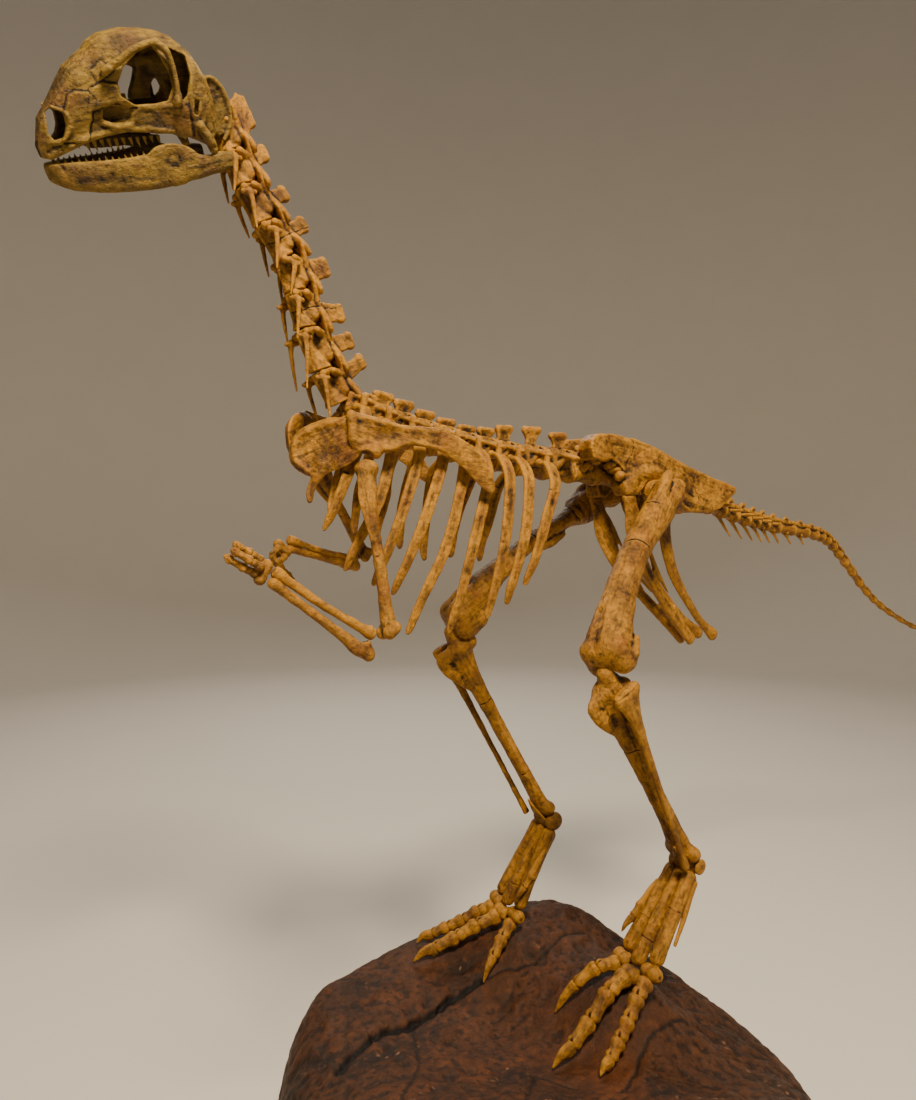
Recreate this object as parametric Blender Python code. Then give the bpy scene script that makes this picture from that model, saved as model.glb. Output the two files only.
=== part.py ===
"""A small two-legged dinosaur (Chilesaurus): its mounted skeleton, life size, on a cast rock.

Every bone is worked out in the hip frame, whose origin is midway between the two hip sockets:
the animal faces -X, its left side is -Y and +Z is up. The finished bones hang on one empty at
the hip. The world's origin is the centre of the rock's flat underside. All sizes are in metres.
"""

import math

import bpy
import numpy as np

# Where the hip frame stands over the centre of the rock's underside.
HIP = (0.230, 0.070, 0.974)
GAP = 0.0003
LEFT, RIGHT = -1, 1

# Limb joints in the hip frame. Each leg's femur is 0.355 long, its shin 0.37 and its instep 0.178.
HIP_JOINT = {LEFT: (0.000, -0.051, 0.000), RIGHT: (0.000, 0.051, 0.000)}
KNEE = {LEFT: (-0.226, -0.160, -0.251), RIGHT: (-0.287, 0.124, -0.217)}
ANKLE = {LEFT: (-0.025, -0.133, -0.566), RIGHT: (-0.107, 0.089, -0.551)}
INSTEP_END = {LEFT: (-0.130, -0.119, -0.709), RIGHT: (-0.175, 0.128, -0.706)}
SHOULDER = {LEFT: (-0.543, -0.090, 0.006), RIGHT: (-0.528, 0.092, 0.030)}
GIRDLE_SHIFT = {LEFT: (0.0, 0.0, 0.0), RIGHT: (0.017, 0.0, 0.028)}
ELBOW = {LEFT: (-0.522, -0.112, -0.198), RIGHT: (-0.414, 0.165, -0.106)}
WRIST = {LEFT: (-0.664, -0.104, -0.122), RIGHT: (-0.566, 0.104, -0.087)}
FINGERTIP = {LEFT: (-0.712, -0.108, -0.097), RIGHT: (-0.567, 0.080, -0.128)}
KNUCKLE = {LEFT: (-0.688, -0.106, -0.110), RIGHT: (-0.588, 0.088, -0.108)}
# How far the fibula's two ends stand outside the shin's line and ahead of it.
FIBULA_PLACE = {LEFT: ((0.0245, 0.0), (0.0185, 0.0195)), RIGHT: ((0.031, 0.016), (0.026, 0.018))}
TOE_TIP = {
    LEFT: {2: (-0.213, -0.046), 3: (-0.282, -0.119), 4: (-0.250, -0.176)},
    RIGHT: {2: (-0.255, 0.074), 3: (-0.325, 0.173), 4: (-0.297, 0.210)},
}
TOE_RADIUS = {2: 0.0108, 3: 0.0122, 4: 0.0110}
TOE_JOINTS = {2: 2, 3: 3, 4: 4}
INSTEP_SPREAD = {2: -0.027, 3: 0.0, 4: 0.026}

# The backbone: points on the line of the vertebral bodies, with the bodies' radius.
# The neck's joints from the skull down, and the tip of each spine: height over the arch follows.
NECK_JOINTS = (
    (-0.6895, 0.4005), (-0.674, 0.370), (-0.658, 0.335), (-0.634, 0.297), (-0.608, 0.261),
    (-0.594, 0.223), (-0.581, 0.180), (-0.560, 0.131), (-0.5372, 0.0915),
)
NECK_TIPS = (
    (-0.651, 0.434, 0.021), (-0.630, 0.386, 0.009), (-0.605, 0.345, 0.008), (-0.581, 0.314, 0.009),
    (-0.551, 0.266, 0.012), (-0.530, 0.212, 0.011), (-0.517, 0.180, 0.010), (-0.501, 0.156, 0.009),
)
NECK_RADIUS = (0.0118, 0.0148)
NECK_CUTS = (0, 2, 5, 8)
NECK_WING = 0.022
TRUNK_LINE = (
    (-0.531, 0.000, 0.083, 0.0140),
    (-0.487, 0.000, 0.066, 0.0145),
    (-0.417, 0.000, 0.052, 0.0145),
    (-0.312, 0.000, 0.036, 0.0150),
    (-0.224, 0.000, 0.030, 0.0160),
    (-0.094, 0.000, 0.026, 0.0175),
)
FRONT_STEP, REAR_STEP = 0.035, 0.0535
TRUNK_X = [-0.522 + FRONT_STEP * i for i in range(8)] + [-0.2235 + REAR_STEP * i for i in range(3)]
SPINE_RISE = (0.020, 0.030, 0.030, 0.026, 0.024, 0.023, 0.027, 0.036, 0.041, 0.041, 0.026)
SPINE_LENGTH = 0.023
# How far each rib's tip hangs ahead of its vertebra and below it; the seventh right rib is missing.
RIB_FORWARD = {
    LEFT: (0.059, 0.070, 0.069, 0.078, 0.092, 0.066, 0.039, 0.040, 0.058),
    RIGHT: (0.030, 0.032, 0.030, 0.030, 0.027, 0.020, 0.0, 0.045, 0.048),
}
RIB_DROP = {
    LEFT: (0.150, 0.184, 0.194, 0.200, 0.244, 0.241, 0.220, 0.200, 0.172),
    RIGHT: (0.110, 0.112, 0.130, 0.138, 0.138, 0.150, 0.0, 0.137, 0.140),
}
RIB_SPREAD = (0.066, 0.074, 0.078, 0.079, 0.079, 0.079, 0.079, 0.077, 0.072)
SACRUM_LINE = (
    (-0.093, 0.000, 0.026, 0.0170),
    (0.000, 0.000, 0.020, 0.0180),
    (0.100, 0.000, 0.002, 0.0170),
    (0.198, 0.000, -0.013, 0.0150),
)
TAIL_LINE = (
    (0.199, 0.000, -0.014, 0.0150),
    (0.307, 0.000, -0.034, 0.0135),
    (0.398, 0.000, -0.047, 0.0125),
    (0.533, 0.000, -0.060, 0.0115),
    (0.605, 0.000, -0.076, 0.0105),
    (0.672, 0.000, -0.122, 0.0090),
    (0.758, 0.000, -0.187, 0.0072),
    (0.850, 0.000, -0.235, 0.0060),
    (0.999, 0.000, -0.286, 0.0048),
    (1.180, 0.000, -0.320, 0.0036),
    (1.440, 0.000, -0.345, 0.0022),
)
TAIL_COUNT = 28
TAIL_CUTS = (0, 9, 17, 28)
CHEVRON_COUNT = 8

# The head has its own frame: x forward from the neck joint, y to its left, z up through the crown.
HEAD_PLACE = (-0.696, 0.000, 0.401)
HEAD_YAW, HEAD_ROLL, HEAD_PITCH = math.radians(12), math.radians(27), math.radians(-33)
# The skull from the snout back: x, crown, lower edge, underside at the middle, half width.
SKULL_SECTIONS = (
    (0.191, 0.018, 0.004, 0.006, 0.008),
    (0.180, 0.040, 0.005, 0.008, 0.013),
    (0.163, 0.053, 0.009, 0.014, 0.018),
    (0.143, 0.071, 0.014, 0.019, 0.023),
    (0.106, 0.093, 0.017, 0.022, 0.030),
    (0.068, 0.098, 0.008, 0.014, 0.037),
    (0.042, 0.094, -0.007, 0.010, 0.041),
    (0.024, 0.086, -0.018, 0.008, 0.041),
    (0.010, 0.072, -0.008, 0.008, 0.036),
    (0.002, 0.058, 0.006, 0.010, 0.028),
)
# Half of each section: share of the half width, share of the height, and 1 where it is the underside.
SKULL_RING = (
    (0.0, 1.0, 0), (0.50, 0.97, 0), (0.86, 0.78, 0), (1.0, 0.50, 0),
    (0.9, 0.0, 0), (0.66, 0.0, 0), (0.5, 0.0, 1),
)
ORBIT = (
    (0.073, 0.076), (0.093, 0.063), (0.101, 0.048), (0.089, 0.034),
    (0.056, 0.034), (0.045, 0.055), (0.048, 0.082),
)
TEMPLE = ((0.032, 0.074), (0.018, 0.066), (0.028, 0.047), (0.040, 0.028), (0.041, 0.045))
NOSTRIL = ((0.168, 0.044), (0.159, 0.043), (0.166, 0.021), (0.177, 0.022))
CHEEK_PIT = ((0.121, 0.032), (0.109, 0.034), (0.096, 0.028), (0.107, 0.024))
TEETH_START, TEETH_END = 0.148, 0.086
TOOTH_COUNT = 8
TOOTH_LENGTH = 0.011
# The jaw's left half from the joint forward: x, y, upper edge, lower edge, half thickness.
JAW_SECTIONS = (
    (0.016, 0.039, -0.0235, -0.041, 0.0050),
    (0.045, 0.038, -0.0245, -0.044, 0.0042),
    (0.070, 0.037, -0.0080, -0.044, 0.0042),
    (0.105, 0.031, -0.0130, -0.042, 0.0045),
    (0.150, 0.021, -0.0070, -0.036, 0.0048),
    (0.180, 0.010, -0.0030, -0.026, 0.0050),
)
JAW_TIP = (0.189, 0.0, -0.0020, -0.016, 0.0045)

# The rock: half lengths of its plan along its own two axes, and the way its crown slopes.
ROCK_TURN = math.radians(-34)
ROCK_REACH = {"left": 0.412, "right": 0.400, "front": 0.380, "back": 0.335}
ROCK_POWER = 2.4
ROCK_EDGE_POWER = 5
ROCK_CROWN = (0.162, -0.079, -0.133, 0.252, 1.430, -0.335)
# Lobes of the rock: height, place along the two axes, and reach.
ROCK_LOBES = ((0.085, 0.028, 0.231, 0.141), (0.093, 0.108, 0.042, 0.095), (0.078, -0.405, 0.083, 0.092))
TOE_GAP = 0.0013

BONE, SKULL_BONE, ROCK = "bone", "skull_bone", "rock"
COLOURS = {
    BONE: (0.42, 0.27, 0.10, 1.0),
    SKULL_BONE: (0.40, 0.26, 0.10, 1.0),
    ROCK: (0.12, 0.055, 0.032, 1.0),
}


def clear_scene():
    for obj in list(bpy.data.objects):
        bpy.data.objects.remove(obj)


def make_materials():
    for name, colour in COLOURS.items():
        material = bpy.data.materials.new(name)
        material.use_nodes = True
        shader = material.node_tree.nodes["Principled BSDF"]
        shader.inputs["Base Color"].default_value = colour
        shader.inputs["Roughness"].default_value = 0.6
        shader.inputs["Metallic"].default_value = 0.0


def smooth_line(points, count):
    """Rows of a Catmull-Rom curve through the points; every column is carried along."""
    rows = np.asarray(points, float)
    knots = np.vstack([2 * rows[0] - rows[1], rows, 2 * rows[-1] - rows[-2]])
    place = np.linspace(0, len(rows) - 1, count)
    first = np.minimum(place.astype(int), len(rows) - 2)
    part = (place - first)[:, None]
    a, b, c, d = (knots[first + i] for i in range(4))
    cubic = (3 * b - a - 3 * c + d) * part**3
    return 0.5 * (2 * b + (c - a) * part + (2 * a - 5 * b + 4 * c - d) * part**2 + cubic)


def solid(name, points, faces):
    """A mesh object of one closed shell, with its faces turned outward."""
    points = np.asarray(points, float)
    volume = 0.0
    for face in faces:
        for i in range(1, len(face) - 1):
            volume += np.linalg.det(points[[face[0], face[i], face[i + 1]]])
    if volume < 0:
        faces = [face[::-1] for face in faces]
    mesh = bpy.data.meshes.new(name)
    mesh.from_pydata(points.tolist(), [], [tuple(int(i) for i in face) for face in faces])
    mesh.update()
    obj = bpy.data.objects.new(name, mesh)
    bpy.context.scene.collection.objects.link(obj)
    return obj


def loft(name, rings):
    """A closed shell over rings of points, (stations, sides, 3), with flat ends."""
    count, sides = rings.shape[:2]
    faces = []
    for i in range(count - 1):
        for j in range(sides):
            k = (j + 1) % sides
            faces.append((i * sides + j, i * sides + k, (i + 1) * sides + k, (i + 1) * sides + j))
    faces.append(tuple(range(sides))[::-1])
    faces.append(tuple(range((count - 1) * sides, count * sides)))
    return solid(name, rings.reshape(-1, 3), faces)


def frames(centres, side):
    """Unit vectors across a line of points: one as near `side` as it can be, one square to it."""
    along = np.gradient(centres, axis=0)
    along /= np.linalg.norm(along, axis=1)[:, None]
    across = np.asarray(side, float) - (along @ np.asarray(side, float))[:, None] * along
    across /= np.linalg.norm(across, axis=1)[:, None]
    return across, np.cross(along, across)


def tube_rings(stations, sides=6, count=None, side=(0, 1, 0), turn=0.0):
    """Rings of a shaft. A station is x, y, z, half width along `side` and half depth square to it."""
    rows = np.asarray(stations, float)
    if rows.shape[1] == 4:
        rows = np.column_stack([rows, rows[:, 3]])
    if count:
        rows = smooth_line(rows, count)
    across, deep = frames(rows[:, :3], side)
    angle = 2 * np.pi * np.arange(sides) / sides + turn
    return (
        rows[:, None, :3]
        + rows[:, None, 3:4] * np.cos(angle)[None, :, None] * across[:, None]
        + rows[:, None, 4:5] * np.sin(angle)[None, :, None] * deep[:, None]
    )


def tube(*stations_and_settings):
    return loft("shape", tube_rings(*stations_and_settings))


def stretch(rings, centres, first, last):
    """Rings first to last of a longer tube, stopping just short of the next stretch's first ring."""
    piece = rings[first : last + 1].copy()
    way = centres[last] - centres[last - 1]
    piece[-1] -= way / np.linalg.norm(way) * 2 * GAP
    return loft("shape", piece)


def plate(stations, count=None, side=(0, 1, 0)):
    """A four-sided bar whose half sizes are those of its flat faces."""
    rows = np.asarray(stations, float)
    rows = rows * np.array([1, 1, 1, math.sqrt(2), math.sqrt(2)])
    return tube(rows, 4, count, side, math.pi / 4)


def slab(outline, reach, name="shape"):
    """An outline of (x, z) points run along Y between the two values of `reach`."""
    rings = np.array([[(x, y, z) for x, z in outline] for y in reach])
    return loft(name, rings)


def join(name, shapes, material=BONE, cutters=()):
    """The first shape becomes the node; the others are united with it, then the cutters cut it."""
    node = shapes[0]
    node.name = name
    node.data.name = name
    for operation, members in (("UNION", shapes[1:]), ("DIFFERENCE", list(cutters))):
        if not members:
            continue
        group = bpy.data.collections.new(f"{name} {operation.lower()}")
        bpy.context.scene.collection.children.link(group)
        for member in members:
            bpy.context.scene.collection.objects.unlink(member)
            group.objects.link(member)
            member.name = f"{name} {operation.lower()} {len(group.objects)}"
            member.hide_render = True
            member.display_type = "WIRE"
            member.parent = bpy.data.objects["hip"]
        modifier = node.modifiers.new(operation.title(), "BOOLEAN")
        modifier.operation = operation
        modifier.operand_type = "COLLECTION"
        modifier.collection = group
    node.data.materials.append(bpy.data.materials[material])
    node.data.shade_smooth()
    node.data.set_sharp_from_angle(angle=math.radians(40))
    node.parent = bpy.data.objects["hip"]
    return node


def between(start, end, share):
    return tuple(np.asarray(start) + (np.asarray(end) - np.asarray(start)) * share)


def along_line(line, x):
    """Height and radius of a backbone line at x."""
    rows = smooth_line(line, 120)
    order = np.argsort(rows[:, 0])
    return [float(np.interp(x, rows[order, 0], rows[order, column])) for column in (2, 3)]


def spool(rows, count, waist=0.76):
    """Backbone stations: full radius at each joint, narrower at the middle of each body."""
    line = smooth_line(rows, 2 * count + 1)
    line[1::2, 3] *= waist
    return line


# The neck ---------------------------------------------------------------------------------------


def neck_vertebra(start, end, radius, tip, last):
    """Arch, spine, joint wings and two ribs of one neck vertebra; the last before a cut is short."""
    middle = (start + end) / 2
    length = np.linalg.norm(end - start)
    along = (end - start) / length
    up = np.array((-along[2], 0.0, along[0]))
    arch = middle + up * radius * 1.3
    crest = np.array((tip[0], 0.0, tip[1]))
    rear = 0.20 if last else 0.44
    wing = arch + along * length * (rear - 0.16) + up * 0.002
    front, back = arch - along * length * 0.30, arch + along * length * rear
    foot = length * (0.16 if last else 0.26)
    wings = [(*(wing + np.array((0, y, 0))), 0.0085, 0.0052) for y in (-NECK_WING, NECK_WING)]
    shapes = [
        plate([(*front, 0.011, 0.008), (*back, 0.012, 0.008)]),
        plate([(*arch, 0.0050, foot), (*crest, 0.0036, tip[2])]),
        plate(wings, None, tuple(along)),
    ]
    for side in (LEFT, RIGHT):
        out = np.array((0.0, side, 0.0))
        root = start + out * radius * 0.75 + along * length * 0.18 - up * radius * 0.4
        point = root + along * length * (0.62 if last else 0.82) + out * 0.008 - up * 0.004
        shapes.append(tube([(*root, 0.0066), (*point, 0.0016)], 3))
    return shapes


def neck():
    joints = np.array([(x, 0.0, z) for x, z in NECK_JOINTS])
    radii = np.linspace(*NECK_RADIUS, len(joints))
    rows = np.zeros((2 * len(joints) - 1, 4))
    rows[::2, :3], rows[1::2, :3] = joints, (joints[1:] + joints[:-1]) / 2
    rows[::2, 3], rows[1::2, 3] = radii, radii[:-1] * 0.78
    rings = tube_rings(rows, 5)
    for number, (first, last) in enumerate(zip(NECK_CUTS, NECK_CUTS[1:]), 1):
        bones = [stretch(rings, rows[:, :3], 2 * first, 2 * last)]
        for i in range(first, last):
            bones += neck_vertebra(joints[i], joints[i + 1], radii[i], NECK_TIPS[i], i == last - 1)
        join(f"neck_{number}", bones)


# The trunk --------------------------------------------------------------------------------------


def half_tube(rows, side, sides=5):
    """One side of a backbone line: a D section whose flat face looks at the median plane."""
    rows = np.asarray(rows, float)
    _, deep = frames(rows[:, :3], (0, 1, 0))
    angle = np.linspace(-np.pi / 2, np.pi / 2, sides)
    out = np.array((0.0, side, 0.0))
    rings = (
        rows[:, None, :3]
        + out * (GAP / 2 + rows[:, None, 3:4] * np.cos(angle)[None, :, None])
        + rows[:, None, 3:4] * np.sin(angle)[None, :, None] * deep[:, None]
    )
    return loft("shape", rings)


def half_ridge(stations, side):
    """One side of the ridge of arches over the bodies: x, middle height, half height, thickness."""
    near, rings = side * GAP / 2, []
    for x, z, tall, thick in stations:
        far = side * (GAP / 2 + thick)
        low, high = z - tall, z + tall
        rings.append([(x, near, low), (x, near, high), (x, far * 0.6, high), (x, far, low)])
    return loft("shape", np.array(rings))


def half_bar(stations, side):
    """Half of an upright plate: x, z, half length along X and the thickness of this side."""
    rings = []
    for x, z, length, thick in stations:
        near, far = side * GAP / 2, side * (GAP / 2 + thick)
        front, back = x - length, x + length
        rings.append([(front, near, z), (back, near, z), (back, far, z), (front, far, z)])
    return loft("shape", np.array(rings))


def rib(x, side, forward, drop, spread):
    """A rib from its head on the vertebral body, out to the side, then down and forward."""
    height, radius = along_line(TRUNK_LINE, x)
    path = [
        (x, side * radius * 0.55, height + 0.004, 0.0040, 0.0038),
        (x + 0.004, side * 0.040, height + 0.012, 0.0056, 0.0040),
        (x - 0.12 * forward, side * spread * 0.92, height - 0.16 * drop, 0.0060, 0.0040),
        (x - 0.50 * forward, side * spread * 0.99, height - 0.55 * drop, 0.0062, 0.0038),
        (x - forward, side * spread * 0.86, height - drop, 0.0032, 0.0024),
    ]
    return plate(path, 5, (1, 0, 0))


def rib_cage(side, name):
    """One side of the trunk: its half of every vertebra, cut at the median plane, and its ribs."""
    steps = np.diff(TRUNK_X + [TRUNK_X[-1] + REAR_STEP])
    front = TRUNK_LINE[0][0] + 4 * GAP
    bodies, ridge = [], []
    for i, (x, step) in enumerate(zip(TRUNK_X, steps)):
        for place, waist in ((x - 0.5 * step, 1.0), (x, 0.78)):
            if waist < 1 and i < 5 and i % 2:
                continue
            place = max(place, front)
            height, radius = along_line(TRUNK_LINE, place)
            bodies.append((place, 0.0, height, radius * waist))
    rear = TRUNK_X[-1] + 0.5 * REAR_STEP - 0.004
    bodies.append((rear, 0.0, *along_line(TRUNK_LINE, rear)))
    for x in (TRUNK_X[0], *TRUNK_X[2:-1:2], TRUNK_X[-1]):
        height, radius = along_line(TRUNK_LINE, x)
        shift = {TRUNK_X[0]: 0.010, TRUNK_X[-1]: 0.006}.get(x, -0.004)
        ridge.append((x + shift, height + radius + 0.001, 0.009, 0.0085))
    shapes = [half_tube(bodies, side), half_ridge(ridge, side)]
    for i, x in enumerate(TRUNK_X):
        height, radius = along_line(TRUNK_LINE, x)
        foot, top = height + radius + 0.004, height + radius + SPINE_RISE[i]
        long = SPINE_LENGTH / 2 * (0.7 if i == 0 else 1.0)
        lean = 0.022 if i == 0 else 0.004
        spine = [(x + lean / 3, foot, long * 0.8, 0.0034), (x + lean, top, long, 0.0036)]
        shapes.append(half_bar(spine, side))
        if i < len(RIB_DROP[side]) and RIB_DROP[side][i]:
            shapes.append(rib(x, side, RIB_FORWARD[side][i], RIB_DROP[side][i], RIB_SPREAD[i]))
            continue
        reach = side * (0.028 if i == len(TRUNK_X) - 1 else 0.036)
        root = (x, side * 0.003, foot + 0.002, 0.009, 0.0035)
        shapes.append(plate([root, (x + 0.004, reach, foot + 0.004, 0.006, 0.0028)], None, (1, 0, 0)))
    join(name, shapes)


# The hips and the tail --------------------------------------------------------------------------


def sacrum():
    count = 5
    line = spool(SACRUM_LINE, count, 0.85)
    line[-1, 0] -= 2 * GAP
    shapes = [tube(line[[0, 2, 4, 6, 8, 10]], 6)]
    for x, _, z, radius in line[1::2]:
        bar = [(x, y, z + radius * 0.6, 0.012, 0.007) for y in (-0.0275, 0.0275)]
        shapes.append(plate(bar, None, (1, 0, 0)))
    crest = [(x, 0, z + radius + 0.004, 0.0036, 0.013) for x, _, z, radius in line[[1, 3, 5, 7, 9]]]
    shapes.append(plate(crest))
    join("sacrum", shapes)


def tail():
    line = spool(TAIL_LINE, TAIL_COUNT, 0.80)
    for number, (first, last) in enumerate(zip(TAIL_CUTS, TAIL_CUTS[1:]), 1):
        rows = line[2 * first : 2 * last + 1].copy()
        direction = rows[-1, :3] - rows[-2, :3]
        rows[-1, :3] -= direction / np.linalg.norm(direction) * 2 * GAP
        shapes = [tube(rows, 5)]
        for i in range(first, min(last, CHEVRON_COUNT + 2)):
            x, _, z, radius = line[2 * i + 1]
            fade = 1 - i / (CHEVRON_COUNT + 4)
            foot = (x, 0, z + radius * 0.5, 0.003, 0.010 * fade)
            shapes.append(plate([foot, (x + 0.010, 0, z + radius + 0.016 * fade, 0.002, 0.006 * fade)]))
            if i < 4:
                reach = 0.030 * fade
                bar = [(x, y, z + radius * 0.3, 0.006, 0.003) for y in (-reach, reach)]
                shapes.append(plate(bar, None, (1, 0, 0)))
            if i < CHEVRON_COUNT:
                long = 0.050 * fade
                long *= 0.8 if i == TAIL_CUTS[1] - 1 else 1.0
                low = (x + 0.014 + long, 0.0, z - radius - long * 0.72)
                shapes.append(tube([(x + 0.014, 0, z - radius * 0.5, 0.0056), (*low, 0.0018)], 3))
        join(f"tail_{number}", shapes)


def ilium(side, name):
    """The upright hip blade: a deep front lobe, an arch over the socket and a tapering rear."""
    y = side * 0.0355
    blade = [
        (-0.124, y, 0.062, 0.0040, 0.019),
        (-0.095, y, 0.066, 0.0048, 0.021),
        (-0.050, y, 0.060, 0.0050, 0.018),
        (0.000, y, 0.048, 0.0060, 0.019),
        (0.050, y, 0.026, 0.0062, 0.032),
        (0.100, y, 0.010, 0.0058, 0.036),
        (0.150, y, 0.003, 0.0050, 0.030),
        (0.206, y, 0.014, 0.0034, 0.007),
    ]
    front_foot = [(-0.030, y, 0.045, 0.0055, 0.010), (-0.048, side * 0.040, 0.006, 0.0090, 0.011)]
    rear_foot = [(0.040, y, 0.010, 0.0070, 0.014), (0.040, side * 0.040, -0.020, 0.0085, 0.012)]
    shelf = [(-0.035, side * 0.044, 0.030, 0.009, 0.005), (0.045, side * 0.044, 0.026, 0.009, 0.006)]
    join(name, [tube(blade, 6), tube(front_foot, 5), tube(rear_foot, 5), tube(shelf, 4)])


def pubis(side, name):
    shaft = [
        (-0.045, side * 0.036, -0.016, 0.0080, 0.012),
        (-0.030, side * 0.034, -0.060, 0.0050, 0.026),
        (0.006, side * 0.028, -0.118, 0.0045, 0.020),
        (0.066, side * 0.018, -0.182, 0.0045, 0.011),
        (0.120, side * 0.012, -0.230, 0.0045, 0.009),
        (0.146, side * 0.010, -0.254, 0.0070, 0.010),
    ]
    join(name, [tube(shaft, 6, 8)])


def ischium(side, name):
    shaft = [
        (0.040, side * 0.036, -0.038, 0.0080, 0.012),
        (0.040, side * 0.034, -0.078, 0.0050, 0.014),
        (0.078, side * 0.028, -0.142, 0.0048, 0.012),
        (0.142, side * 0.020, -0.208, 0.0050, 0.0075),
        (0.192, side * 0.016, -0.246, 0.0085, 0.0125),
    ]
    join(name, [tube(shaft, 6, 7)])


# The legs ---------------------------------------------------------------------------------------


def femur(side, name):
    hip, knee = np.array(HIP_JOINT[side]), np.array(KNEE[side])
    down = (knee - hip) / np.linalg.norm(knee - hip)
    out = np.array((0.0, side, 0.0))
    forward = np.cross(out, down) * side
    forward /= np.linalg.norm(forward)
    shaft_top = hip + out * 0.026 + down * 0.004
    shape = []
    for share, wide, deep, bow in (
        (0.00, 0.019, 0.024, 0.000),
        (0.08, 0.023, 0.032, 0.000),
        (0.22, 0.022, 0.028, 0.008),
        (0.50, 0.0205, 0.0230, 0.022),
        (0.75, 0.024, 0.0250, 0.018),
        (0.90, 0.032, 0.0310, 0.009),
        (0.985, 0.034, 0.0330, 0.005),
    ):
        centre = shaft_top + (knee - down * 0.012 - shaft_top) * share + forward * bow
        shape.append((*centre, wide, deep))
    ball = hip + out * 0.008
    head = [(*(ball - out * 0.014), 0.015), (*ball, 0.019), (*(ball + out * 0.020 + down * 0.006), 0.016)]
    join(name, [tube(shape, 8, None, out), tube(head, 7, None, (1, 0, 0))])


def shin_axes(side):
    knee, ankle = np.array(KNEE[side]), np.array(ANKLE[side])
    down = (ankle - knee) / np.linalg.norm(ankle - knee)
    out = np.array((0.0, side, 0.0))
    out = out - down * (out @ down)
    out /= np.linalg.norm(out)
    forward = np.cross(out, down) * side
    return knee, ankle, down, out, forward


def tibia(side, name):
    knee, ankle, down, out, forward = shin_axes(side)
    top = knee + down * 0.028 - out * 0.006
    low = ankle - down * 0.0165
    rows = []
    for share, wide, deep, ahead in (
        (0.00, 0.020, 0.035, 0.010),
        (0.07, 0.019, 0.038, 0.015),
        (0.20, 0.0150, 0.0245, 0.014),
        (0.45, 0.0125, 0.0145, 0.006),
        (0.80, 0.0140, 0.0125, 0.000),
        (1.00, 0.0240, 0.0145, 0.000),
    ):
        rows.append((*(top + (low - top) * share + forward * ahead), wide, deep))
    join(name, [tube(rows, 8, None, out)])


def fibula(side, name):
    knee, ankle, down, out, forward = shin_axes(side)
    (top_out, top_ahead), (low_out, low_ahead) = FIBULA_PLACE[side]
    top = knee + down * 0.032 + out * top_out + forward * top_ahead
    low = ankle - down * 0.022 + out * low_out + forward * low_ahead
    rows = []
    for share, wide, deep in (
        (0.00, 0.0065, 0.018),
        (0.10, 0.0058, 0.015),
        (0.35, 0.0045, 0.0070),
        (0.75, 0.0040, 0.0045),
        (1.00, 0.0052, 0.0065),
    ):
        rows.append((*(top + (low - top) * share), wide, deep))
    join(name, [tube(rows, 5, None, out)])


def ankle_bone(side, name):
    _, ankle, down, out, forward = shin_axes(side)
    rows = []
    for reach, size in ((-0.024, 0.75), (-0.012, 1.0), (0.010, 0.92), (0.026, 0.70)):
        rows.append((*(ankle + out * reach), 0.0135 * size, 0.0150 * size))
    join(name, [tube(rows, 8, None, tuple(down))])


def foot_axes(side):
    ankle, end = np.array(ANKLE[side]), np.array(INSTEP_END[side])
    down = (end - ankle) / np.linalg.norm(end - ankle)
    out = np.array((0.0, side, 0.0))
    out = out - down * (out @ down)
    out /= np.linalg.norm(out)
    forward = np.cross(out, down) * side
    return ankle, end, down, out, forward


def instep_end(side, digit):
    """Centre of a main instep bone's lower joint."""
    _, end, down, out, forward = foot_axes(side)
    back = {2: 0.012, 3: 0.0, 4: 0.018 if side == LEFT else 0.006}[digit]
    return end + out * INSTEP_SPREAD[digit] - down * back - forward * (0.0 if digit == 3 else 0.004)


def instep(side, name):
    ankle, end, down, out, forward = foot_axes(side)
    top = ankle + down * 0.020
    shapes = []
    for digit in (3, 2, 4):
        start = top + out * INSTEP_SPREAD[digit] * 0.58
        finish = instep_end(side, digit)
        rows = [(*(start + (finish - start) * share), wide, deep) for share, wide, deep in (
            (0.00, 0.0125, 0.0145),
            (0.20, 0.0106, 0.0115),
            (0.65, 0.0100, 0.0105),
            (1.00, 0.0122, 0.0125),
        )]
        shapes.append(tube(rows, 5, None, out))
    splint_top = top + out * 0.022 - forward * 0.004
    splint_end = splint_top + (end - ankle) * 0.52 + out * 0.010 - forward * 0.012
    shapes.append(tube([(*splint_top, 0.0070), (*splint_end, 0.0034)], 5))
    join(name, shapes)


def first_toe(side, name):
    """The small inner digit: an instep splint, one bone and a claw beside the instep."""
    ankle, end, down, out, forward = foot_axes(side)
    top = ankle + down * 0.046 - out * 0.0335 + forward * 0.004
    low = top + down * 0.092 - out * 0.009 + forward * 0.014
    rows = [(*(top + (low - top) * share), radius) for share, radius in (
        (0.0, 0.0040), (0.35, 0.0058), (0.50, 0.0050), (0.58, 0.0062), (0.80, 0.0054), (1.0, 0.0014))]
    join(name, [tube(rows, 6, None, out)])


def rock_height(x, y):
    """Height of the rock's top over its underside, at a place in the hip frame."""
    u, v = rock_axes(x, y)
    share = rock_share(u, v)
    a, b, c, d, e, f = ROCK_CROWN
    crown = a + b * u + c * v + d * u * u + e * v * v + f * u * v
    for height, at_u, at_v, reach in ROCK_LOBES:
        crown += height * math.exp(-((u - at_u) ** 2 + (v - at_v) ** 2) / reach**2)
    return crown * math.sqrt(max(0.0, 1 - share**ROCK_EDGE_POWER))


def rock_axes(x, y):
    dx, dy = x + HIP[0], y + HIP[1]
    return (
        dx * math.cos(ROCK_TURN) + dy * math.sin(ROCK_TURN),
        -dx * math.sin(ROCK_TURN) + dy * math.cos(ROCK_TURN),
    )


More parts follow.
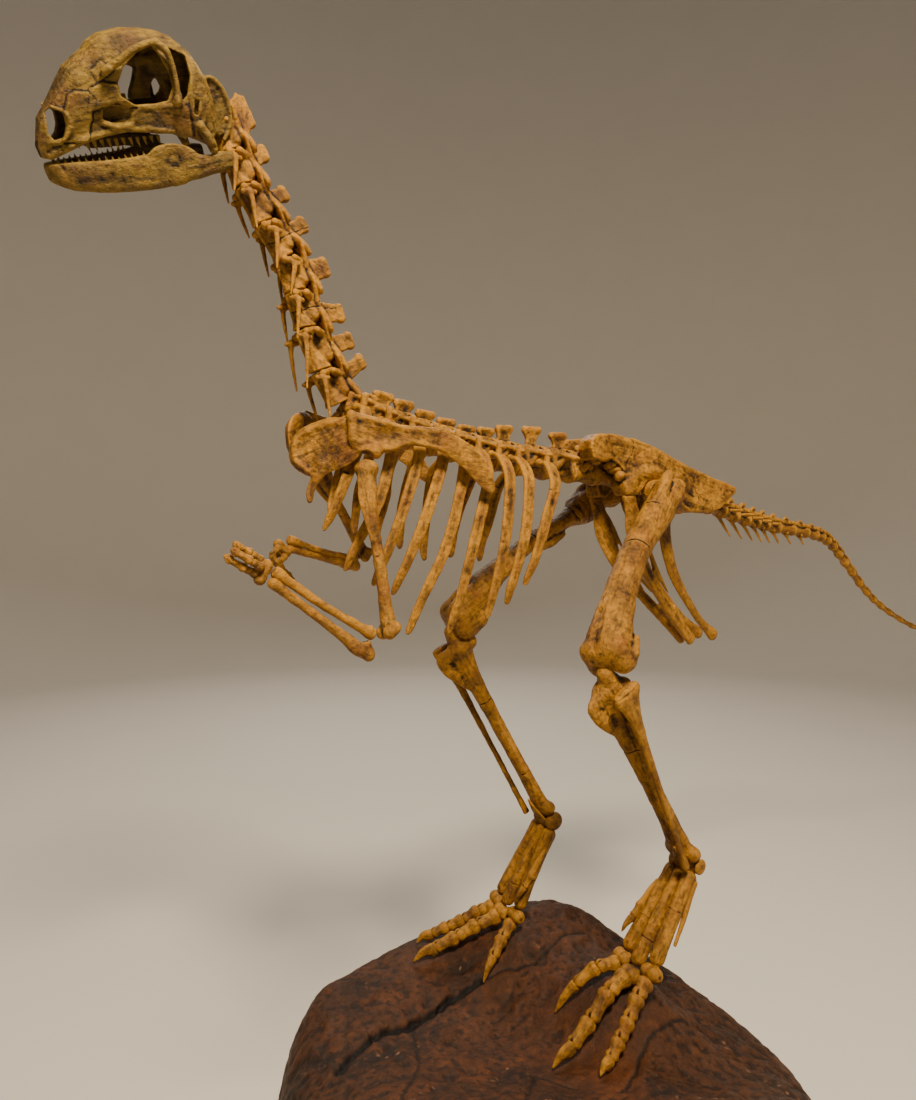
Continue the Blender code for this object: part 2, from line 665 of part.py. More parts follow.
def rock_share(u, v):
    """How far out a place lies: 0 at the middle of the plan, 1 on its edge."""
    reach_u = ROCK_REACH["left" if u < 0 else "right"]
    reach_v = ROCK_REACH["front" if v < 0 else "back"]
    return (abs(u / reach_u) ** ROCK_POWER + abs(v / reach_v) ** ROCK_POWER) ** (1 / ROCK_POWER)


def toe_rows(side, digit):
    """Stations of a toe: its bones swell at each joint, and its claw tapers to the tip."""
    start = instep_end(side, digit)
    _, _, down, _, forward = foot_axes(side)
    tip_x, tip_y = TOE_TIP[side][digit]
    start = start + down * 0.0145 + forward * 0.002
    count = 2 * TOE_JOINTS[digit] + 2
    rows = []
    for k in range(count + 1):
        share = k / count
        x, y = start[0] + (tip_x - start[0]) * share, start[1] + (tip_y - start[1]) * share
        size = TOE_RADIUS[digit] * (1.06 if k % 2 == 0 else 0.86) * (1 - 0.22 * share)
        if k >= count - 1:
            size = TOE_RADIUS[digit] * (0.52 if k == count - 1 else 0.16)
        near = [rock_height(x + dx, y + dy) for dx in (-size, 0, size) for dy in (-size, 0, size)]
        floor = max(near) - HIP[2] + size
        hang = start[2] + (floor - start[2]) * min(1.0, share * 3.2)
        arch = 0.005 * math.sin(math.pi * min(1.0, share * 1.2))
        rows.append((x, y, max(hang, floor) + arch + TOE_GAP, size, size))
    return rows


def toe(side, digit, name):
    join(name, [tube(toe_rows(side, digit), 5, None, (0, 1, 0), math.pi / 10)])


# The arms ---------------------------------------------------------------------------------------


def girdle(side, rows):
    """Shoulder-girdle stations; the right side's bones are mounted higher and farther back."""
    shift = np.array(GIRDLE_SHIFT[side])
    return [(*(np.array((x, side * y, z)) + shift), wide, deep) for x, y, z, wide, deep in rows]


def scapula(side, name):
    rows = [
        (-0.5430, 0.0860, 0.040, 0.0060, 0.021),
        (-0.5150, 0.0905, 0.036, 0.0050, 0.017),
        (-0.4840, 0.0925, 0.045, 0.0040, 0.012),
        (-0.4450, 0.0935, 0.044, 0.0038, 0.013),
        (-0.4000, 0.0935, 0.024, 0.0036, 0.015),
        (-0.3650, 0.0920, -0.008, 0.0030, 0.010),
    ]
    crest = [(-0.549, 0.0850, 0.064, 0.004, 0.007), (-0.520, 0.0900, 0.054, 0.004, 0.008)]
    join(name, [tube(girdle(side, rows), 6, 8, (0, 1, 0)), tube(girdle(side, crest), 5)])


def coracoid(side, name):
    rows = [
        (-0.5520, 0.0830, 0.030, 0.0050, 0.022),
        (-0.5720, 0.0680, 0.025, 0.0046, 0.029),
        (-0.5890, 0.0480, 0.023, 0.0042, 0.029),
        (-0.6010, 0.0300, 0.021, 0.0034, 0.022),
    ]
    hook = [(-0.588, 0.050, 0.004, 0.004, 0.010), (-0.593, 0.047, -0.013, 0.003, 0.005)]
    join(name, [tube(girdle(side, rows), 6, 5, (1, 0, 0)), tube(girdle(side, hook), 5)])


def humerus(side, name):
    top, low = np.array(SHOULDER[side]), np.array(ELBOW[side])
    rows = [(*(top + (low - top) * share), wide, deep) for share, wide, deep in (
        (0.00, 0.010, 0.014), (0.06, 0.012, 0.019), (0.25, 0.0095, 0.0155), (0.50, 0.0088, 0.0098),
        (0.80, 0.0100, 0.0100), (0.95, 0.0160, 0.0120), (0.985, 0.0150, 0.0100))]
    join(name, [tube(rows, 8, 9, (0, 1, 0))])


def forearm_axes(side):
    elbow, wrist = np.array(ELBOW[side]), np.array(WRIST[side])
    along = (wrist - elbow) / np.linalg.norm(wrist - elbow)
    upper = np.array(SHOULDER[side]) - elbow
    upper = upper - along * (upper @ along)
    return elbow, wrist, along, upper / np.linalg.norm(upper)


def ulna(side, name):
    elbow, wrist, along, upper = forearm_axes(side)
    start = elbow + along * 0.020 - upper * 0.028
    finish = wrist - along * 0.004 - upper * 0.007
    rows = [(*(start + (finish - start) * share), size, size) for share, size in (
        (0.00, 0.0085), (0.10, 0.0120), (0.30, 0.0078), (0.80, 0.0065), (1.00, 0.0080))]
    join(name, [tube(rows, 6, 7)])


def radius_bone(side, name):
    elbow, wrist, along, upper = forearm_axes(side)
    start = elbow + along * 0.024 - upper * 0.004
    finish = wrist - along * 0.004 + upper * 0.0085
    rows = [(*(start + (finish - start) * share), size, size) for share, size in (
        (0.00, 0.0080), (0.12, 0.0068), (0.50, 0.0052), (0.85, 0.0056), (1.00, 0.0070))]
    join(name, [tube(rows, 6, 7)])


def hand(side, name):
    """The wrist block and three fingers, held closed."""
    wrist, knuckle, tip = (np.array(place[side]) for place in (WRIST, KNUCKLE, FINGERTIP))
    along = (knuckle - wrist) / np.linalg.norm(knuckle - wrist)
    across = np.cross(along, (0.0, 1.0, 0.0))
    across /= np.linalg.norm(across)
    out = np.array((0.0, side, 0.0))
    start = wrist + along * (0.0065 if side == LEFT else 0.0100)
    shapes = [tube([(*start, 0.013, 0.010), (*(start + along * 0.013), 0.012, 0.010)], 6, None, across)]
    for lift, shift, short in ((0.0078, 0.0, 1.0), (-0.0050, 0.0075, 0.94), (-0.0050, -0.0075, 0.72)):
        offset = across * lift + out * shift
        end = knuckle + (tip - knuckle) * short
        root = start + along * 0.006 + offset * 0.7
        line = [(*root, 0.0056), (*(knuckle + offset), 0.0050), (*(end + offset * 0.8), 0.0018)]
        shapes.append(tube(line, 4))
    join(name, shapes)


# The head ---------------------------------------------------------------------------------------

def head_axes():
    """The head frame's three axes in the hip frame: forward, left and up."""
    yaw, roll, pitch = HEAD_YAW, HEAD_ROLL, HEAD_PITCH
    ahead = np.array((-math.cos(yaw), -math.sin(yaw), 0.0))
    left = np.array((math.sin(yaw), -math.cos(yaw), 0.0))
    up = np.array((0.0, 0.0, 1.0))
    left, up = left * math.cos(roll) - up * math.sin(roll), up * math.cos(roll) + left * math.sin(roll)
    forward = ahead * math.cos(pitch) + up * math.sin(pitch)
    return np.array((forward, left, up * math.cos(pitch) - ahead * math.sin(pitch)))


def place_head(shapes):
    """Moves shapes made in the head frame to their place on the neck."""
    axes = head_axes()
    for shape in shapes:
        for vertex in shape.data.vertices:
            vertex.co = tuple(np.array(vertex.co) @ axes + np.array(HEAD_PLACE))
    return shapes


def skull():
    rings = []
    sections = np.array(SKULL_SECTIONS)
    for x, top, low, middle, wide in SKULL_SECTIONS:
        left = []
        for across, rise, inner in SKULL_RING:
            left.append((x, wide * across, middle if inner else low + (top - low) * rise))
        rings.append(left + [(x, -y, z) for _, y, z in left[:0:-1]])
    reach = (-0.06, 0.06)
    cutters = [slab(shape, reach) for shape in (ORBIT, TEMPLE, NOSTRIL)]
    inside = ((0.100, 0.034), (0.096, 0.070), (0.060, 0.084), (0.024, 0.072), (0.034, 0.034))
    cutters.append(slab(inside, (-0.028, 0.028)))
    shapes = [loft("shape", np.array(rings))]
    for side in (LEFT, RIGHT):
        cutters.append(slab(CHEEK_PIT, (side * 0.022, side * 0.06)))
        for i in range(TOOTH_COUNT):
            x = TEETH_START + (TEETH_END - TEETH_START) * i / (TOOTH_COUNT - 1)
            low, wide = (float(np.interp(-x, -sections[:, 0], sections[:, k])) for k in (2, 4))
            y = side * wide * 0.80
            shapes.append(tube([(x, y, low + 0.006, 0.0024), (x, y, low - TOOTH_LENGTH, 0.0011)], 3))
    shapes.append(tube([(0.010, 0, 0.012, 0.009), (0.0035, 0, 0.004, 0.007)], 6))
    join("skull", place_head(shapes), SKULL_BONE, place_head(cutters))


def lower_jaw():
    """One band bent round the front of the jaw, from the right joint to the left one."""
    right = [(x, -y, *rest) for x, y, *rest in JAW_SECTIONS]
    rows = right + [JAW_TIP] + list(JAW_SECTIONS[::-1])
    rings = []
    for i, (x, y, top, low, thick) in enumerate(rows):
        before, after = rows[max(i - 1, 0)], rows[min(i + 1, len(rows) - 1)]
        way = np.array((after[0] - before[0], after[1] - before[1]))
        nx, ny = np.array((way[1], -way[0])) / np.linalg.norm(way)
        rise = top - low
        corners = ((-1, 0.15), (0, 0.0), (1, 0.15), (1, 0.92), (0, 1.0), (-1, 0.92))
        rings.append([(x + nx * thick * c, y + ny * thick * c, low + rise * h) for c, h in corners])
    join("lower_jaw", place_head([loft("shape", np.array(rings))]), SKULL_BONE)


# The rock ---------------------------------------------------------------------------------------


def rock_base():
    """A domed rock: rings of points at growing shares of the plan, closed by a flat underside."""
    around, shares = 28, (0.14, 0.28, 0.42, 0.56, 0.70, 0.83, 0.93, 0.98, 1.0)
    turn = (math.cos(ROCK_TURN), math.sin(ROCK_TURN))
    points, faces = [(-HIP[0], -HIP[1], rock_height(-HIP[0], -HIP[1]) - HIP[2])], []
    for share in shares:
        for j in range(around):
            angle = 2 * math.pi * j / around
            u, v = math.cos(angle), math.sin(angle)
            scale = share / rock_share(u, v)
            u, v = u * scale, v * scale
            x, y = u * turn[0] - v * turn[1] - HIP[0], u * turn[1] + v * turn[0] - HIP[1]
            points.append((x, y, (rock_height(x, y) if share < 1 else 0.0) - HIP[2]))
    for j in range(around):
        faces.append((0, 1 + j, 1 + (j + 1) % around))
        for i in range(len(shares) - 1):
            a, b = 1 + i * around, 1 + (i + 1) * around
            k = (j + 1) % around
            faces.append((a + j, b + j, b + k, a + k))
    last = 1 + (len(shares) - 1) * around
    faces.append(tuple(last + j for j in range(around))[::-1])
    join("rock_base", [solid("shape", points, faces)], ROCK)


def main():
    clear_scene()
    make_materials()
    hip = bpy.data.objects.new("hip", None)
    hip.location = HIP
    bpy.context.scene.collection.objects.link(hip)
    skull()
    lower_jaw()
    neck()
    sacrum()
    tail()
    for side, word in ((LEFT, "left"), (RIGHT, "right")):
        rib_cage(side, f"rib_cage_{word}")
        ilium(side, f"ilium_{word}")
        pubis(side, f"pubis_{word}")
        ischium(side, f"ischium_{word}")
        femur(side, f"femur_{word}")
        tibia(side, f"tibia_{word}")
        fibula(side, f"fibula_{word}")
        ankle_bone(side, f"ankle_{word}")
        instep(side, f"instep_{word}")
        first_toe(side, f"toe_1_{word}")
        for digit in (2, 3, 4):
            toe(side, digit, f"toe_{digit}_{word}")
        scapula(side, f"scapula_{word}")
        coracoid(side, f"coracoid_{word}")
        humerus(side, f"humerus_{word}")
        ulna(side, f"ulna_{word}")
        radius_bone(side, f"radius_{word}")
        hand(side, f"hand_{word}")
    rock_base()


if __name__ == "__main__":
    main()
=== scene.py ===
"""Looks of a mounted dinosaur skeleton: every bone, the rock it stands on and a plain studio round it."""

import math

import bpy
import numpy as np
from mathutils import Matrix


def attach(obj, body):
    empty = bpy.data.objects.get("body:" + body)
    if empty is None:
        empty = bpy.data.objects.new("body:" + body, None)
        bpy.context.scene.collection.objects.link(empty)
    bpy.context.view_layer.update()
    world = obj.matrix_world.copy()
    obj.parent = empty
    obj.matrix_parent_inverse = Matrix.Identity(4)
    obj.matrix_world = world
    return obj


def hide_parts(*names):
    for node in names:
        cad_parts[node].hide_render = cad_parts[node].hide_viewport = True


bl_info = {
    "name": "Mounted Dinosaur Skeleton",
    "version": (1, 0, 0),
    "blender": (4, 5, 0),
    "location": "View3D > Sidebar > Skeleton",
    "description": "Builds the cast bones of a small two-legged dinosaur on their rock base",
    "category": "Object",
}

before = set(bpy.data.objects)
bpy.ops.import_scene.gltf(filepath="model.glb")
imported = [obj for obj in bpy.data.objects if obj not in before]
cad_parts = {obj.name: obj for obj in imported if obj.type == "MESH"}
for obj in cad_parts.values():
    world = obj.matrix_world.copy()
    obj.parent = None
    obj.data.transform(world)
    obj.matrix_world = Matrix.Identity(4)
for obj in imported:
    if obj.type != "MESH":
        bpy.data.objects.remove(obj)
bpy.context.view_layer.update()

# Places are in the hip frame: origin midway between the hip sockets, -X forward, -Y left, +Z up.
HIP = np.array((0.230, 0.070, 0.974))
LEFT, RIGHT = -1, 1
SIDES = ((LEFT, "left"), (RIGHT, "right"))
BACK, ACROSS, UP = np.eye(3)

HIP_JOINT = {LEFT: (0.000, -0.051, 0.000), RIGHT: (0.000, 0.051, 0.000)}
KNEE = {LEFT: (-0.226, -0.160, -0.251), RIGHT: (-0.287, 0.124, -0.217)}
ANKLE = {LEFT: (-0.025, -0.133, -0.566), RIGHT: (-0.107, 0.089, -0.551)}
INSTEP_END = {LEFT: (-0.130, -0.119, -0.709), RIGHT: (-0.175, 0.128, -0.706)}
SHOULDER = {LEFT: (-0.543, -0.090, 0.006), RIGHT: (-0.528, 0.092, 0.030)}
GIRDLE_SHIFT = {LEFT: (0.0, 0.0, 0.0), RIGHT: (0.017, 0.0, 0.028)}
ELBOW = {LEFT: (-0.522, -0.112, -0.198), RIGHT: (-0.414, 0.165, -0.106)}
WRIST = {LEFT: (-0.664, -0.104, -0.122), RIGHT: (-0.566, 0.104, -0.087)}
KNUCKLE = {LEFT: (-0.688, -0.106, -0.110), RIGHT: (-0.588, 0.088, -0.108)}
FINGERTIP = {LEFT: (-0.712, -0.108, -0.097), RIGHT: (-0.567, 0.080, -0.128)}
FIBULA_PLACE = {LEFT: ((0.0245, 0.0), (0.0185, 0.0195)), RIGHT: ((0.031, 0.016), (0.026, 0.018))}
TOE_TIP = {
    LEFT: {2: (-0.213, -0.046), 3: (-0.282, -0.119), 4: (-0.250, -0.176)},
    RIGHT: {2: (-0.255, 0.074), 3: (-0.325, 0.173), 4: (-0.297, 0.210)},
}
TOE_RADIUS = {2: 0.0108, 3: 0.0122, 4: 0.0110}
INSTEP_SPREAD = {2: -0.027, 3: 0.0, 4: 0.026}

# The backbone: neck joints with the tip and half length of each spine, then lines of x, z and radius.
NECK_JOINTS = (
    (-0.6895, 0.4005), (-0.674, 0.370), (-0.658, 0.335), (-0.634, 0.297), (-0.608, 0.261),
    (-0.594, 0.223), (-0.581, 0.180), (-0.560, 0.131), (-0.5372, 0.0915),
)
NECK_TIPS = (
    (-0.651, 0.434, 0.021), (-0.630, 0.386, 0.009), (-0.605, 0.345, 0.008), (-0.581, 0.314, 0.009),
    (-0.551, 0.266, 0.012), (-0.530, 0.212, 0.011), (-0.517, 0.180, 0.010), (-0.501, 0.156, 0.009),
)
NECK_RADIUS = (0.0118, 0.0148)
NECK_NODES = ("neck_1",) * 2 + ("neck_2",) * 3 + ("neck_3",) * 3
TRUNK_LINE = (
    (-0.531, 0.083, 0.0140), (-0.487, 0.066, 0.0145), (-0.417, 0.052, 0.0145),
    (-0.312, 0.036, 0.0150), (-0.224, 0.030, 0.0160), (-0.094, 0.026, 0.0175),
)
FRONT_STEP, REAR_STEP = 0.035, 0.0535
TRUNK_X = [-0.522 + FRONT_STEP * i for i in range(8)] + [-0.2235 + REAR_STEP * i for i in range(3)]
SPINE_RISE = (0.020, 0.030, 0.030, 0.026, 0.024, 0.023, 0.027, 0.036, 0.041, 0.041, 0.026)
RIB_FORWARD = {
    LEFT: (0.059, 0.070, 0.069, 0.078, 0.092, 0.066, 0.039, 0.040, 0.058),
    RIGHT: (0.030, 0.032, 0.030, 0.030, 0.027, 0.020, 0.0, 0.045, 0.048),
}
RIB_DROP = {
    LEFT: (0.150, 0.184, 0.194, 0.200, 0.244, 0.241, 0.220, 0.200, 0.172),
    RIGHT: (0.110, 0.112, 0.130, 0.138, 0.138, 0.150, 0.0, 0.137, 0.140),
}
RIB_SPREAD = (0.066, 0.074, 0.078, 0.079, 0.079, 0.079, 0.079, 0.077, 0.072)
SACRUM_LINE = ((-0.093, 0.026, 0.0170), (0.000, 0.020, 0.0180), (0.100, 0.002, 0.0170),
    (0.198, -0.013, 0.0150))
TAIL_LINE = (
    (0.199, -0.014, 0.0150), (0.307, -0.034, 0.0135), (0.398, -0.047, 0.0125), (0.533, -0.060, 0.0115),
    (0.605, -0.076, 0.0105), (0.672, -0.122, 0.0090), (0.758, -0.187, 0.0072), (0.850, -0.235, 0.0060),
    (0.999, -0.286, 0.0048), (1.180, -0.320, 0.0036), (1.440, -0.345, 0.0022),
)
TAIL_COUNT, CHEVRON_COUNT = 28, 8

HEAD_PLACE = np.array((-0.696, 0.000, 0.401))
HEAD_YAW, HEAD_ROLL, HEAD_PITCH = math.radians(12), math.radians(27), math.radians(-33)


# Arithmetic on whole arrays ---------------------------------------------------------------------


def unit(v):
    """The vector at length one."""
    return np.asarray(v, float) / np.linalg.norm(v)


def smooth_line(points, count):
    """Rows of a Catmull-Rom curve through the points; every column is carried along."""
    rows = np.asarray(points, float)
    knots = np.vstack([2 * rows[0] - rows[1], rows, 2 * rows[-1] - rows[-2]])
    place = np.linspace(0, len(rows) - 1, count)
    first = np.minimum(place.astype(int), len(rows) - 2)
    part = (place - first)[:, None]
    a, b, c, d = (knots[first + i] for i in range(4))
    cubic = (3 * b - a - 3 * c + d) * part**3
    return 0.5 * (2 * b + (c - a) * part + (2 * a - 5 * b + 4 * c - d) * part**2 + cubic)


def spread_points(line):
    """(x, z, radius) rows as (x, 0, z, radius) rows."""
    return np.array([(x, 0.0, z, r) for x, z, r in line])


def frames(centres, side):
    """Unit vectors across a line of points: one as near `side` as it can be, one square to it."""
    along = np.gradient(centres, axis=0)
    along /= np.linalg.norm(along, axis=1)[:, None] + 1e-12
    across = np.asarray(side, float) - (along @ np.asarray(side, float))[:, None] * along
    across /= np.linalg.norm(across, axis=1)[:, None]
    return across, np.cross(along, across)


def lattice(points, seed):
    """Smooth noise from -1 to 1: random values at whole-number places, eased between them."""
    cell = np.floor(points).astype(np.int64)
    part = points - cell
    part = part * part * (3 - 2 * part)
    total = np.zeros(len(points))
    for corner in np.ndindex(2, 2, 2):
        x, y, z = (cell + corner).T
        mixed = (x * 73856093) ^ (y * 19349663) ^ (z * 83492791) ^ (seed * 2654435761)
        mixed = (mixed ^ (mixed >> 13)) * 1274126177 & 0x7FFFFFFF
        value = ((mixed ^ (mixed >> 16)) & 0xFFFF) / 32767.5 - 1
        share = np.prod(np.where(corner, part, 1 - part), axis=1)
        total += value * share
    return total


def grain(points, size, octaves=3, seed=0):
    """Layers of smooth noise, each half as wide and half as strong as the one before."""
    total = sum(lattice(points / size * 2**k + 17.3 * k, seed + k) / 2**k for k in range(octaves))
    return total / 1.6


def near_line(points, line):
    """Distance from each point to a line of straight runs."""
    best = np.full(len(points), 9.0)
    for a, b in zip(np.asarray(line, float), np.asarray(line, float)[1:]):
        run = b - a
        part = np.clip((points - a) @ run / (run @ run + 1e-12), 0, 1)
        best = np.minimum(best, np.linalg.norm(points - a - part[:, None] * run, axis=1))
    return best


# Meshes -----------------------------------------------------------------------------------------


def make_mesh(name, points, faces):
    """A mesh object from whole arrays: points (n, 3), faces (m, 4) or a list of such arrays."""
    faces = [np.asarray(f, np.int32) for f in (faces if isinstance(faces, list) else [faces])]
    loops = np.concatenate([f.reshape(-1) for f in faces])
    totals = np.concatenate([np.full(len(f), f.shape[1], np.int32) for f in faces])
    name = name.replace(" ", "_")
    mesh = bpy.data.meshes.new(name)
    mesh.vertices.add(len(points))
    mesh.vertices.foreach_set("co", np.asarray(points, np.float32).reshape(-1))
    mesh.loops.add(len(loops))
    mesh.loops.foreach_set("vertex_index", loops)
    mesh.polygons.add(len(totals))
    mesh.polygons.foreach_set("loop_start", np.concatenate([[0], np.cumsum(totals)[:-1]]).astype(np.int32))
    mesh.polygons.foreach_set("loop_total", totals)
    mesh.update(calc_edges=True)
    mesh.validate()
    obj = bpy.data.objects.new(name, mesh)
    bpy.context.scene.collection.objects.link(obj)
    return obj


def wrap_faces(rows, columns):
    """Quads of a grid whose columns close round on themselves."""
    i, j = np.meshgrid(np.arange(rows - 1), np.arange(columns), indexing="ij")
    k = (j + 1) % columns
    quads = np.stack([i * columns + j, i * columns + k, (i + 1) * columns + k, (i + 1) * columns + j], -1)
    return quads.reshape(-1, 4)


LEAST_CAP = 0.02  # the last ring of a rounded end, as a share of the shaft's own ring


def shaft_points(stations, count, sides, side=ACROSS, bumps=(), round_ends=(0.6, 0.6), power=2.0):
    """A shaft as rings: station s gives a centre and two half sizes, angle a goes round it.

    The ring is centre + wide*|cos a|^(2/p)*side + deep*|sin a|^(2/p)*square. Each bump swells it by
    height*exp(-(s-s0)^2/w^2-(a-a0)^2/t^2). Both ends close as a quarter ellipse.
    """
    rows = smooth_line(stations, count)
    across, deep = frames(rows[:, :3], side)
    angle = 2 * np.pi * np.arange(sides) / sides
    cos, sin = np.cos(angle), np.sin(angle)
    cos = np.sign(cos) * np.abs(cos) ** (2 / power)
    sin = np.sign(sin) * np.abs(sin) ** (2 / power)
    share = np.linspace(0, 1, count)
    swell = np.zeros((count, sides))
    for at, turn, height, reach, spread in bumps:
        away = np.abs((angle - math.radians(turn) + np.pi) % (2 * np.pi) - np.pi)
        fade = np.exp(-(((share - at) / reach) ** 2))[:, None]
        swell += height * fade * np.exp(-((away / math.radians(spread)) ** 2))
    wide = rows[:, None, 3] + swell
    tall = rows[:, None, 4] + swell
    rings = (wide * cos)[..., None] * across[:, None] + (tall * sin)[..., None] * deep[:, None]
    along = np.gradient(rows[:, :3], axis=0)
    along /= np.linalg.norm(along, axis=1)[:, None]
    steps = np.linspace(0, np.pi / 2, 9)[1:]
    pieces = [rows[:, None, :3] + rings]
    for end, sign, depth in ((0, -1, round_ends[0]), (-1, 1, round_ends[1])):
        reach = depth * min(rows[end, 3], rows[end, 4])
        middle, out = rows[end, :3], sign * along[end] * reach
        cap = [middle + rings[end] * max(math.cos(t), LEAST_CAP) + out * math.sin(t) for t in steps]
        pieces.insert(0 if end == 0 else len(pieces), np.array(cap[::-1] if end == 0 else cap))
    return np.concatenate(pieces)


def ring_mesh(name, points):
    """A closed mesh over rings of points (rings, sides, 3), with a small cap at each end."""
    rows, sides = points.shape[:2]
    quads = wrap_faces(rows, sides)
    caps = [np.arange(sides)[::-1][None], (np.arange(sides) + (rows - 1) * sides)[None]]
    return turn_outward(make_mesh(name, points.reshape(-1, 3), [quads] + caps))


def turn_outward(obj):
    """Turns the faces round if the mesh encloses a negative volume."""
    mesh = obj.data
    mesh.calc_loop_triangles()
    corners = np.empty(len(mesh.loop_triangles) * 3, np.int32)
    mesh.loop_triangles.foreach_get("vertices", corners)
    points = vertices_of(obj)[corners].reshape(-1, 3, 3)
    if np.einsum("ij,ij->i", points[:, 0], np.cross(points[:, 1], points[:, 2])).sum() < 0:
        mesh.flip_normals()
    return obj


def rows_of(items, what):
    """One three-number property of all the items of a mesh, as an (n, 3) array."""
    rows = np.empty(len(items) * 3, np.float32)
    items.foreach_get(what, rows)
    return rows.reshape(-1, 3).astype(float)


def vertices_of(obj):
    """Where the vertices are."""
    return rows_of(obj.data.vertices, "co")


def normals_of(obj):
    """Which way the surface faces at each vertex."""
    return rows_of(obj.data.vertex_normals, "vector")


def move_vertices(obj, points):
    """Puts the vertices at these points."""
    obj.data.vertices.foreach_set("co", np.asarray(points, np.float32).reshape(-1))
    obj.data.update()


FAR = 0.02  # the distance where no stroke reaches
MORE_CELLS = 2.5  # empty cells round the outermost strokes


def run_part(start, end, thick, tip, flat, flatness, blend):
    """Box and rule of a run: the distance to it less a radius going from thick to tip.

    Along the direction `flat` it is `flatness` times as thin.
    """
    run = end - start

    def rule(x, y, z):
        x, y, z = x - start[0], y - start[1], z - start[2]
        along = np.clip((x * run[0] + y * run[1] + z * run[2]) / (run @ run + 1e-12), 0, 1)
        x, y, z = x - along * run[0], y - along * run[1], z - along * run[2]
        if flatness != 1:
            off = (x * flat[0] + y * flat[1] + z * flat[2]) * (flatness - 1)
            x, y, z = x + off * flat[0], y + off * flat[1], z + off * flat[2]
        away = np.sqrt(x * x + y * y + z * z) - (thick + (tip - thick) * along)
        return away / math.sqrt(flatness)

    margin = max(thick, tip) * max(1.0, 1 / flatness) + 2 * blend
    return np.minimum(start, end) - margin, np.maximum(start, end) + margin, rule


class Clay:
    """Soft-edged strokes in a bone's own frame, joined into one surface.

    Each stroke gives the distance to its surface at every place of a grid, less than zero inside.
    Strokes join by a smooth minimum, or are carved out by a smooth maximum.
    """

    def __init__(self, step, origin=(0, 0, 0), axes=None):
        """The grid's step, and the frame that the strokes are given in."""
        self.step, self.marks = step, []
        self.origin = np.asarray(origin, float)
        self.axes = np.eye(3) if axes is None else np.asarray(axes, float)

    def local(self, place):
        """A place of the hip frame in this frame."""
        return (np.asarray(place, float) - self.origin) @ self.axes.T

    def mark(self, parts, blend=0.002, carve=False):
        """Keeps a stroke: boxes with a rule each, whose least distance is the stroke's own."""
        parts = [(np.asarray(low, float), np.asarray(high, float), rule) for low, high, rule in parts]
        self.marks.append((parts, blend, carve))

    def runs(self, rows, flatness, flat, blend, carve, pair):
        """Runs from row to row of x, y, z and radius; with `pair`, they are mirrored in that axis too."""
        rows = np.asarray(rows, float)
        flat = np.zeros(3) if flat is None else unit(flat)
        flips = [np.ones(3)]
        if pair is not None:
            flips.append(np.where(np.arange(3) == pair, -1.0, 1.0))
        for flip in flips:
            parts = [
                run_part(a[:3] * flip, b[:3] * flip, a[3], b[3], flat * flip, thin, blend)
                for a, b, thin in zip(rows, rows[1:], flatness)
            ]
            self.mark(parts, blend, carve)

    def stroke(self, start, end, thick, tip=None, flat=None, flatness=1.0, blend=0.002, carve=False,
            pair=None):
        """One run, going from thick to tip."""
        rows = [(*start, thick), (*end, thick if tip is None else tip)]
        self.runs(rows, [flatness], flat, blend, carve, pair)

    def path(self, stations, flat=None, blend=0.002, carve=False, count=None, pair=None):
        """Runs through rows of x, y, z, radius and, with `flat`, the half thickness along it."""
        rows = smooth_line(stations, count or 3 * len(stations) - 2)
        thin = [1.0 if flat is None else (a[3] + b[3]) / (a[4] + b[4]) for a, b in zip(rows, rows[1:])]
        self.runs(rows, thin, flat, blend, carve, pair)

    def ball(self, centre, reach, blend=0.002, carve=False, pair=None):
        """An egg: with q = |p / reach| and g = |p / reach^2|, the distance is q * (q - 1) / g."""
        centre, reach = np.asarray(centre, float), np.asarray(reach, float) * np.ones(3)

        def rule(x, y, z):
            x, y, z = (x - centre[0]) / reach[0], (y - centre[1]) / reach[1], (z - centre[2]) / reach[2]
            q = np.sqrt(x * x + y * y + z * z)
            g = np.sqrt((x / reach[0]) ** 2 + (y / reach[1]) ** 2 + (z / reach[2]) ** 2) + 1e-6
            return q * (q - 1) / g

        self.mark([(centre - reach - 2 * blend, centre + reach + 2 * blend, rule)], blend, carve)
        if pair is not None:
            self.ball(centre * np.where(np.arange(3) == pair, -1.0, 1.0), reach, blend, carve)

    def drum(self, low, high, middle, ends, waist):
        """A vertebral body along X: its radius dips by (1 - waist) * (1 - u^2), u from -1 to 1."""

        def rule(x, y, z):
            share = np.clip((x - low) / (high - low), 0, 1)
            radius = ends[0] + (ends[1] - ends[0]) * share
            radius = radius * (1 - (1 - waist) * np.maximum(0, 1 - (2.15 * share - 1.075) ** 2))
            radial = np.sqrt(y * y + ((z - middle) * 1.04) ** 2) - radius
            length = np.maximum(low - x, x - high)
            return round_corner(radial, length + 0 * radial, 0.0018)

        blend = 0.002
        margin = max(ends) + 2 * blend
        corner, other = (low - 0.004, -margin, middle - margin), (high + 0.004, margin, middle + margin)
        self.mark([(corner, other, rule)], blend)

    def slab(self, outline, low, high, edge=0.0012, blend=0.002, carve=False, lean=None, pair=None):
        """An outline of (x, z) points run along Y between two places, with rounded edges."""
        outline = np.asarray(outline, float)
        middle, half = (low + high) / 2, abs(high - low) / 2

        def rule(x, y, z):
            flat = flat_distance(x + 0 * z, z + 0 * x, outline)
            y = y - middle - (lean(x, z) if lean else 0)
            return round_corner(flat + 0 * y, np.abs(y) - half + 0 * flat, edge)

        margin = 2 * blend + edge
        half += 0.012 if lean else 0.0
        corner = np.array((outline[:, 0].min(), middle - half, outline[:, 1].min())) - margin
        other = np.array((outline[:, 0].max(), middle + half, outline[:, 1].max())) + margin
        self.mark([(corner, other, rule)], blend, carve)
        if pair is not None:
            back = None if lean is None else (lambda x, z: -lean(x, z))
            self.slab(outline, -high, -low, edge, blend, carve, back)

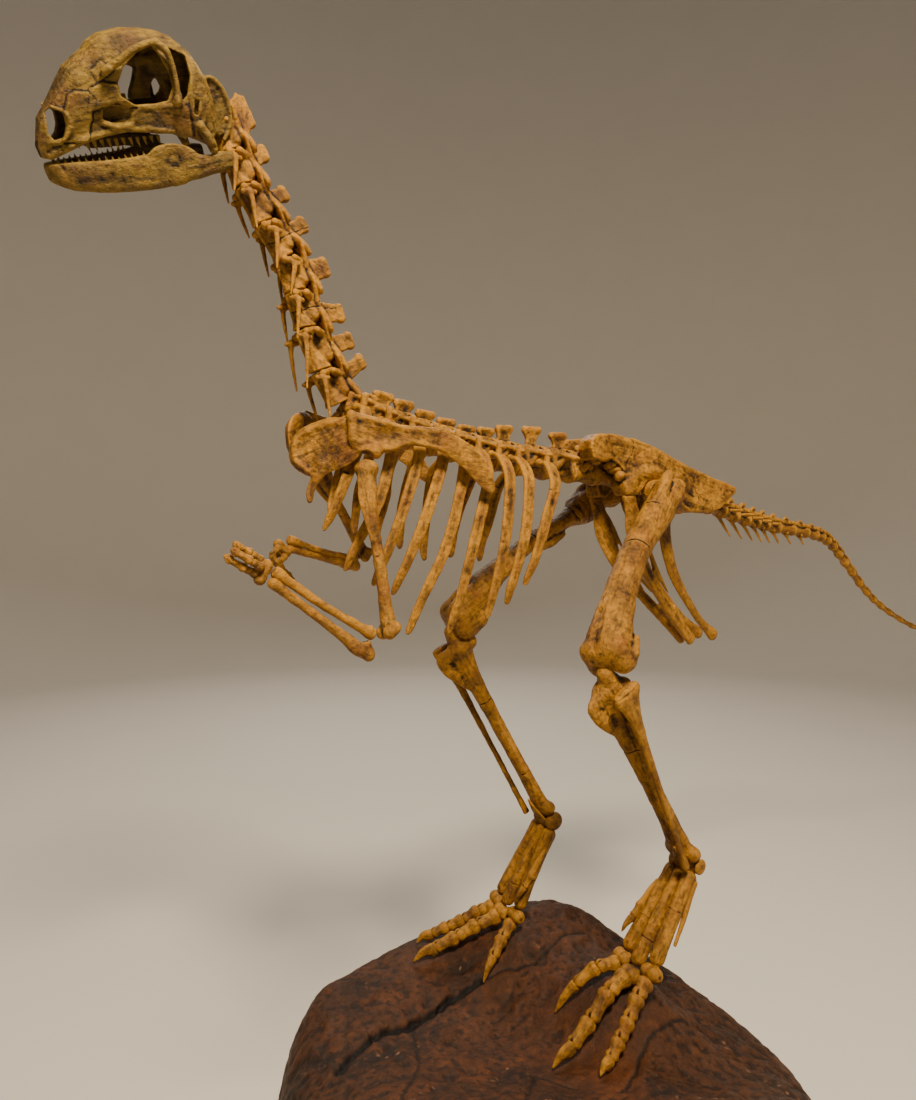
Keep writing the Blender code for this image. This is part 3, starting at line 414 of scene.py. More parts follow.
    def fill(self):
        """The grid of distances over every stroke that adds."""
        margin = MORE_CELLS * self.step
        added = [part for parts, _, carve in self.marks if not carve for part in parts]
        low = np.min([part[0] for part in added], axis=0) - margin
        high = np.max([part[1] for part in added], axis=0) + margin
        shape = np.ceil((high - low) / self.step).astype(int) + 1
        field = np.full(shape, FAR, np.float32)
        for parts, blend, carve in self.marks:
            cells = [((a - low) / self.step, (b - low) / self.step) for a, b, _ in parts]
            corners = np.array([(np.floor(a) - 2, np.ceil(b) + 3) for a, b in cells])
            corners = np.clip(corners, 0, shape).astype(int)
            first, last = corners[:, 0].min(axis=0), corners[:, 1].max(axis=0)
            if (last <= first).any():
                continue
            away = np.full(last - first, FAR, np.float32)
            for (start, end), (_, _, rule) in zip(corners, parts):
                if (end <= start).any():
                    continue
                steps = [low[i] + self.step * np.arange(start[i], end[i]) for i in range(3)]
                steps = [step.astype(np.float32) for step in steps]
                here = tuple(slice(a, b) for a, b in zip(start - first, end - first))
                reach = rule(*np.meshgrid(*steps, indexing="ij", sparse=True))
                away[here] = np.minimum(away[here], reach.astype(np.float32))
            part = tuple(slice(a, b) for a, b in zip(first, last))
            old = -field[part] if carve else field[part]
            mix = np.clip(0.5 + 0.5 * (old - away) / blend, 0, 1)
            new = old * (1 - mix) + away * mix - blend * mix * (1 - mix)
            field[part] = -new if carve else new
        return field, low

    def skin(self, name):
        """The surface where the distance is zero: a point in each cell that it crosses, at the mean
        of the crossings on the cell's edges, and a quad round each grid edge that it crosses."""
        field, low = self.fill()
        field = np.pad(field, 1, constant_values=FAR)
        shape = field.shape
        homes, places, quads, first = [], [], [], 0
        for axis in range(3):
            ahead, behind = [slice(None)] * 3, [slice(None)] * 3
            behind[axis], ahead[axis] = slice(None, -1), slice(1, None)
            a, b = field[tuple(behind)], field[tuple(ahead)]
            where = np.argwhere((a < 0) != (b < 0))
            va, vb = a[tuple(where.T)], b[tuple(where.T)]
            place = where.astype(float)
            place[:, axis] += va / (va - vb)
            u, v = (axis + 1) % 3, (axis + 2) % 3
            for du, dv in ((0, 0), (-1, 0), (-1, -1), (0, -1)):
                cell = where.copy()
                cell[:, u] += du
                cell[:, v] += dv
                homes.append((cell[:, 0] * shape[1] + cell[:, 1]) * shape[2] + cell[:, 2])
                places.append(place)
            quads.append((first, len(where), va < 0))
            first += 4 * len(where)
        _, index = np.unique(np.concatenate(homes), return_inverse=True)
        places = np.concatenate(places)
        number = np.bincount(index)
        points = np.stack([np.bincount(index, places[:, k]) for k in range(3)], 1) / number[:, None]
        faces = []
        for start, size, inside in quads:
            quad = index[start : start + 4 * size].reshape(4, size).T
            faces.append(np.where(inside[:, None], quad, quad[:, ::-1]))
        points = (points - 1) * self.step + low
        return turn_outward(make_mesh(name, points @ self.axes + self.origin, np.concatenate(faces)))


def round_corner(a, b, edge):
    """Distance to where two half spaces meet, with the corner rounded to a radius."""
    a, b = a + edge, b + edge
    outside = np.sqrt(np.maximum(a, 0) ** 2 + np.maximum(b, 0) ** 2)
    return outside + np.minimum(np.maximum(a, b), 0) - edge


def flat_distance(x, z, outline):
    """Signed distance in a plane to an outline: less than zero inside."""
    best = np.full(np.broadcast(x, z).shape, 9.0, np.float32)
    inside = np.zeros(best.shape, bool)
    for (ax, az), (bx, bz) in zip(outline, np.roll(outline, -1, axis=0)):
        rx, rz = bx - ax, bz - az
        part = np.clip(((x - ax) * rx + (z - az) * rz) / (rx * rx + rz * rz), 0, 1)
        best = np.minimum(best, np.hypot(x - ax - part * rx, z - az - part * rz))
        if rz:
            inside ^= ((az > z) != (bz > z)) & (x < ax + rx * (z - az) / rz)
    return np.where(inside, -best, best)


FULL_DEPTH = {3: 0.00035, 12: 0.0011}  # turns of smoothing, and the depth in metres that counts as one


def hollows(obj, points):
    """How far each point lies inside the mean of its neighbours: above zero in a hollow, below on a ridge.

    The mean is taken 3 and 12 times over, so it feels small pits and broad hollows alike.
    """
    mesh = obj.data
    edges = np.empty(len(mesh.edges) * 2, np.int32)
    mesh.edges.foreach_get("vertices", edges)
    a, b = edges.reshape(-1, 2).T
    number = np.maximum(np.bincount(a, minlength=len(points)) + np.bincount(b, minlength=len(points)), 1)
    normals, mean, total = normals_of(obj), points, np.zeros(len(points))
    for turn in range(1, 13):
        there = [np.bincount(a, mean[b, k], len(points)) for k in range(3)]
        back = [np.bincount(b, mean[a, k], len(points)) for k in range(3)]
        sums = [one + other for one, other in zip(there, back)]
        mean = 0.5 * mean + 0.5 * np.stack(sums, 1) / number[:, None]
        if turn in FULL_DEPTH:
            total += np.einsum("ij,ij->i", mean - points, normals) / FULL_DEPTH[turn]
    return np.clip(0.5 * total, -1, 1)


def settle(obj, node, coat, rough=0.0004, patch=0.012, cuts_and_shade=None, depth=0.0008, seed=1):
    """Weathers a piece made in the hip frame, moves it to its place and hands it to the frame.

    Each point moves along its normal by rough * noise, less depth times the crack mask, which is 1 in a crack;
    the same mask also carries painted shade inside the skull and on the jaw's inner faces.
    """
    points, normals = vertices_of(obj), normals_of(obj)
    cut_and_shade = np.zeros(len(points)) if cuts_and_shade is None else cuts_and_shade(points)
    swell = rough * grain(points, patch, 3, seed) - depth * cut_and_shade
    points = points + normals * swell[:, None]
    move_vertices(obj, points)
    hollow = hollows(obj, points)
    move_vertices(obj, points + HIP)
    # In the materials, hollow paints shade into hollows and light onto ridges; the crack mask darkens real
    # cracks and also paints shade inside the skull and on the jaw's inner faces.
    for name, values in (("hollow", hollow), ("crack_and_shade", cut_and_shade)):
        layer = obj.data.attributes.new(name, "FLOAT", "POINT")
        layer.data.foreach_set("value", values.astype(np.float32))
    # The bone's grain: places along its own axes, five times as long along the longest.
    middle = points - points.mean(axis=0)
    _, axes = np.linalg.eigh(middle.T @ middle)
    layer = obj.data.attributes.new("fibre", "FLOAT_VECTOR", "POINT")
    layer.data.foreach_set("vector", (middle @ axes * (1, 1, 0.2)).astype(np.float32).reshape(-1))
    obj.data.shade_smooth()
    obj.data.materials.clear()
    obj.data.materials.append(bpy.data.materials[COATS[coat]])
    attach(obj, "root")
    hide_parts(node)
    return obj


def ring_cracks(origin, axes, rings):
    """Cracks round a shaft. Each is a distance along it, a first and last angle and a width."""

    def cuts_and_shade(points):
        place = (points - origin) @ np.asarray(axes).T
        angle = np.degrees(np.arctan2(place[:, 1], place[:, 0])) % 360
        wander = 0.006 * grain(points, 0.030, 2, 5) + 0.0012 * grain(points, 0.004, 2, 6)
        total = np.zeros(len(points))
        for along, low, high, width in rings:
            inside = np.clip(np.minimum((angle - low) % 360, (high - angle) % 360) / 12, 0, 1)
            within = ((angle - low) % 360 <= (high - low) % 360) * inside
            total = np.maximum(total, within * np.exp(-(((place[:, 2] - along - wander) / width) ** 2)))
        return total

    return cuts_and_shade


# Materials --------------------------------------------------------------------------------------

COATS = {"bone": "Painted cast resin bone", "skull_bone": "Painted cast resin skull",
    "rock": "Painted cast rock"}


def linear(code):
    """Linear colour of an sRGB hex code."""
    parts = [int(code[i : i + 2], 16) / 255 for i in (0, 2, 4)]
    return (*[p / 12.92 if p <= 0.04045 else ((p + 0.055) / 1.055) ** 2.4 for p in parts], 1.0)


def add(tree, kind, settings=None, links=None):
    """Adds a node, sets its properties and sockets, and links its inputs to outputs."""
    node = tree.nodes.new(kind)
    for name, value in (settings or {}).items():
        if isinstance(name, str) and hasattr(node, name):
            setattr(node, name, value)
        else:
            node.inputs[name].default_value = value
    for name, source in (links or {}).items():
        tree.links.new(source, node.inputs[name])
    return node


def resin_bone(name, light, middle, dark, shade_and_stain, warmth):
    """Cast resin bone, painted by hand: ochre, mottled, with painted shade darkening the hollows and painted
    light on the ridges.

    The eye sees a dry, grained skin with a soft gloss on ridges, dark pits that are partly painted shade, and
    fine pores.
    """
    material = bpy.data.materials.new(name)
    material.use_nodes = True
    tree = material.node_tree
    tree.nodes.clear()
    place = add(tree, "ShaderNodeTexCoord").outputs["Object"]
    fibre = add(tree, "ShaderNodeAttribute", {"attribute_name": "fibre"}).outputs["Vector"]
    hollow = add(tree, "ShaderNodeAttribute", {"attribute_name": "hollow"}).outputs["Fac"]
    crack_and_shade = add(tree, "ShaderNodeAttribute", {"attribute_name": "crack_and_shade"}).outputs["Fac"]
    # Blotches of hand-laid wash are 35 mm across, sponge marks 8 mm, the grain 4 mm by 20 mm. Pores,
    # 0.3 mm on real bone, are drawn at 1.6 mm so that they show.
    broad = add(tree, "ShaderNodeTexNoise", {"Scale": 28.0, "Detail": 5.0, "Roughness": 0.6},
        {"Vector": place})
    sponge = add(tree, "ShaderNodeTexNoise", {"Scale": 120.0, "Detail": 6.0, "Roughness": 0.68},
        {"Vector": place})
    streak = add(tree, "ShaderNodeTexNoise", {"Scale": 240.0, "Detail": 4.0, "Roughness": 0.6},
        {"Vector": fibre})
    pores = add(tree, "ShaderNodeTexNoise", {"Scale": 620.0, "Detail": 3.0, "Roughness": 0.6},
        {"Vector": place})
    edged = add(tree, "ShaderNodeMath", {"operation": "MULTIPLY_ADD", 1: 0.9, 2: -0.45},
        {0: broad.outputs["Fac"]})
    # The hollow measure plus broad blotches: its hollow share is painted shade, its blotch share is random
    # wash.
    depth = add(tree, "ShaderNodeMath", {"operation": "ADD"}, {0: hollow, 1: edged.outputs[0]})
    paint = light
    for source, low, high, most, colour in (
        (broad.outputs["Fac"], 0.40, 0.62, 1.00, middle),
        (sponge.outputs["Fac"], 0.46, 0.80, 0.90, dark),
        (streak.outputs["Fac"], 0.47, 0.72, 0.85, dark),
        (broad.outputs["Color"], 0.50, 0.68, 0.35, warmth),
        # Ridges go back to the pale base colour: painted light on the ridges.
        (hollow, -0.15, -0.70, 0.70, light),
        # Hollows, small pits and broad ones alike, darken to the stain colour: painted shade, mixed with random
        # blotches.
        (depth.outputs[0], -0.04, 0.42, 0.97, shade_and_stain),
        # The crack mask darkens real cracks, and paints shade inside the skull, behind the upper teeth and on
        # the jaw's inner faces.
        (crack_and_shade, 0.15, 0.85, 0.80, shade_and_stain),
    ):
        share = add(tree, "ShaderNodeMapRange", {"From Min": low, "From Max": high, "To Max": most},
            {0: source})
        mixed = add(tree, "ShaderNodeMix", {"data_type": "RGBA", 7: colour}, {0: share.outputs[0]})
        if paint is light:
            mixed.inputs[6].default_value = light
        else:
            tree.links.new(paint, mixed.inputs[6])
        paint = mixed.outputs[2]
    gloss = add(tree, "ShaderNodeMapRange", {"From Min": 0.3, "From Max": 0.75, "To Min": 0.42,
        "To Max": 0.70}, {0: sponge.outputs["Fac"]})
    grained = add(tree, "ShaderNodeBump", {"Strength": 1.0, "Distance": 0.0016},
        {"Height": streak.outputs["Fac"]})
    rough = add(tree, "ShaderNodeBump", {"Strength": 0.9, "Distance": 0.0040},
        {"Height": sponge.outputs["Fac"], "Normal": grained.outputs["Normal"]})
    fine = add(tree, "ShaderNodeBump", {"Strength": 0.35, "Distance": 0.0005},
        {"Height": pores.outputs["Fac"], "Normal": rough.outputs["Normal"]})
    skin = add(tree, "ShaderNodeBsdfPrincipled", {"Specular IOR Level": 0.25, "Metallic": 0.0},
        {"Base Color": paint, "Roughness": gloss.outputs[0], "Normal": fine.outputs["Normal"]})
    add(tree, "ShaderNodeOutputMaterial", {}, {"Surface": skin.outputs["BSDF"]})
    return material


def cast_rock(name, body, dark, rust):
    """Glass-fibre rock, painted and part dusted with sand: red brown with rusty patches, and painted shade in
    its hollows.

    The eye sees a rough, uneven, slightly waxy skin with dark seams and a few bright grains.
    """
    material = bpy.data.materials.new(name)
    material.use_nodes = True
    tree = material.node_tree
    tree.nodes.clear()
    place = add(tree, "ShaderNodeTexCoord").outputs["Object"]
    hollow = add(tree, "ShaderNodeAttribute", {"attribute_name": "hollow"}).outputs["Fac"]
    crack_and_shade = add(tree, "ShaderNodeAttribute", {"attribute_name": "crack_and_shade"}).outputs["Fac"]
    tilted = add(tree, "ShaderNodeMapping", {"Scale": (1.0, 1.0, 0.35), "Rotation": (0.2, 0.5, 0.0)},
        {"Vector": place})
    # Paint patches are 120 mm across, brush marks 15 mm by 40 mm, mottles 12 mm. Sand grains, 0.5 mm,
    # are drawn at 2.5 mm so that they show.
    patch = add(tree, "ShaderNodeTexNoise", {"Scale": 8.0, "Detail": 6.0, "Roughness": 0.6},
        {"Vector": place})
    brush = add(tree, "ShaderNodeTexNoise", {"Scale": 66.0, "Detail": 5.0, "Roughness": 0.65},
        {"Vector": tilted.outputs[0]})
    mottle = add(tree, "ShaderNodeTexNoise", {"Scale": 85.0, "Detail": 8.0, "Roughness": 0.75},
        {"Vector": place})
    sand = add(tree, "ShaderNodeTexNoise", {"Scale": 400.0, "Detail": 4.0, "Roughness": 0.7},
        {"Vector": place})
    grains = add(tree, "ShaderNodeTexVoronoi", {"Scale": 210.0}, {"Vector": place})
    bright = add(tree, "ShaderNodeMath", {"operation": "MULTIPLY"},
        {0: grains.outputs["Color"], 1: patch.outputs["Fac"]})
    paint = None
    for source, low, high, most, colour in (
        (patch.outputs["Fac"], 0.44, 0.60, 0.85, dark),
        (brush.outputs["Fac"], 0.48, 0.76, 0.55, rust),
        (mottle.outputs["Fac"], 0.52, 0.72, 0.60, dark),
        (patch.outputs["Color"], 0.50, 0.66, 0.50, rust),
        # Painted shade: the rock's hollows darken towards the dark paint.
        (hollow, 0.10, 0.70, 0.75, dark),
        (bright.outputs[0], 0.50, 0.58, 0.55, linear("A87B5C")),
        (crack_and_shade, 0.10, 0.70, 0.97, linear("0C0604")),
    ):
        share = add(tree, "ShaderNodeMapRange", {"From Min": low, "From Max": high, "To Max": most},
            {0: source})
        mixed = add(tree, "ShaderNodeMix", {"data_type": "RGBA", 6: body, 7: colour}, {0: share.outputs[0]})
        if paint is not None:
            tree.links.new(paint, mixed.inputs[6])
        paint = mixed.outputs[2]
    gloss = add(tree, "ShaderNodeMapRange", {"From Min": 0.35, "From Max": 0.7, "To Min": 0.40,
        "To Max": 0.78}, {0: mottle.outputs["Fac"]})
    low = add(tree, "ShaderNodeBump", {"Strength": 0.7, "Distance": 0.005},
        {"Height": mottle.outputs["Fac"]})
    streaks = add(tree, "ShaderNodeBump", {"Strength": 0.5, "Distance": 0.004},
        {"Height": brush.outputs["Fac"], "Normal": low.outputs["Normal"]})
    fine = add(tree, "ShaderNodeBump", {"Strength": 0.5, "Distance": 0.0012},
        {"Height": sand.outputs["Fac"], "Normal": streaks.outputs["Normal"]})
    skin = add(tree, "ShaderNodeBsdfPrincipled", {"Specular IOR Level": 0.3, "Metallic": 0.0},
        {"Base Color": paint, "Roughness": gloss.outputs[0], "Normal": fine.outputs["Normal"]})
    add(tree, "ShaderNodeOutputMaterial", {}, {"Surface": skin.outputs["BSDF"]})
    return material


def studio_paper(name, colour):
    """Matt paper sweep: one pale tone with no gloss and a faint fibre mottle."""
    material = bpy.data.materials.new(name)
    material.use_nodes = True
    tree = material.node_tree
    skin = tree.nodes["Principled BSDF"]
    skin.inputs["Roughness"].default_value = 0.9
    skin.inputs["Specular IOR Level"].default_value = 0.2
    place = add(tree, "ShaderNodeTexCoord").outputs["Object"]
    fibre = add(tree, "ShaderNodeTexNoise", {"Scale": 3.0, "Detail": 5.0}, {"Vector": place})
    share = add(tree, "ShaderNodeMapRange", {"To Max": 0.08}, {0: fibre.outputs["Fac"]})
    tone = add(tree, "ShaderNodeMix", {"data_type": "RGBA", 6: colour, 7: linear("8F8A82")},
        {0: share.outputs[0]})
    tree.links.new(tone.outputs[2], skin.inputs["Base Color"])
    return material


# The head ---------------------------------------------------------------------------------------

# The skull from the snout back, in the head frame: x, crown, lower edge, half width.
SKULL_SECTIONS = (
    (0.1915, 0.018, 0.004, 0.007), (0.180, 0.040, 0.005, 0.0125), (0.168, 0.049, 0.008, 0.0165),
    (0.150, 0.065, 0.012, 0.0210), (0.136, 0.077, 0.015, 0.0240), (0.120, 0.084, 0.017, 0.0270),
    (0.112, 0.087, 0.017, 0.0285), (0.104, 0.093, 0.016, 0.0305), (0.091, 0.097, 0.012, 0.0330),
    (0.068, 0.098, 0.005, 0.0370), (0.050, 0.095, -0.002, 0.0400), (0.036, 0.091, -0.010, 0.0410),
    (0.024, 0.085, -0.018, 0.0400), (0.010, 0.071, -0.010, 0.0350), (0.002, 0.056, 0.004, 0.0280),
)
# How far out the section reaches at growing angles from straight down to straight up.
SKULL_ROUND = ((-90, 1.0), (-66, 1.10), (-48, 1.30), (-32, 1.10), (0, 1.0), (33, 1.02), (62, 1.06),
    (90, 1.0))
ORBIT = ((0.072, 0.076), (0.088, 0.068), (0.099, 0.055), (0.100, 0.045), (0.089, 0.035), (0.070, 0.033),
    (0.056, 0.033), (0.047, 0.044), (0.0455, 0.056), (0.049, 0.072), (0.052, 0.082), (0.062, 0.082))
TEMPLE = ((0.035, 0.076), (0.020, 0.067), (0.024, 0.050), (0.034, 0.034), (0.041, 0.030), (0.040, 0.045),
    (0.0375, 0.060))
NOSTRIL = ((0.172, 0.043), (0.166, 0.046), (0.158, 0.042), (0.160, 0.030), (0.166, 0.020), (0.175, 0.019),
    (0.178, 0.026))
SKULL_PLATES = ((0.0022, 0.0009, ((0.148, 0.053), (0.141, 0.0565), (0.129, 0.054), (0.1255, 0.047),
    (0.146, 0.0115), (0.171, 0.017), (0.165, 0.030))),
    (0.0022, 0.0009, ((0.1265, 0.0555), (0.113, 0.059), (0.099, 0.0555), (0.0865, 0.033), (0.096, 0.0345),
    (0.106, 0.0405), (0.119, 0.0395), (0.136, 0.0365))),
    (0.0018, 0.0022, ((0.099, 0.030), (0.086, 0.034), (0.070, 0.031), (0.055, 0.030), (0.046, 0.036),
    (0.038, 0.020), (0.041, -0.018), (0.046, -0.003), (0.057, 0.003), (0.084, 0.012), (0.097, 0.022))),
    (0.0016, 0.0022, ((0.021, 0.074), (0.008, 0.055), (0.015, -0.016), (0.040, -0.017), (0.036, 0.017),
    (0.028, 0.050))), (0.0012, 0.0012, ((0.118, 0.0700), (0.106, 0.0760), (0.100, 0.0680),
    (0.116, 0.0600))),)
CHEEK_PIT = ((0.121, 0.0365), (0.113, 0.0385), (0.102, 0.0355), (0.0955, 0.0325), (0.0975, 0.0255),
    (0.105, 0.0225), (0.116, 0.0235), (0.1235, 0.0285))
# Inside: the wall between the eyes, and the shelf that hangs behind the upper teeth.
SKULL_SEPTUM = ((0.0596, 0.0749), (0.0428, 0.0821), (0.0300, 0.0790), (0.0258, 0.0604), (0.0367, 0.0262),
    (0.0422, 0.0289), (0.0465, 0.0503), (0.0510, 0.0506), (0.0581, 0.0443), (0.0604, 0.0343),
    (0.0834, 0.0375), (0.0798, 0.0448), (0.0720, 0.0548))
TEMPLE_WALL = ((0.0360, 0.0290), (0.0330, 0.0740), (0.0130, 0.0680), (0.0050, 0.0550), (0.0100, 0.0350),
    (0.0260, 0.0260))
MOUTH_SHELF = ((0.1424, 0.0190), (0.0676, 0.0020), (0.0721, -0.0138), (0.0927, -0.0066), (0.1076, -0.0014),
    (0.1261, 0.0009), (0.1477, 0.0045))
JAW_SECTIONS = (
    (0.006, 0.040, -0.0270, -0.044, 0.0050), (0.016, 0.0395, -0.0245, -0.045, 0.0052),
    (0.030, 0.0385, -0.0250, -0.045, 0.0048), (0.045, 0.038, -0.0205, -0.0460, 0.0042),
    (0.060, 0.0375, -0.0090, -0.0470, 0.0040), (0.078, 0.036, -0.0050, -0.0465, 0.0042),
    (0.095, 0.033, -0.0105, -0.0450, 0.0045), (0.125, 0.027, -0.0095, -0.0410, 0.0048),
    (0.150, 0.021, -0.0065, -0.0360, 0.0050), (0.172, 0.0135, -0.0035, -0.0295, 0.0052),
    (0.184, 0.0075, -0.0020, -0.0225, 0.0052), (0.1885, 0.000, -0.0010, -0.0185, 0.0048),
)


def head_axes():
    """The head frame's three axes in the hip frame: forward, left and up."""
    ahead = np.array((-math.cos(HEAD_YAW), -math.sin(HEAD_YAW), 0.0))
    left = np.array((math.sin(HEAD_YAW), -math.cos(HEAD_YAW), 0.0))
    roll, pitch = HEAD_ROLL, HEAD_PITCH
    left, up = left * math.cos(roll) - UP * math.sin(roll), UP * math.cos(roll) + left * math.sin(roll)
    forward = ahead * math.cos(pitch) + up * math.sin(pitch)
    return np.array((forward, left, up * math.cos(pitch) - ahead * math.sin(pitch)))


HEAD_AXES = head_axes()


def skull_wall(step, thick):
    """A shell whose sections follow SKULL_SECTIONS.

    With R the place's reach from the section's middle over the section's own reach at that angle,
    the distance is (R - 1) / |slope of R|. The shell is |distance + thick / 2| - thick / 2.
    """
    table = np.array(SKULL_SECTIONS)[::-1]
    turns = np.array(SKULL_ROUND, float)

    def rule(x, y, z):
        top, low, wide = (np.interp(x, table[:, 0], table[:, k]) for k in (1, 2, 3))
        u, v = np.abs(y) / wide, (z - (top + low) / 2) / ((top - low) / 2)
        reach = np.interp(np.degrees(np.arctan2(v, u)), turns[:, 0], turns[:, 1])
        ratio = np.sqrt(u * u + v * v) / reach
        slope = np.sqrt(sum(g * g for g in np.gradient(ratio, step)))
        away = np.maximum((ratio - 1) / (slope + 1e-3), np.maximum(x - 0.1915, 0.002 - x))
        return np.abs(away + thick / 2) - thick / 2

    return rule


def skull(looks):
    """The skull: a thin shell with windows and raised plates, brow rods, bars, palate and brain case."""
    clay = Clay(0.00130, HEAD_PLACE, HEAD_AXES)
    shell = skull_wall(clay.step, 0.0042)
    clay.mark([((-0.001, -0.050, -0.028), (0.194, 0.050, 0.104), shell)], 0.001)
    under = ((0.176, 0, 0.004, 0.006), (0.150, 0, 0.008, 0.013), (0.110, 0, 0.010, 0.020),
        (0.070, 0, 0.002, 0.026), (0.030, 0, -0.008, 0.030), (0.004, 0, -0.004, 0.027))
    clay.path(under, carve=True)
    clay.ball((-0.003, 0, 0.036), (0.016, 0.026, 0.034), 0.003, True)
    for window, inner in ((ORBIT, 0.010), (TEMPLE, 0.012), (NOSTRIL, 0.0025), (CHEEK_PIT, 0.018)):
        clay.slab(window, inner, 0.06, 0.001, 0.0016, True, pair=1)
    floor = ((0.128, 0.016), (0.128, 0.046), (0.090, 0.046), (0.090, 0.016))
    clay.slab(floor, 0.0145, 0.0165, 0.0006, 0.001, pair=1)
    slot = ((0.028, 0.029), (0.023, 0.027), (0.029, 0.014), (0.033, 0.016))
    clay.slab(slot, 0.030, 0.06, 0.0008, 0.001, True, pair=1)
    rod = ((0.108, 0.0315, 0.068, 0.0042), (0.092, 0.037, 0.0745, 0.0036), (0.077, 0.0405, 0.081, 0.0034),
           (0.060, 0.0393, 0.084, 0.0031), (0.048, 0.0350, 0.0842, 0.0028))
    clay.path(rod, blend=0.0015, pair=1)
    cleft = ((0.098, 0.033, 0.0765, 0.0016), (0.074, 0.036, 0.0870, 0.0022), (0.053, 0.036, 0.0935, 0.0016))
    clay.path(cleft, blend=0.001, carve=True, pair=1)
    bar = ((0.050, 0.038, 0.0828, 0.0044), (0.0425, 0.0415, 0.074, 0.0036), (0.042, 0.0425, 0.056, 0.0028),
           (0.0445, 0.0425, 0.040, 0.0030), (0.048, 0.0410, 0.030, 0.0040))
    clay.path(bar, blend=0.002, pair=1)
    lip = ((0.1240, 0.0262, 0.0240, 0.0010), (0.1160, 0.0282, 0.0204, 0.0018),
           (0.1060, 0.0302, 0.0192, 0.0016),
           (0.0980, 0.0305, 0.0200, 0.0008))
    clay.path(lip, blend=0.006, pair=1)
    nose = ((0.181, 0.0105, 0.0175, 0.0018), (0.170, 0.0155, 0.0165, 0.0020), (0.158, 0.0185, 0.027, 0.0018),
            (0.156, 0.0185, 0.040, 0.0018), (0.166, 0.0160, 0.0475, 0.0018))
    clay.path(nose, blend=0.0014, pair=1)
    tooth_row = ((0.184, 0.0085, 0.0055, 0.0028), (0.165, 0.0150, 0.0100, 0.0030),
        (0.140, 0.0215, 0.0150, 0.0030), (0.105, 0.0275, 0.0155, 0.0030), (0.075, 0.0330, 0.0080, 0.0026),
        (0.060, 0.0350, 0.0040, 0.0014))
    clay.path(tooth_row, blend=0.0045, pair=1)
    joint = ((0.030, 0.0385, 0.004, 0.0050), (0.024, 0.0395, -0.012, 0.0054),
        (0.022, 0.0390, -0.021, 0.0050))
    clay.path(joint, blend=0.003, pair=1)
    # The wing behind the jaw joint: a thin plate with a raised rim.
    wing = ((0.012, 0.038), (-0.004, 0.041), (-0.013, 0.031), (-0.0165, 0.015), (-0.014, 0.001),
            (-0.007, -0.010),
            (0.004, -0.014), (0.014, 0.000))
    clay.slab(wing, 0.0178, 0.0222, 0.0012, 0.002, pair=1)
    rim = ((0.008, 0.0220, 0.041, 0.0022), (-0.004, 0.0220, 0.043, 0.0021), (-0.0135, 0.0225, 0.033, 0.0019),
           (-0.0175, 0.0225, 0.016, 0.0018), (-0.0150, 0.0230, 0.001, 0.0018),
           (-0.0080, 0.0235, -0.011, 0.0020),
           (0.0000, 0.0240, -0.017, 0.0022))
    clay.path(rim, blend=0.004, pair=1)
    clay.stroke((0.014, 0.022, 0.034), (0.020, 0.034, 0.030), 0.0040, 0.0046, blend=0.003, pair=1)
    # Roof details: a nasal seam and a step where the snout meets the brow.
    clay.stroke((0.176, 0, 0.0475), (0.118, 0, 0.0870), 0.0007, blend=0.001, carve=True)
    clay.stroke((0.100, 0, 0.0985), (0.020, 0, 0.0850), 0.0007, blend=0.001, carve=True)
    clay.path(((0.170, 0.006, 0.0500, 0.0007), (0.140, 0.010, 0.0735, 0.0008),
        (0.116, 0.012, 0.0850, 0.0008)), blend=0.001, carve=True, pair=1)
    # Inside: palate, brain case, the rods between them and the ball that meets the neck.
    clay.path(((0.160, 0.007, 0.018, 0.005, 0.0018), (0.110, 0.012, 0.022, 0.009, 0.0018),
        (0.060, 0.016, 0.016, 0.009, 0.0018), (0.030, 0.026, 0.000, 0.006, 0.0018)), flat=(0, 0, 1), pair=1)
    clay.path(((0.070, 0, 0.070, 0.005), (0.050, 0, 0.064, 0.010), (0.028, 0, 0.052, 0.0125),
        (0.016, 0, 0.036, 0.011)), blend=0.004)
    clay.stroke((0.030, 0.010, 0.030), (0.062, 0.014, 0.020), 0.0030, pair=1, blend=0.003)
    clay.slab(TEMPLE_WALL, 0.0080, 0.0120, 0.0020, 0.003, pair=1)
    clay.slab(SKULL_SEPTUM, -0.0060, 0.0060, 0.0025, 0.003)
    clay.slab(MOUTH_SHELF, 0.0105, 0.0125, 0.0008, 0.001, pair=1)
    clay.stroke((0.018, 0.008, 0.040), (0.014, 0.022, 0.036), 0.0060, 0.0040, pair=1, blend=0.003)
    clay.stroke((0.022, 0, 0.018), (0.012, 0, 0.026), 0.0090, blend=0.003)
    clay.ball((0.0055, 0, 0.014), 0.0065, 0.002)
    clay.ball((0.008, 0, 0.032), (0.009, 0.0065, 0.0060), 0.001, True)
    obj = clay.skin("Skull")
    points, normals = vertices_of(obj), normals_of(obj)
    place = (points - HEAD_PLACE) @ HEAD_AXES.T
    side = np.sign(place[:, 1])
    facing = np.einsum("ij,ij->i", normals, side[:, None] * HEAD_AXES[1])
    table = np.array(SKULL_SECTIONS)[::-1]
    outer = np.abs(place[:, 1]) > np.interp(place[:, 0], table[:, 0], table[:, 3]) * 0.55
    outer = outer * np.clip(facing * 2.5, 0, 1)
    rise, seam = np.zeros(len(points)), np.zeros(len(points))
    drift = 0.0007 * grain(place, 0.005, 2, 5)
    for height, soft, outline in SKULL_PLATES:
        away = flat_distance(place[:, 0] + drift, place[:, 2] + drift, outline)
        rise = np.maximum(rise, height * np.clip(0.5 - away / (2 * soft), 0, 1))
        seam = np.maximum(seam, np.exp(-(((away - soft) / 0.0008) ** 2)) * (0.0010 / soft))
    dents = 0.0007 * np.clip(grain(place, 0.0045, 2, 9) - 0.10, 0, 1)
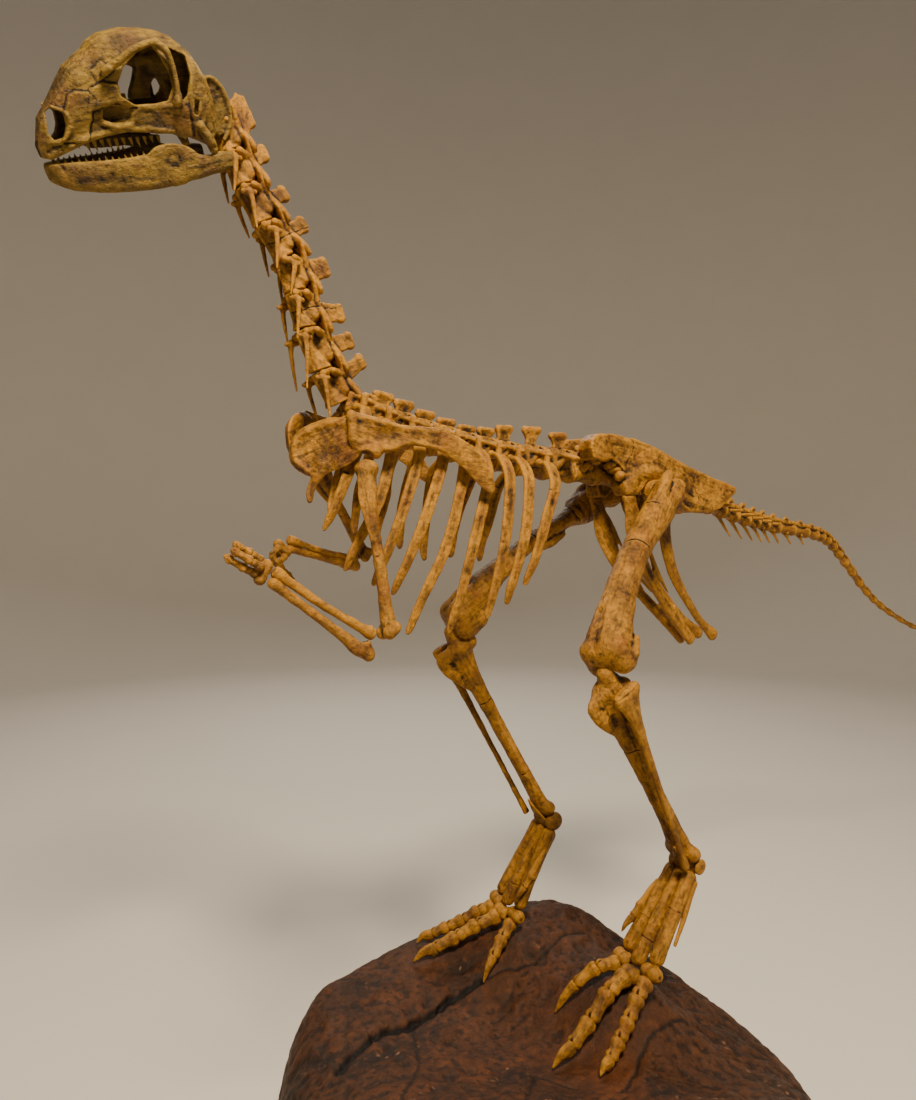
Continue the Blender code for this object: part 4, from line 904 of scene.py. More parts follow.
    shift = ((rise - 0.0003 * seam - dents) * outer)[:, None]
    move_vertices(obj, points + side[:, None] * HEAD_AXES[1] * shift)
    seams = (
        ((0.124, 0.056), (0.116, 0.066), (0.112, 0.080)), ((0.100, 0.022), (0.104, 0.014)),
        ((0.112, 0.060), (0.101, 0.0625), (0.098, 0.0565)),
        ((0.052, 0.026), (0.060, 0.006)), ((0.018, 0.062), (0.032, 0.052), (0.040, 0.052)),
        ((0.150, 0.064), (0.156, 0.050)), ((0.176, 0.017), (0.170, 0.006)), ((0.158, 0.049), (0.110, 0.088)),
    )

    def cuts_and_shade(points):
        place = (points - HEAD_PLACE) @ HEAD_AXES.T
        wander = 0.0012 * np.stack([grain(place, 0.006, 2, 3), grain(place, 0.006, 2, 4)], 1)
        spot = np.column_stack([place[:, [0, 2]] + wander, np.zeros(len(place))])
        away = np.min([near_line(spot, [(*p, 0.0) for p in line]) for line in seams], axis=0)
        patchy = np.clip(0.55 + 1.2 * grain(place, 0.012, 2, 12), 0.1, 1) * (np.abs(place[:, 1]) > 0.010)
        # Inside the skull the mask rises to 0.42, and behind the upper teeth to 0.85: painted shade, not
        # cracks.
        inside = np.abs(place[:, 1]) < np.interp(place[:, 0], table[:, 0], table[:, 3]) * 0.66
        behind = inside & (place[:, 2] < np.interp(place[:, 0], (0.06, 0.145), (0.004, 0.020)))
        lines = (0.45 * np.exp(-((away / 0.0006) ** 2)) + 0.14 * np.minimum(seam, 1)) * patchy
        return np.maximum(lines, np.where(behind, 0.85, 0.42 * inside * (place[:, 2] < 0.075)))

    settle(obj, "skull", "skull_bone", looks.weathering * 0.8, 0.008, cuts_and_shade, 0.0005, 11)


def peg(root, tip, wide, deep, across):
    """Rings of a tooth: the half widths shrink as (1 - s^1.6), and it curves back as s^2."""
    share = np.linspace(0, 1, 9)[:, None, None]
    angle = (2 * np.pi * np.arange(10) / 10)[None, :, None]
    root, tip = np.asarray(root, float), np.asarray(tip, float)
    along = tip - root
    way = np.cross(along / np.linalg.norm(along), across)
    size = 1 - 0.96 * share**1.6
    bend = -0.18 * np.linalg.norm(along) * share**2 * way
    return root + along * share + bend + size * (wide * np.cos(angle) * way + deep * np.sin(angle) * across)


def teeth(looks):
    """Rows of curved peg teeth in the upper and the lower jaw, each row one piece."""
    table = np.array(SKULL_SECTIONS)[::-1]
    rows = np.array(JAW_SECTIONS)
    for name, node, count, first, last, sign in (
        ("Upper teeth", "skull", 11, 0.1465, 0.076, -1), ("Lower teeth", "lower_jaw", 14, 0.180, 0.098, 1),
    ):
        rings = []
        for i, x in enumerate(np.linspace(first, last, count)):
            size = looks.tooth_length * (0.80 + 0.20 * math.sin(1.9 * i + 0.6)) * (1 - 0.25 * i / count)
            for side in (1, -1):
                if sign < 0:
                    y = 0.86 * np.interp(x, table[:, 0], table[:, 3])
                    z = np.interp(x, (0.072, 0.145, 0.184), (0.0035, 0.0135, 0.0060))
                    reach = size + 0.0020
                else:
                    y = np.interp(x, rows[:, 0], rows[:, 1]) - 0.0010
                    z = np.interp(x, rows[:, 0], rows[:, 2]) - 0.002
                    reach = 0.48 * size + 0.002
                start = np.array((x, side * y, z))
                end = np.array((x - 0.0006 * sign * size / 0.003, side * y * 0.99, z + sign * reach))
                across = np.array((0.0, 1.0, 0.0))
                rings.append(peg(start, end, 0.0024 - 0.00004 * i, 0.0016, across))
        count, rows_, sides = len(rings), rings[0].shape[0], rings[0].shape[1]
        points = np.concatenate([r.reshape(-1, 3) for r in rings]) @ HEAD_AXES + HEAD_PLACE
        quads = wrap_faces(rows_, sides)
        caps = [np.arange(sides)[::-1][None], (np.arange(sides) + (rows_ - 1) * sides)[None]]
        shift = (np.arange(count) * rows_ * sides)[:, None, None]
        faces = [(f[None] + shift).reshape(-1, f.shape[1]) for f in [quads] + caps]
        obj = turn_outward(make_mesh(name, points, faces))
        settle(obj, node, "skull_bone", 0.0001, 0.004, lambda points: np.full(len(points), 0.42), 0.0,
               seed=13)


def lower_jaw(looks):
    """The jaw: one band bent round the front, thicker at its rim, with a hollow for muscle."""
    left = np.array(JAW_SECTIONS)
    right = left[:-1] * (1, -1, 1, 1, 1)
    low_coronoid = np.interp(right[:, 0], (0.045, 0.060, 0.080, 0.100), (0, 0.0045, 0.0060, 0))
    right[:, 2] -= low_coronoid
    rows = np.vstack([right, left[::-1]])
    stations = np.column_stack([rows[:, 0], rows[:, 1], (rows[:, 2] + rows[:, 3]) / 2,
        (rows[:, 2] - rows[:, 3]) / 2, rows[:, 4]])
    bumps = ((0.36, 0, 0.0006, 0.3, 40), (0.64, 0, 0.0006, 0.3, 40))
    rings = shaft_points(stations, 340, 44, UP, bumps, (0.5, 0.5), 2.8)
    obj = ring_mesh("Lower jaw", rings @ HEAD_AXES + HEAD_PLACE)
    points, normals = vertices_of(obj), normals_of(obj)
    place = (points - HEAD_PLACE) @ HEAD_AXES.T
    out = np.clip(np.einsum("ij,ij->i", normals, np.sign(place[:, 1:2]) * HEAD_AXES[1]) * 3 - 0.3, 0, 1)
    oval = ((place[:, 0] - 0.070) / 0.0125) ** 2 + ((place[:, 2] + 0.0205) / 0.0105) ** 2
    shelf = np.abs(place[:, 2] + 0.024 - 0.13 * (place[:, 0] - 0.15) + 0.0015 * grain(place, 0.02, 2,
        6)) / 0.0045
    within = np.clip((place[:, 0] - 0.090) / 0.012, 0, 1) * np.clip((0.180 - place[:, 0]) / 0.010, 0, 1)
    dip = 0.0017 * np.exp(-(oval**2)) + 0.0007 * np.exp(-(shelf**2)) * within
    notch = ((place[:, 0] - 0.1785) / 0.0022) ** 2 + ((place[:, 2] + 0.0040) / 0.0050) ** 2
    dip = dip + 0.0018 * np.exp(-notch) + 0.0006 * np.clip(grain(place, 0.004, 2, 8) - 0.1, 0, 1)
    move_vertices(obj, points - normals * (dip * out)[:, None])
    seams = (((0.096, -0.010), (0.091, -0.024), (0.080, -0.044)), ((0.058, -0.030), (0.040, -0.034),
        (0.020, -0.032)))

    def cuts_and_shade(points):
        place = (points - HEAD_PLACE) @ HEAD_AXES.T
        spot = np.column_stack([place[:, [0, 2]], np.zeros(len(place))])
        spot[:, 0] += 0.0016 * grain(place, 0.006, 2, 3)
        away = np.min([near_line(spot, [(*p, 0.0) for p in seam]) for seam in seams], axis=0)
        # Faces turned in towards the other half of the jaw get 0.75: painted shade.
        turned = np.einsum("ij,ij->i", normals_of(obj), np.sign(place[:, 1:2]) * HEAD_AXES[1])
        return np.maximum(0.5 * np.exp(-((away / 0.0008) ** 2)), 0.75 * np.clip(-2 * turned - 0.3, 0, 1))

    settle(obj, "lower_jaw", "skull_bone", looks.weathering * 0.9, 0.008, cuts_and_shade, 0.0005, 12)


# The backbone -----------------------------------------------------------------------------------


def neck_rib_ends():
    """Root and tip (x, z) of the rib on each side of a neck vertebra that carries one."""
    return {
        1: ((-0.675, 0.360), (-0.674, 0.318)), 2: ((-0.658, 0.324), (-0.648, 0.282)),
        3: ((-0.627, 0.287), (-0.624, 0.240)), 4: ((-0.604, 0.254), (-0.607, 0.212)),
        5: ((-0.600, 0.210), (-0.599, 0.160)), 6: ((-0.590, 0.166), (-0.587, 0.102)),
        7: ((-0.567, 0.119), (-0.557, 0.066)),
    }


def neck_bone(number, looks):
    """A neck vertebra: waisted body, arch, spine, four joint wings, two rib roots and its ribs."""
    start, end = (np.array((x, 0.0, z)) for x, z in NECK_JOINTS[number : number + 2])
    along = unit(end - start)
    axes = np.array((along, ACROSS, np.cross(along, ACROSS)))
    if axes[2, 2] < 0 or axes[2, 0] < 0 and abs(axes[2, 2]) < 0.2:
        axes[2] *= -1
    clay = Clay(0.00141, start, axes)
    long = np.linalg.norm(end - start)
    r = 1.08 * np.interp(number, (0, 8), NECK_RADIUS)
    tip_x, tip_z, half = NECK_TIPS[number]
    tip = clay.local((tip_x, 0.0, tip_z - (0.008 if number == 0 else 0.003)))
    clay.drum(0.0008, long - 0.0004, 0.0, (r * 0.98, r * 1.04), 0.74)
    clay.ball((long * 0.46, r * 1.02, r * 0.10), (long * 0.22, r * 0.30, r * 0.34), 0.003, True, 1)
    clay.stroke((long * 0.12, 0, -r * 0.80), (long * 0.80, 0, -r * 0.72), 0.0028, blend=0.003)
    # Arch over the cord, closed at the sides, and the joint wings that lap over the next bone.
    roof = r * 1.50
    clay.stroke((long * 0.24, r * 0.50, r * 0.75), (long * 0.72, r * 0.50, r * 0.85), 0.0075, 0.0080,
        blend=0.004, pair=1)
    clay.stroke((long * 0.16, 0, roof), (long * 0.86, 0, roof + 0.001), 0.0125, 0.0130, (0, 0, 1), 2.4,
        0.004)
    front = ((long * 0.30, 0.0090, roof - 0.001, 0.0078, 0.0045), (long * 0.02, 0.0135, roof - 0.001,
        0.0076, 0.0040), (-long * 0.14, 0.0160, roof - 0.001, 0.0070, 0.0036))
    rear = ((long * 0.66, 0.0090, roof + 0.001, 0.0085, 0.0052),
            (long * 0.94, 0.0140, roof + 0.003, 0.0086, 0.0050),
            (long * 1.10, 0.0160, roof + 0.004, 0.0078, 0.0044))
    clay.path(front, flat=(0, 0.35, 1), blend=0.003, pair=1)
    clay.path(rear, flat=(0, 0.35, 1), blend=0.003, pair=1)
    clay.stroke((-0.004, 0, r * 1.10), (long + 0.004, 0, r * 1.10), 0.0042, blend=0.0015, carve=True)
    clay.ball((long * 0.50, 0.0125, roof + 0.006), (long * 0.16, 0.0042, 0.0040), 0.002, True, 1)
    # The spine: a squarish knob on a thick plate that is broad at its foot.
    foot = np.array((tip[0] * 0.45 + long * 0.28, 0, roof))
    wide = half * 0.95
    outline = [(foot[0] - wide * 1.25, foot[2]), (tip[0] - wide, tip[2] - wide * 0.35),
        (tip[0] - wide * 0.80, tip[2]), (tip[0] + wide * 0.80, tip[2] + 0.0008),
        (tip[0] + wide, tip[2] - wide * 0.40), (foot[0] + wide * 1.35, foot[2])]
    clay.slab(outline, -0.0046, 0.0046, 0.0030, 0.005)
    crest = 0.0050 if number else 0.0036
    top = tip[2] - crest
    clay.stroke((tip[0] - wide * 0.72, 0, top), (tip[0] + wide * 0.72, 0, top), crest, blend=0.003)
    if number == 0:
        clay.slab([(long * 0.10, roof), (tip[0] - wide * 1.2, tip[2] * 0.7 + roof * 0.3),
            (tip[0], tip[2] - 0.004), (foot[0] + wide, roof)], -0.0030, 0.0030, 0.002, 0.003)
    clay.stroke((long * 0.10, r * 0.80, -r * 0.30), (long * 0.10, r * 1.22, -r * 0.55), 0.0050, 0.0046,
        blend=0.003, pair=1)
    clay.stroke((long * 0.28, r * 0.60, r * 1.05), (long * 0.14, r * 1.40, r * 0.30), 0.0056, 0.0044,
        blend=0.003, pair=1)
    cuts_and_shade = None
    if number in (3, 5):
        turned = np.array((axes[1], axes[2], axes[0]))
        cuts_and_shade = ring_cracks(start + along * long * 0.5, turned, ((0.002, 20, 300, 0.0006),))
    node = NECK_NODES[number]
    settle(clay.skin(f"Neck vertebra {number + 1}"), node, "bone", looks.weathering * 1.6, 0.008, cuts_and_shade,
           seed=20 + number)
    ends = neck_rib_ends().get(number)
    if not ends:
        return
    (rx, rz), (tx, tz) = ends
    for side, word in SIDES:
        root = np.array((rx, side * (r * 1.30), rz))
        tail = np.array((tx, side * (r * 1.30 + 0.006), tz))
        if side == RIGHT:
            tail = root + (tail - root) * 0.92 + np.array((0.004, 0, 0))
        way = unit(tail - root)
        head = Clay(0.00113, root, rib_axes(way, side))
        size = np.linalg.norm(tail - root)
        head.stroke((0.001, -0.0060, 0.0), (0.002, 0.0075, 0.0), 0.0032, 0.0030, blend=0.003)
        head.path(((0.0, 0.001, 0, 0.0040, 0.0032), (size * 0.20, 0.002, 0.001, 0.0031, 0.0024),
            (size * 0.55, 0.001, 0.0, 0.0025, 0.0019), (size, -0.001, -0.002, 0.0013, 0.0012)),
            flat=(0, 0, 1), blend=0.003)
        settle(head.skin(f"Neck rib {number} {word}"), node, "bone", looks.weathering * 0.9, 0.006,
               seed=40 + number)


def rib_axes(way, side):
    """A frame with X along a rib and Z out to the side."""
    out = unit(np.array((0.0, side, 0.0)) - way * way[1] * side)
    return np.array((way, np.cross(out, way), out))


def along_line(line, x):
    """Height and radius of a backbone line at x."""
    rows = smooth_line(spread_points(line), 120)
    order = np.argsort(rows[:, 0])
    return [float(np.interp(x, rows[order, 0], rows[order, column])) for column in (2, 3)]


def body_frame(line, low, high):
    """Front place, length and axes (back, across, up) of the stretch of a backbone line."""
    a, b = (np.array((x, 0.0, along_line(line, x)[0])) for x in (low, high))
    back = unit(b - a)
    return a, np.linalg.norm(b - a), np.array((back, ACROSS, np.cross(back, ACROSS)))


def back_bone(number, looks):
    """A back vertebra: waisted body, arch, broad spine, side bars that carry the rib, joint wings."""
    x = TRUNK_X[number]
    ends = [TRUNK_X[i] if 0 <= i < len(TRUNK_X) else None for i in (number - 1, number + 1)]
    low = TRUNK_LINE[0][0] + 0.0012 if ends[0] is None else (ends[0] + x) / 2
    high = TRUNK_X[-1] + 0.5 * REAR_STEP - 0.004 if ends[1] is None else (ends[1] + x) / 2
    start, long, axes = body_frame(TRUNK_LINE, low, high)
    height, r = along_line(TRUNK_LINE, x)
    clay = Clay(0.00158, start, axes)
    middle = clay.local((x, 0, height))[0]
    clay.drum(0.0006, long - 0.0006, 0.0, (r * 1.04, r * 1.04), 0.72)
    clay.ball((long / 2, r * 1.0, r * 0.20), (long * 0.22, r * 0.26, r * 0.36), 0.003, True, 1)
    roof = r + 0.0085
    for place in (-0.20, 0.20):
        clay.stroke((middle + place * long, r * 0.46, r * 0.7), (middle + place * long * 0.8, r * 0.50,
            roof), 0.0078, 0.0080, blend=0.004, pair=1)
    clay.stroke((-0.002, 0, roof), (long + 0.002, 0, roof + 0.001), 0.0120, 0.0125, (0, 0, 1), 2.0, 0.004)
    wall = [(0.0012, r * 0.3), (0.0008, roof + 0.003), (long - 0.0008, roof + 0.005),
            (long - 0.0012, r * 0.3)]
    clay.slab(wall, 0.0040, 0.0122, 0.0026, 0.004, pair=1)
    clay.stroke((-0.006, 0, r + 0.0035), (long + 0.006, 0, r + 0.0035), 0.0036, blend=0.0015, carve=True)
    clay.stroke((middle - long * 0.18, 0.0070, roof - 0.001), (long * 0.05, 0.0085, roof - 0.002), 0.0080,
        0.0064, blend=0.007, pair=1)
    clay.stroke((middle + long * 0.18, 0.0068, roof + 0.001), (long * 0.93, 0.0078, roof + 0.003), 0.0078,
        0.0060, blend=0.007, pair=1)
    reach = 0.040 if number < 10 else 0.030
    bar = ((middle, 0.004, roof, 0.0130, 0.0062), (middle + 0.002, 0.022, roof - 0.0030, 0.0088, 0.0044),
           (middle + 0.004, reach, roof - 0.0090, 0.0078, 0.0044))
    clay.path(bar, flat=(0, 0, 1), blend=0.004, pair=1)
    clay.stroke((middle - long * 0.12, r * 0.7, r * 0.4), (middle + 0.002, 0.026, roof - 0.004), 0.0056,
        0.0034, blend=0.004, pair=1)
    clay.ball((middle + long * 0.24, 0.0155, roof + 0.004), (long * 0.10, 0.0050, 0.0040), 0.002, True, 1)
    # The spine: narrow at its foot, broad and thick at its top, the rear corner a little higher.
    top = r + SPINE_RISE[number] + (0.004 if number < 9 else 0.001)
    half = {0: 0.0090, 10: 0.0150}.get(number, 0.0145 if number < 8 else 0.0172)
    lean = 0.018 if number == 0 else 0.003
    tip = middle + lean
    waist = 0.86 if number < 8 else 0.62
    outline = [(middle - half * waist, roof), (tip - half * waist * 0.92, (top + roof) / 2),
        (tip - half, top - 0.006), (tip - half * 0.88, top), (tip + half * 0.84, top + 0.003),
        (tip + half, top - 0.004), (tip + half * waist * 0.88, (top + roof) / 2),
        (middle + half * waist, roof)]
    clay.slab(outline, -0.0034, 0.0034, 0.0024, 0.004)
    clay.stroke((tip - half * 0.75, 0, top - 0.0040), (tip + half * 0.78, 0, top - 0.0015), 0.0042, 0.0046,
        blend=0.004)
    clay.ball((tip, 0.0052, (top * 0.55 + roof * 0.45)), (half * 0.50, 0.0028, 0.0070), 0.003, True, 1)
    name = f"Back vertebra {number + 1}"
    obj = settle(clay.skin(name), "rib_cage_left", "bone", looks.weathering * 1.8, 0.010, seed=60 + number)
    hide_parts("rib_cage_right")


def rib(number, side, word, looks):
    """A rib: two-headed at the backbone, then a flat blade out to the side, down and forward."""
    forward, drop, spread = RIB_FORWARD[side][number], RIB_DROP[side][number], RIB_SPREAD[number]
    if not drop:
        return
    x = TRUNK_X[number]
    height, radius = along_line(TRUNK_LINE, x)
    wide = 1.0 + 0.035 * number
    sway = 0.004 * math.sin(2.3 * number + side)
    stations = (
        (x - 0.006, side * radius * 0.80, height + 0.004, 0.0046 * wide, 0.0038),
        (x - 0.002, side * 0.026, height + 0.004, 0.0048 * wide, 0.0038),
        (x + 0.001, side * 0.044, height + 0.001, 0.0066 * wide, 0.0044),
        (x - 0.05 * forward, side * spread * 0.84, height - 0.09 * drop, 0.0078 * wide, 0.0042),
        (x - 0.16 * forward, side * spread * 0.96, height - 0.22 * drop, 0.0072 * wide, 0.0038),
        (x - 0.48 * forward + sway, side * spread * 1.00, height - 0.54 * drop, 0.0064 * wide, 0.0036),
        (x - 0.80 * forward, side * spread * 0.95, height - 0.82 * drop, 0.0056 * wide, 0.0032),
        (x - 0.96 * forward, side * spread * 0.87, height - 0.97 * drop, 0.0040 * wide, 0.0026),
        (x - forward, side * spread * 0.86, height - drop, 0.0020, 0.0018),
    )
    bumps = ((0.14, 90, 0.0034, 0.030, 80), (0.14, 270, 0.0014, 0.030, 80), (0.34, 160, 0.0012, 0.10, 50),
        (0.62, 30, 0.0010, 0.09, 50), (0.45, 90, -0.0012, 0.22, 34), (0.80, 200, 0.0009, 0.05, 60))
    count = 90 + int(400 * drop)
    obj = ring_mesh(f"Rib {number + 1} {word}", shaft_points(stations, count, 26, BACK, bumps, (0.7, 0.7),
        2.4))
    centre = np.array((x - 0.3 * forward, side * spread, height - 0.4 * drop))
    axes = np.array((BACK, ACROSS, unit((-forward, 0.0, -drop))))
    cuts_and_shade = ring_cracks(centre, axes, ((0.03 - 0.03 * (number % 3), 0, 359, 0.0007),)
        if number % 2 == 0 else ())
    settle(obj, f"rib_cage_{word}", "bone", looks.weathering * 2.2, 0.014, cuts_and_shade, 0.0004, 80 + number + side)
    if drop > 0.14:
        stub = Clay(0.00158, (x, side * 0.040, height + radius + 0.003), np.eye(3))
        low = stub.local((x + 0.001, side * 0.0405, height + 0.004))
        stub.stroke((0.003, 0.001 * side, 0.000), low, 0.0048, 0.0050, blend=0.002)
        settle(stub.skin(f"Rib knuckle {number + 1} {word}"), f"rib_cage_{word}", "bone", 0.0003, seed=99)


def hip_vertebra(number, looks):
    """A vertebra of the hip: body, low joined spine and stout bars out to the hip blades."""
    line = smooth_line(spread_points(SACRUM_LINE), 6)
    low, high = line[number, 0], line[number + 1, 0] - (0.0008 if number == 4 else 0)
    start, long, axes = body_frame(SACRUM_LINE, low, high)
    r = along_line(SACRUM_LINE, (low + high) / 2)[1]
    clay = Clay(0.00181, start, axes)
    clay.drum(0.0, long, 0.0, (r, r), 0.78)
    clay.stroke((long * 0.1, 0, r * 0.95), (long * 0.9, 0, r * 0.95), 0.0110, blend=0.004)
    # Bars swell to a rounded end against the blade; the first two are free in front of it.
    knob = 0.0150 if number < 2 else 0.0120
    clay.path(((long / 2, 0.004, r * 0.55, 0.0120, 0.0085), (long / 2, 0.016, r * 0.60, 0.0078, 0.0052),
        (long / 2, 0.0265, r * 0.60, knob, knob * 0.62)), flat=(0, 0, 1), blend=0.004, pair=1)
    spine = [(long * 0.14, r), (long * 0.10, r + 0.015), (long * 0.88, r + 0.015), (long * 0.84, r)]
    clay.slab(spine, -0.0034, 0.0034, 0.002, 0.004)
    clay.stroke((long * 0.85, 0.008, r + 0.004), (long * 1.02, 0.009, r + 0.005), 0.0052, blend=0.003,
        pair=1)
    name = f"Hip vertebra {number + 1}"
    settle(clay.skin(name), "sacrum", "bone", looks.weathering * 1.8, 0.010, seed=110 + number)


def tail_bone(number, looks):
    """A tail vertebra: spool body, shrinking arch, spine, side bars, and a chevron below the front ones."""
    line = smooth_line(spread_points(TAIL_LINE), 2 * TAIL_COUNT + 1)
    a, _, b = line[2 * number : 2 * number + 3]
    last = number == TAIL_COUNT - 1
    b = a + (b - a) * (0.82 if last else 1.0)
    back = unit(b[:3] - a[:3])
    long, r = np.linalg.norm(b[:3] - a[:3]), (a[3] + b[3]) / 2
    clay = Clay(max(0.0012, 0.0018 - 0.00002 * number), a[:3], (back, ACROSS, np.cross(back, ACROSS)))
    clay.drum(0.0006, long - 0.0006, 0.0, (a[3] * 1.04, b[3] * 1.04), 0.70)
    fade = max(0.0, 1 - number / (CHEVRON_COUNT + 4))
    small = max(0.25, fade)
    clay.stroke((long * 0.20, 0, r * 0.90), (long * 0.75, 0, r * 0.90), r * 0.50, blend=r * 0.30)
    clay.stroke((long * 0.25, r * 0.38, r * 1.05), (-long * 0.10, r * 0.52, r * 1.15), r * 0.34, r * 0.26,
        blend=r * 0.2, pair=1)
    if not last:
        clay.stroke((long * 0.70, r * 0.28, r * 1.15), (long * 1.05, r * 0.34, r * 1.28), r * 0.34,
            r * 0.26, blend=r * 0.2, pair=1)
    node = "tail_1" if number < 9 else "tail_2" if number < 17 else "tail_3"
    if number < CHEVRON_COUNT + 4:
        rise = max(0.0, 1 - number / 14)
        top = r + 0.006 + 0.011 * rise
        width = 0.004 + 0.009 * rise
        outline = [(long * 0.30, r), (long * 0.50, top), (long * 0.50 + width, top + 0.001),
            (long * 0.86, r)]
        clay.slab(outline, -0.0014 - 0.0012 * rise, 0.0014 + 0.0012 * rise, 0.0012, 0.003)
    if number < 6:
        reach = 0.030 * fade
        clay.path(((long * 0.48, r * 0.5, r * 0.3, 0.0075, 0.0040), (long * 0.55, reach, r * 0.35, 0.0050,
            0.0028)), flat=(0, 0, 1), blend=0.003, pair=1)
    name = f"Tail vertebra {number + 1}"
    settle(clay.skin(name), node, "bone", looks.weathering * 1.6 * small, 0.008, seed=120 + number)
    if number < CHEVRON_COUNT:
        reach = 0.050 * fade
        start = a[:3] + back * long * 0.46
        low = np.array((start[0] + reach, 0.0, start[2] - r - reach * 0.72))
        way = unit(low - start)
        piece = Clay(0.00136, start, (way, ACROSS, np.cross(way, ACROSS)))
        size = np.linalg.norm(low - start)
        piece.stroke((r * 0.85, r * 0.42, 0), (r * 1.5, 0, 0), 0.0030, 0.0028, blend=0.002, pair=1)
        piece.path(((r * 1.4, 0, 0, 0.0042, 0.0028), (size * 0.6, 0, 0, 0.0032, 0.0020),
            (size, 0, 0, 0.0020, 0.0014)), flat=(0, 1, 0), blend=0.002)
        settle(piece.skin(f"Chevron {number + 1}"), node, "bone", 0.0003, 0.006, seed=160 + number)


# The hips ---------------------------------------------------------------------------------------

ILIUM_EDGE = (
    (-0.143, 0.062), (-0.141, 0.074), (-0.126, 0.084), (-0.095, 0.088), (-0.045, 0.084), (0.000, 0.074),
    (0.050, 0.060), (0.100, 0.047), (0.150, 0.034), (0.192, 0.024), (0.212, 0.018), (0.214, 0.010),
    (0.196, -0.004), (0.172, -0.022), (0.150, -0.028), (0.120, -0.029), (0.096, -0.028), (0.066, -0.012),
    (0.056, -0.030), (0.036, -0.033), (0.026, -0.014), (0.020, 0.008), (0.004, 0.020), (-0.014, 0.018),
    (-0.028, 0.002), (-0.040, -0.006), (-0.058, -0.006), (-0.064, 0.008), (-0.060, 0.028), (-0.072, 0.040),
    (-0.092, 0.048), (-0.112, 0.044), (-0.136, 0.046),
)


def ilium(side, word, looks):
    """The hip blade: an upright plate, dished outside, under a rough rim, with a hooded socket."""
    clay = Clay(0.00181)

    def lean(x, z):
        dish = 0.0100 * np.exp(-(((x - 0.10) / 0.07) ** 2)) + 0.0085 * np.exp(-(((x + 0.075) / 0.05) ** 2))
        return side * (0.0022 - dish * (z > -1) + 0.030 * np.maximum(0, 0.02 - z) * (np.abs(x) < 0.07))

    y = side * 0.0355
    clay.slab(ILIUM_EDGE, y - 0.0032, y + 0.0032, 0.0026, 0.003, lean=lean)
    hood = ((-0.052, side * 0.0405, 0.014, 0.0070), (-0.034, side * 0.0435, 0.028, 0.0085),
            (0.000, side * 0.0455, 0.034, 0.0095), (0.032, side * 0.0450, 0.022, 0.0088),
            (0.062, side * 0.0430, 0.004, 0.0064), (0.100, side * 0.0420, -0.010, 0.0056),
            (0.150, side * 0.0400, -0.019, 0.0048))
    clay.path(hood, blend=0.007, count=22)
    clay.stroke((-0.040, side * 0.038, 0.030), (-0.049, side * 0.039, 0.004), 0.0105, 0.0112, blend=0.006)
    clay.stroke((0.046, side * 0.038, 0.010), (0.046, side * 0.040, -0.022), 0.0105, 0.0102, blend=0.006)
    shelf = [(x, side * 0.0360, z, 0.0042) for x, z in ((0.096, -0.024), (0.150, -0.024), (0.196, -0.002),
        (0.209, 0.012))]
    clay.path(shelf, blend=0.005)
    rim = ((-0.134, side * 0.0370, 0.070, 0.0060), (-0.112, side * 0.0385, 0.0790, 0.0072),
           (-0.070, side * 0.0390, 0.0780, 0.0070), (-0.020, side * 0.0385, 0.0715, 0.0058),
           (0.060, side * 0.0375, 0.0520, 0.0054), (0.150, side * 0.0370, 0.0300, 0.0052),
           (0.204, side * 0.0365, 0.0150, 0.0050))
    clay.path(rim, blend=0.005, count=26)
    clay.path(((-0.010, side * 0.040, 0.040, 0.0062), (-0.018, side * 0.038, 0.072, 0.0040)), blend=0.010)
    clay.path(((-0.122, side * 0.036, 0.052, 0.0060), (-0.096, side * 0.037, 0.050, 0.0046)), blend=0.005)
    clay.ball((0.004, y, -0.004), (0.0235, 0.03, 0.0235), 0.003, True)
    # Rounded ends of the hip ribs that show below the blade's front lobe.
    clay.stroke((-0.0796, side * 0.020, 0.0400), (-0.0796, side * 0.034, 0.0441), 0.0058, 0.0070,
        blend=0.002)
    clay.path(((-0.066, side * 0.036, 0.0240, 0.0086), (-0.046, side * 0.038, 0.0262, 0.0092),
        (-0.030, side * 0.037, 0.0276, 0.0080)), blend=0.002)
    cracks = (((-0.052, 0.086), (-0.046, 0.064), (-0.060, 0.040)), ((0.112, 0.044), (0.104, 0.018),
        (0.118, -0.008)))

    def cuts_and_shade(points):
        spot = np.column_stack([points[:, [0, 2]], np.zeros(len(points))])
        spot[:, :2] += 0.007 * np.stack([grain(points, 0.016, 3, 7), grain(points, 0.016, 3, 8)], 1)
        away = np.min([near_line(spot, [(*p, 0.0) for p in line]) for line in cracks], axis=0)
        return 0.8 * np.exp(-((away / 0.0008) ** 2))

    settle(clay.skin(f"Ilium {word}"), f"ilium_{word}", "bone", looks.weathering * 3.4, 0.014, cuts_and_shade,
           seed=200 + side)


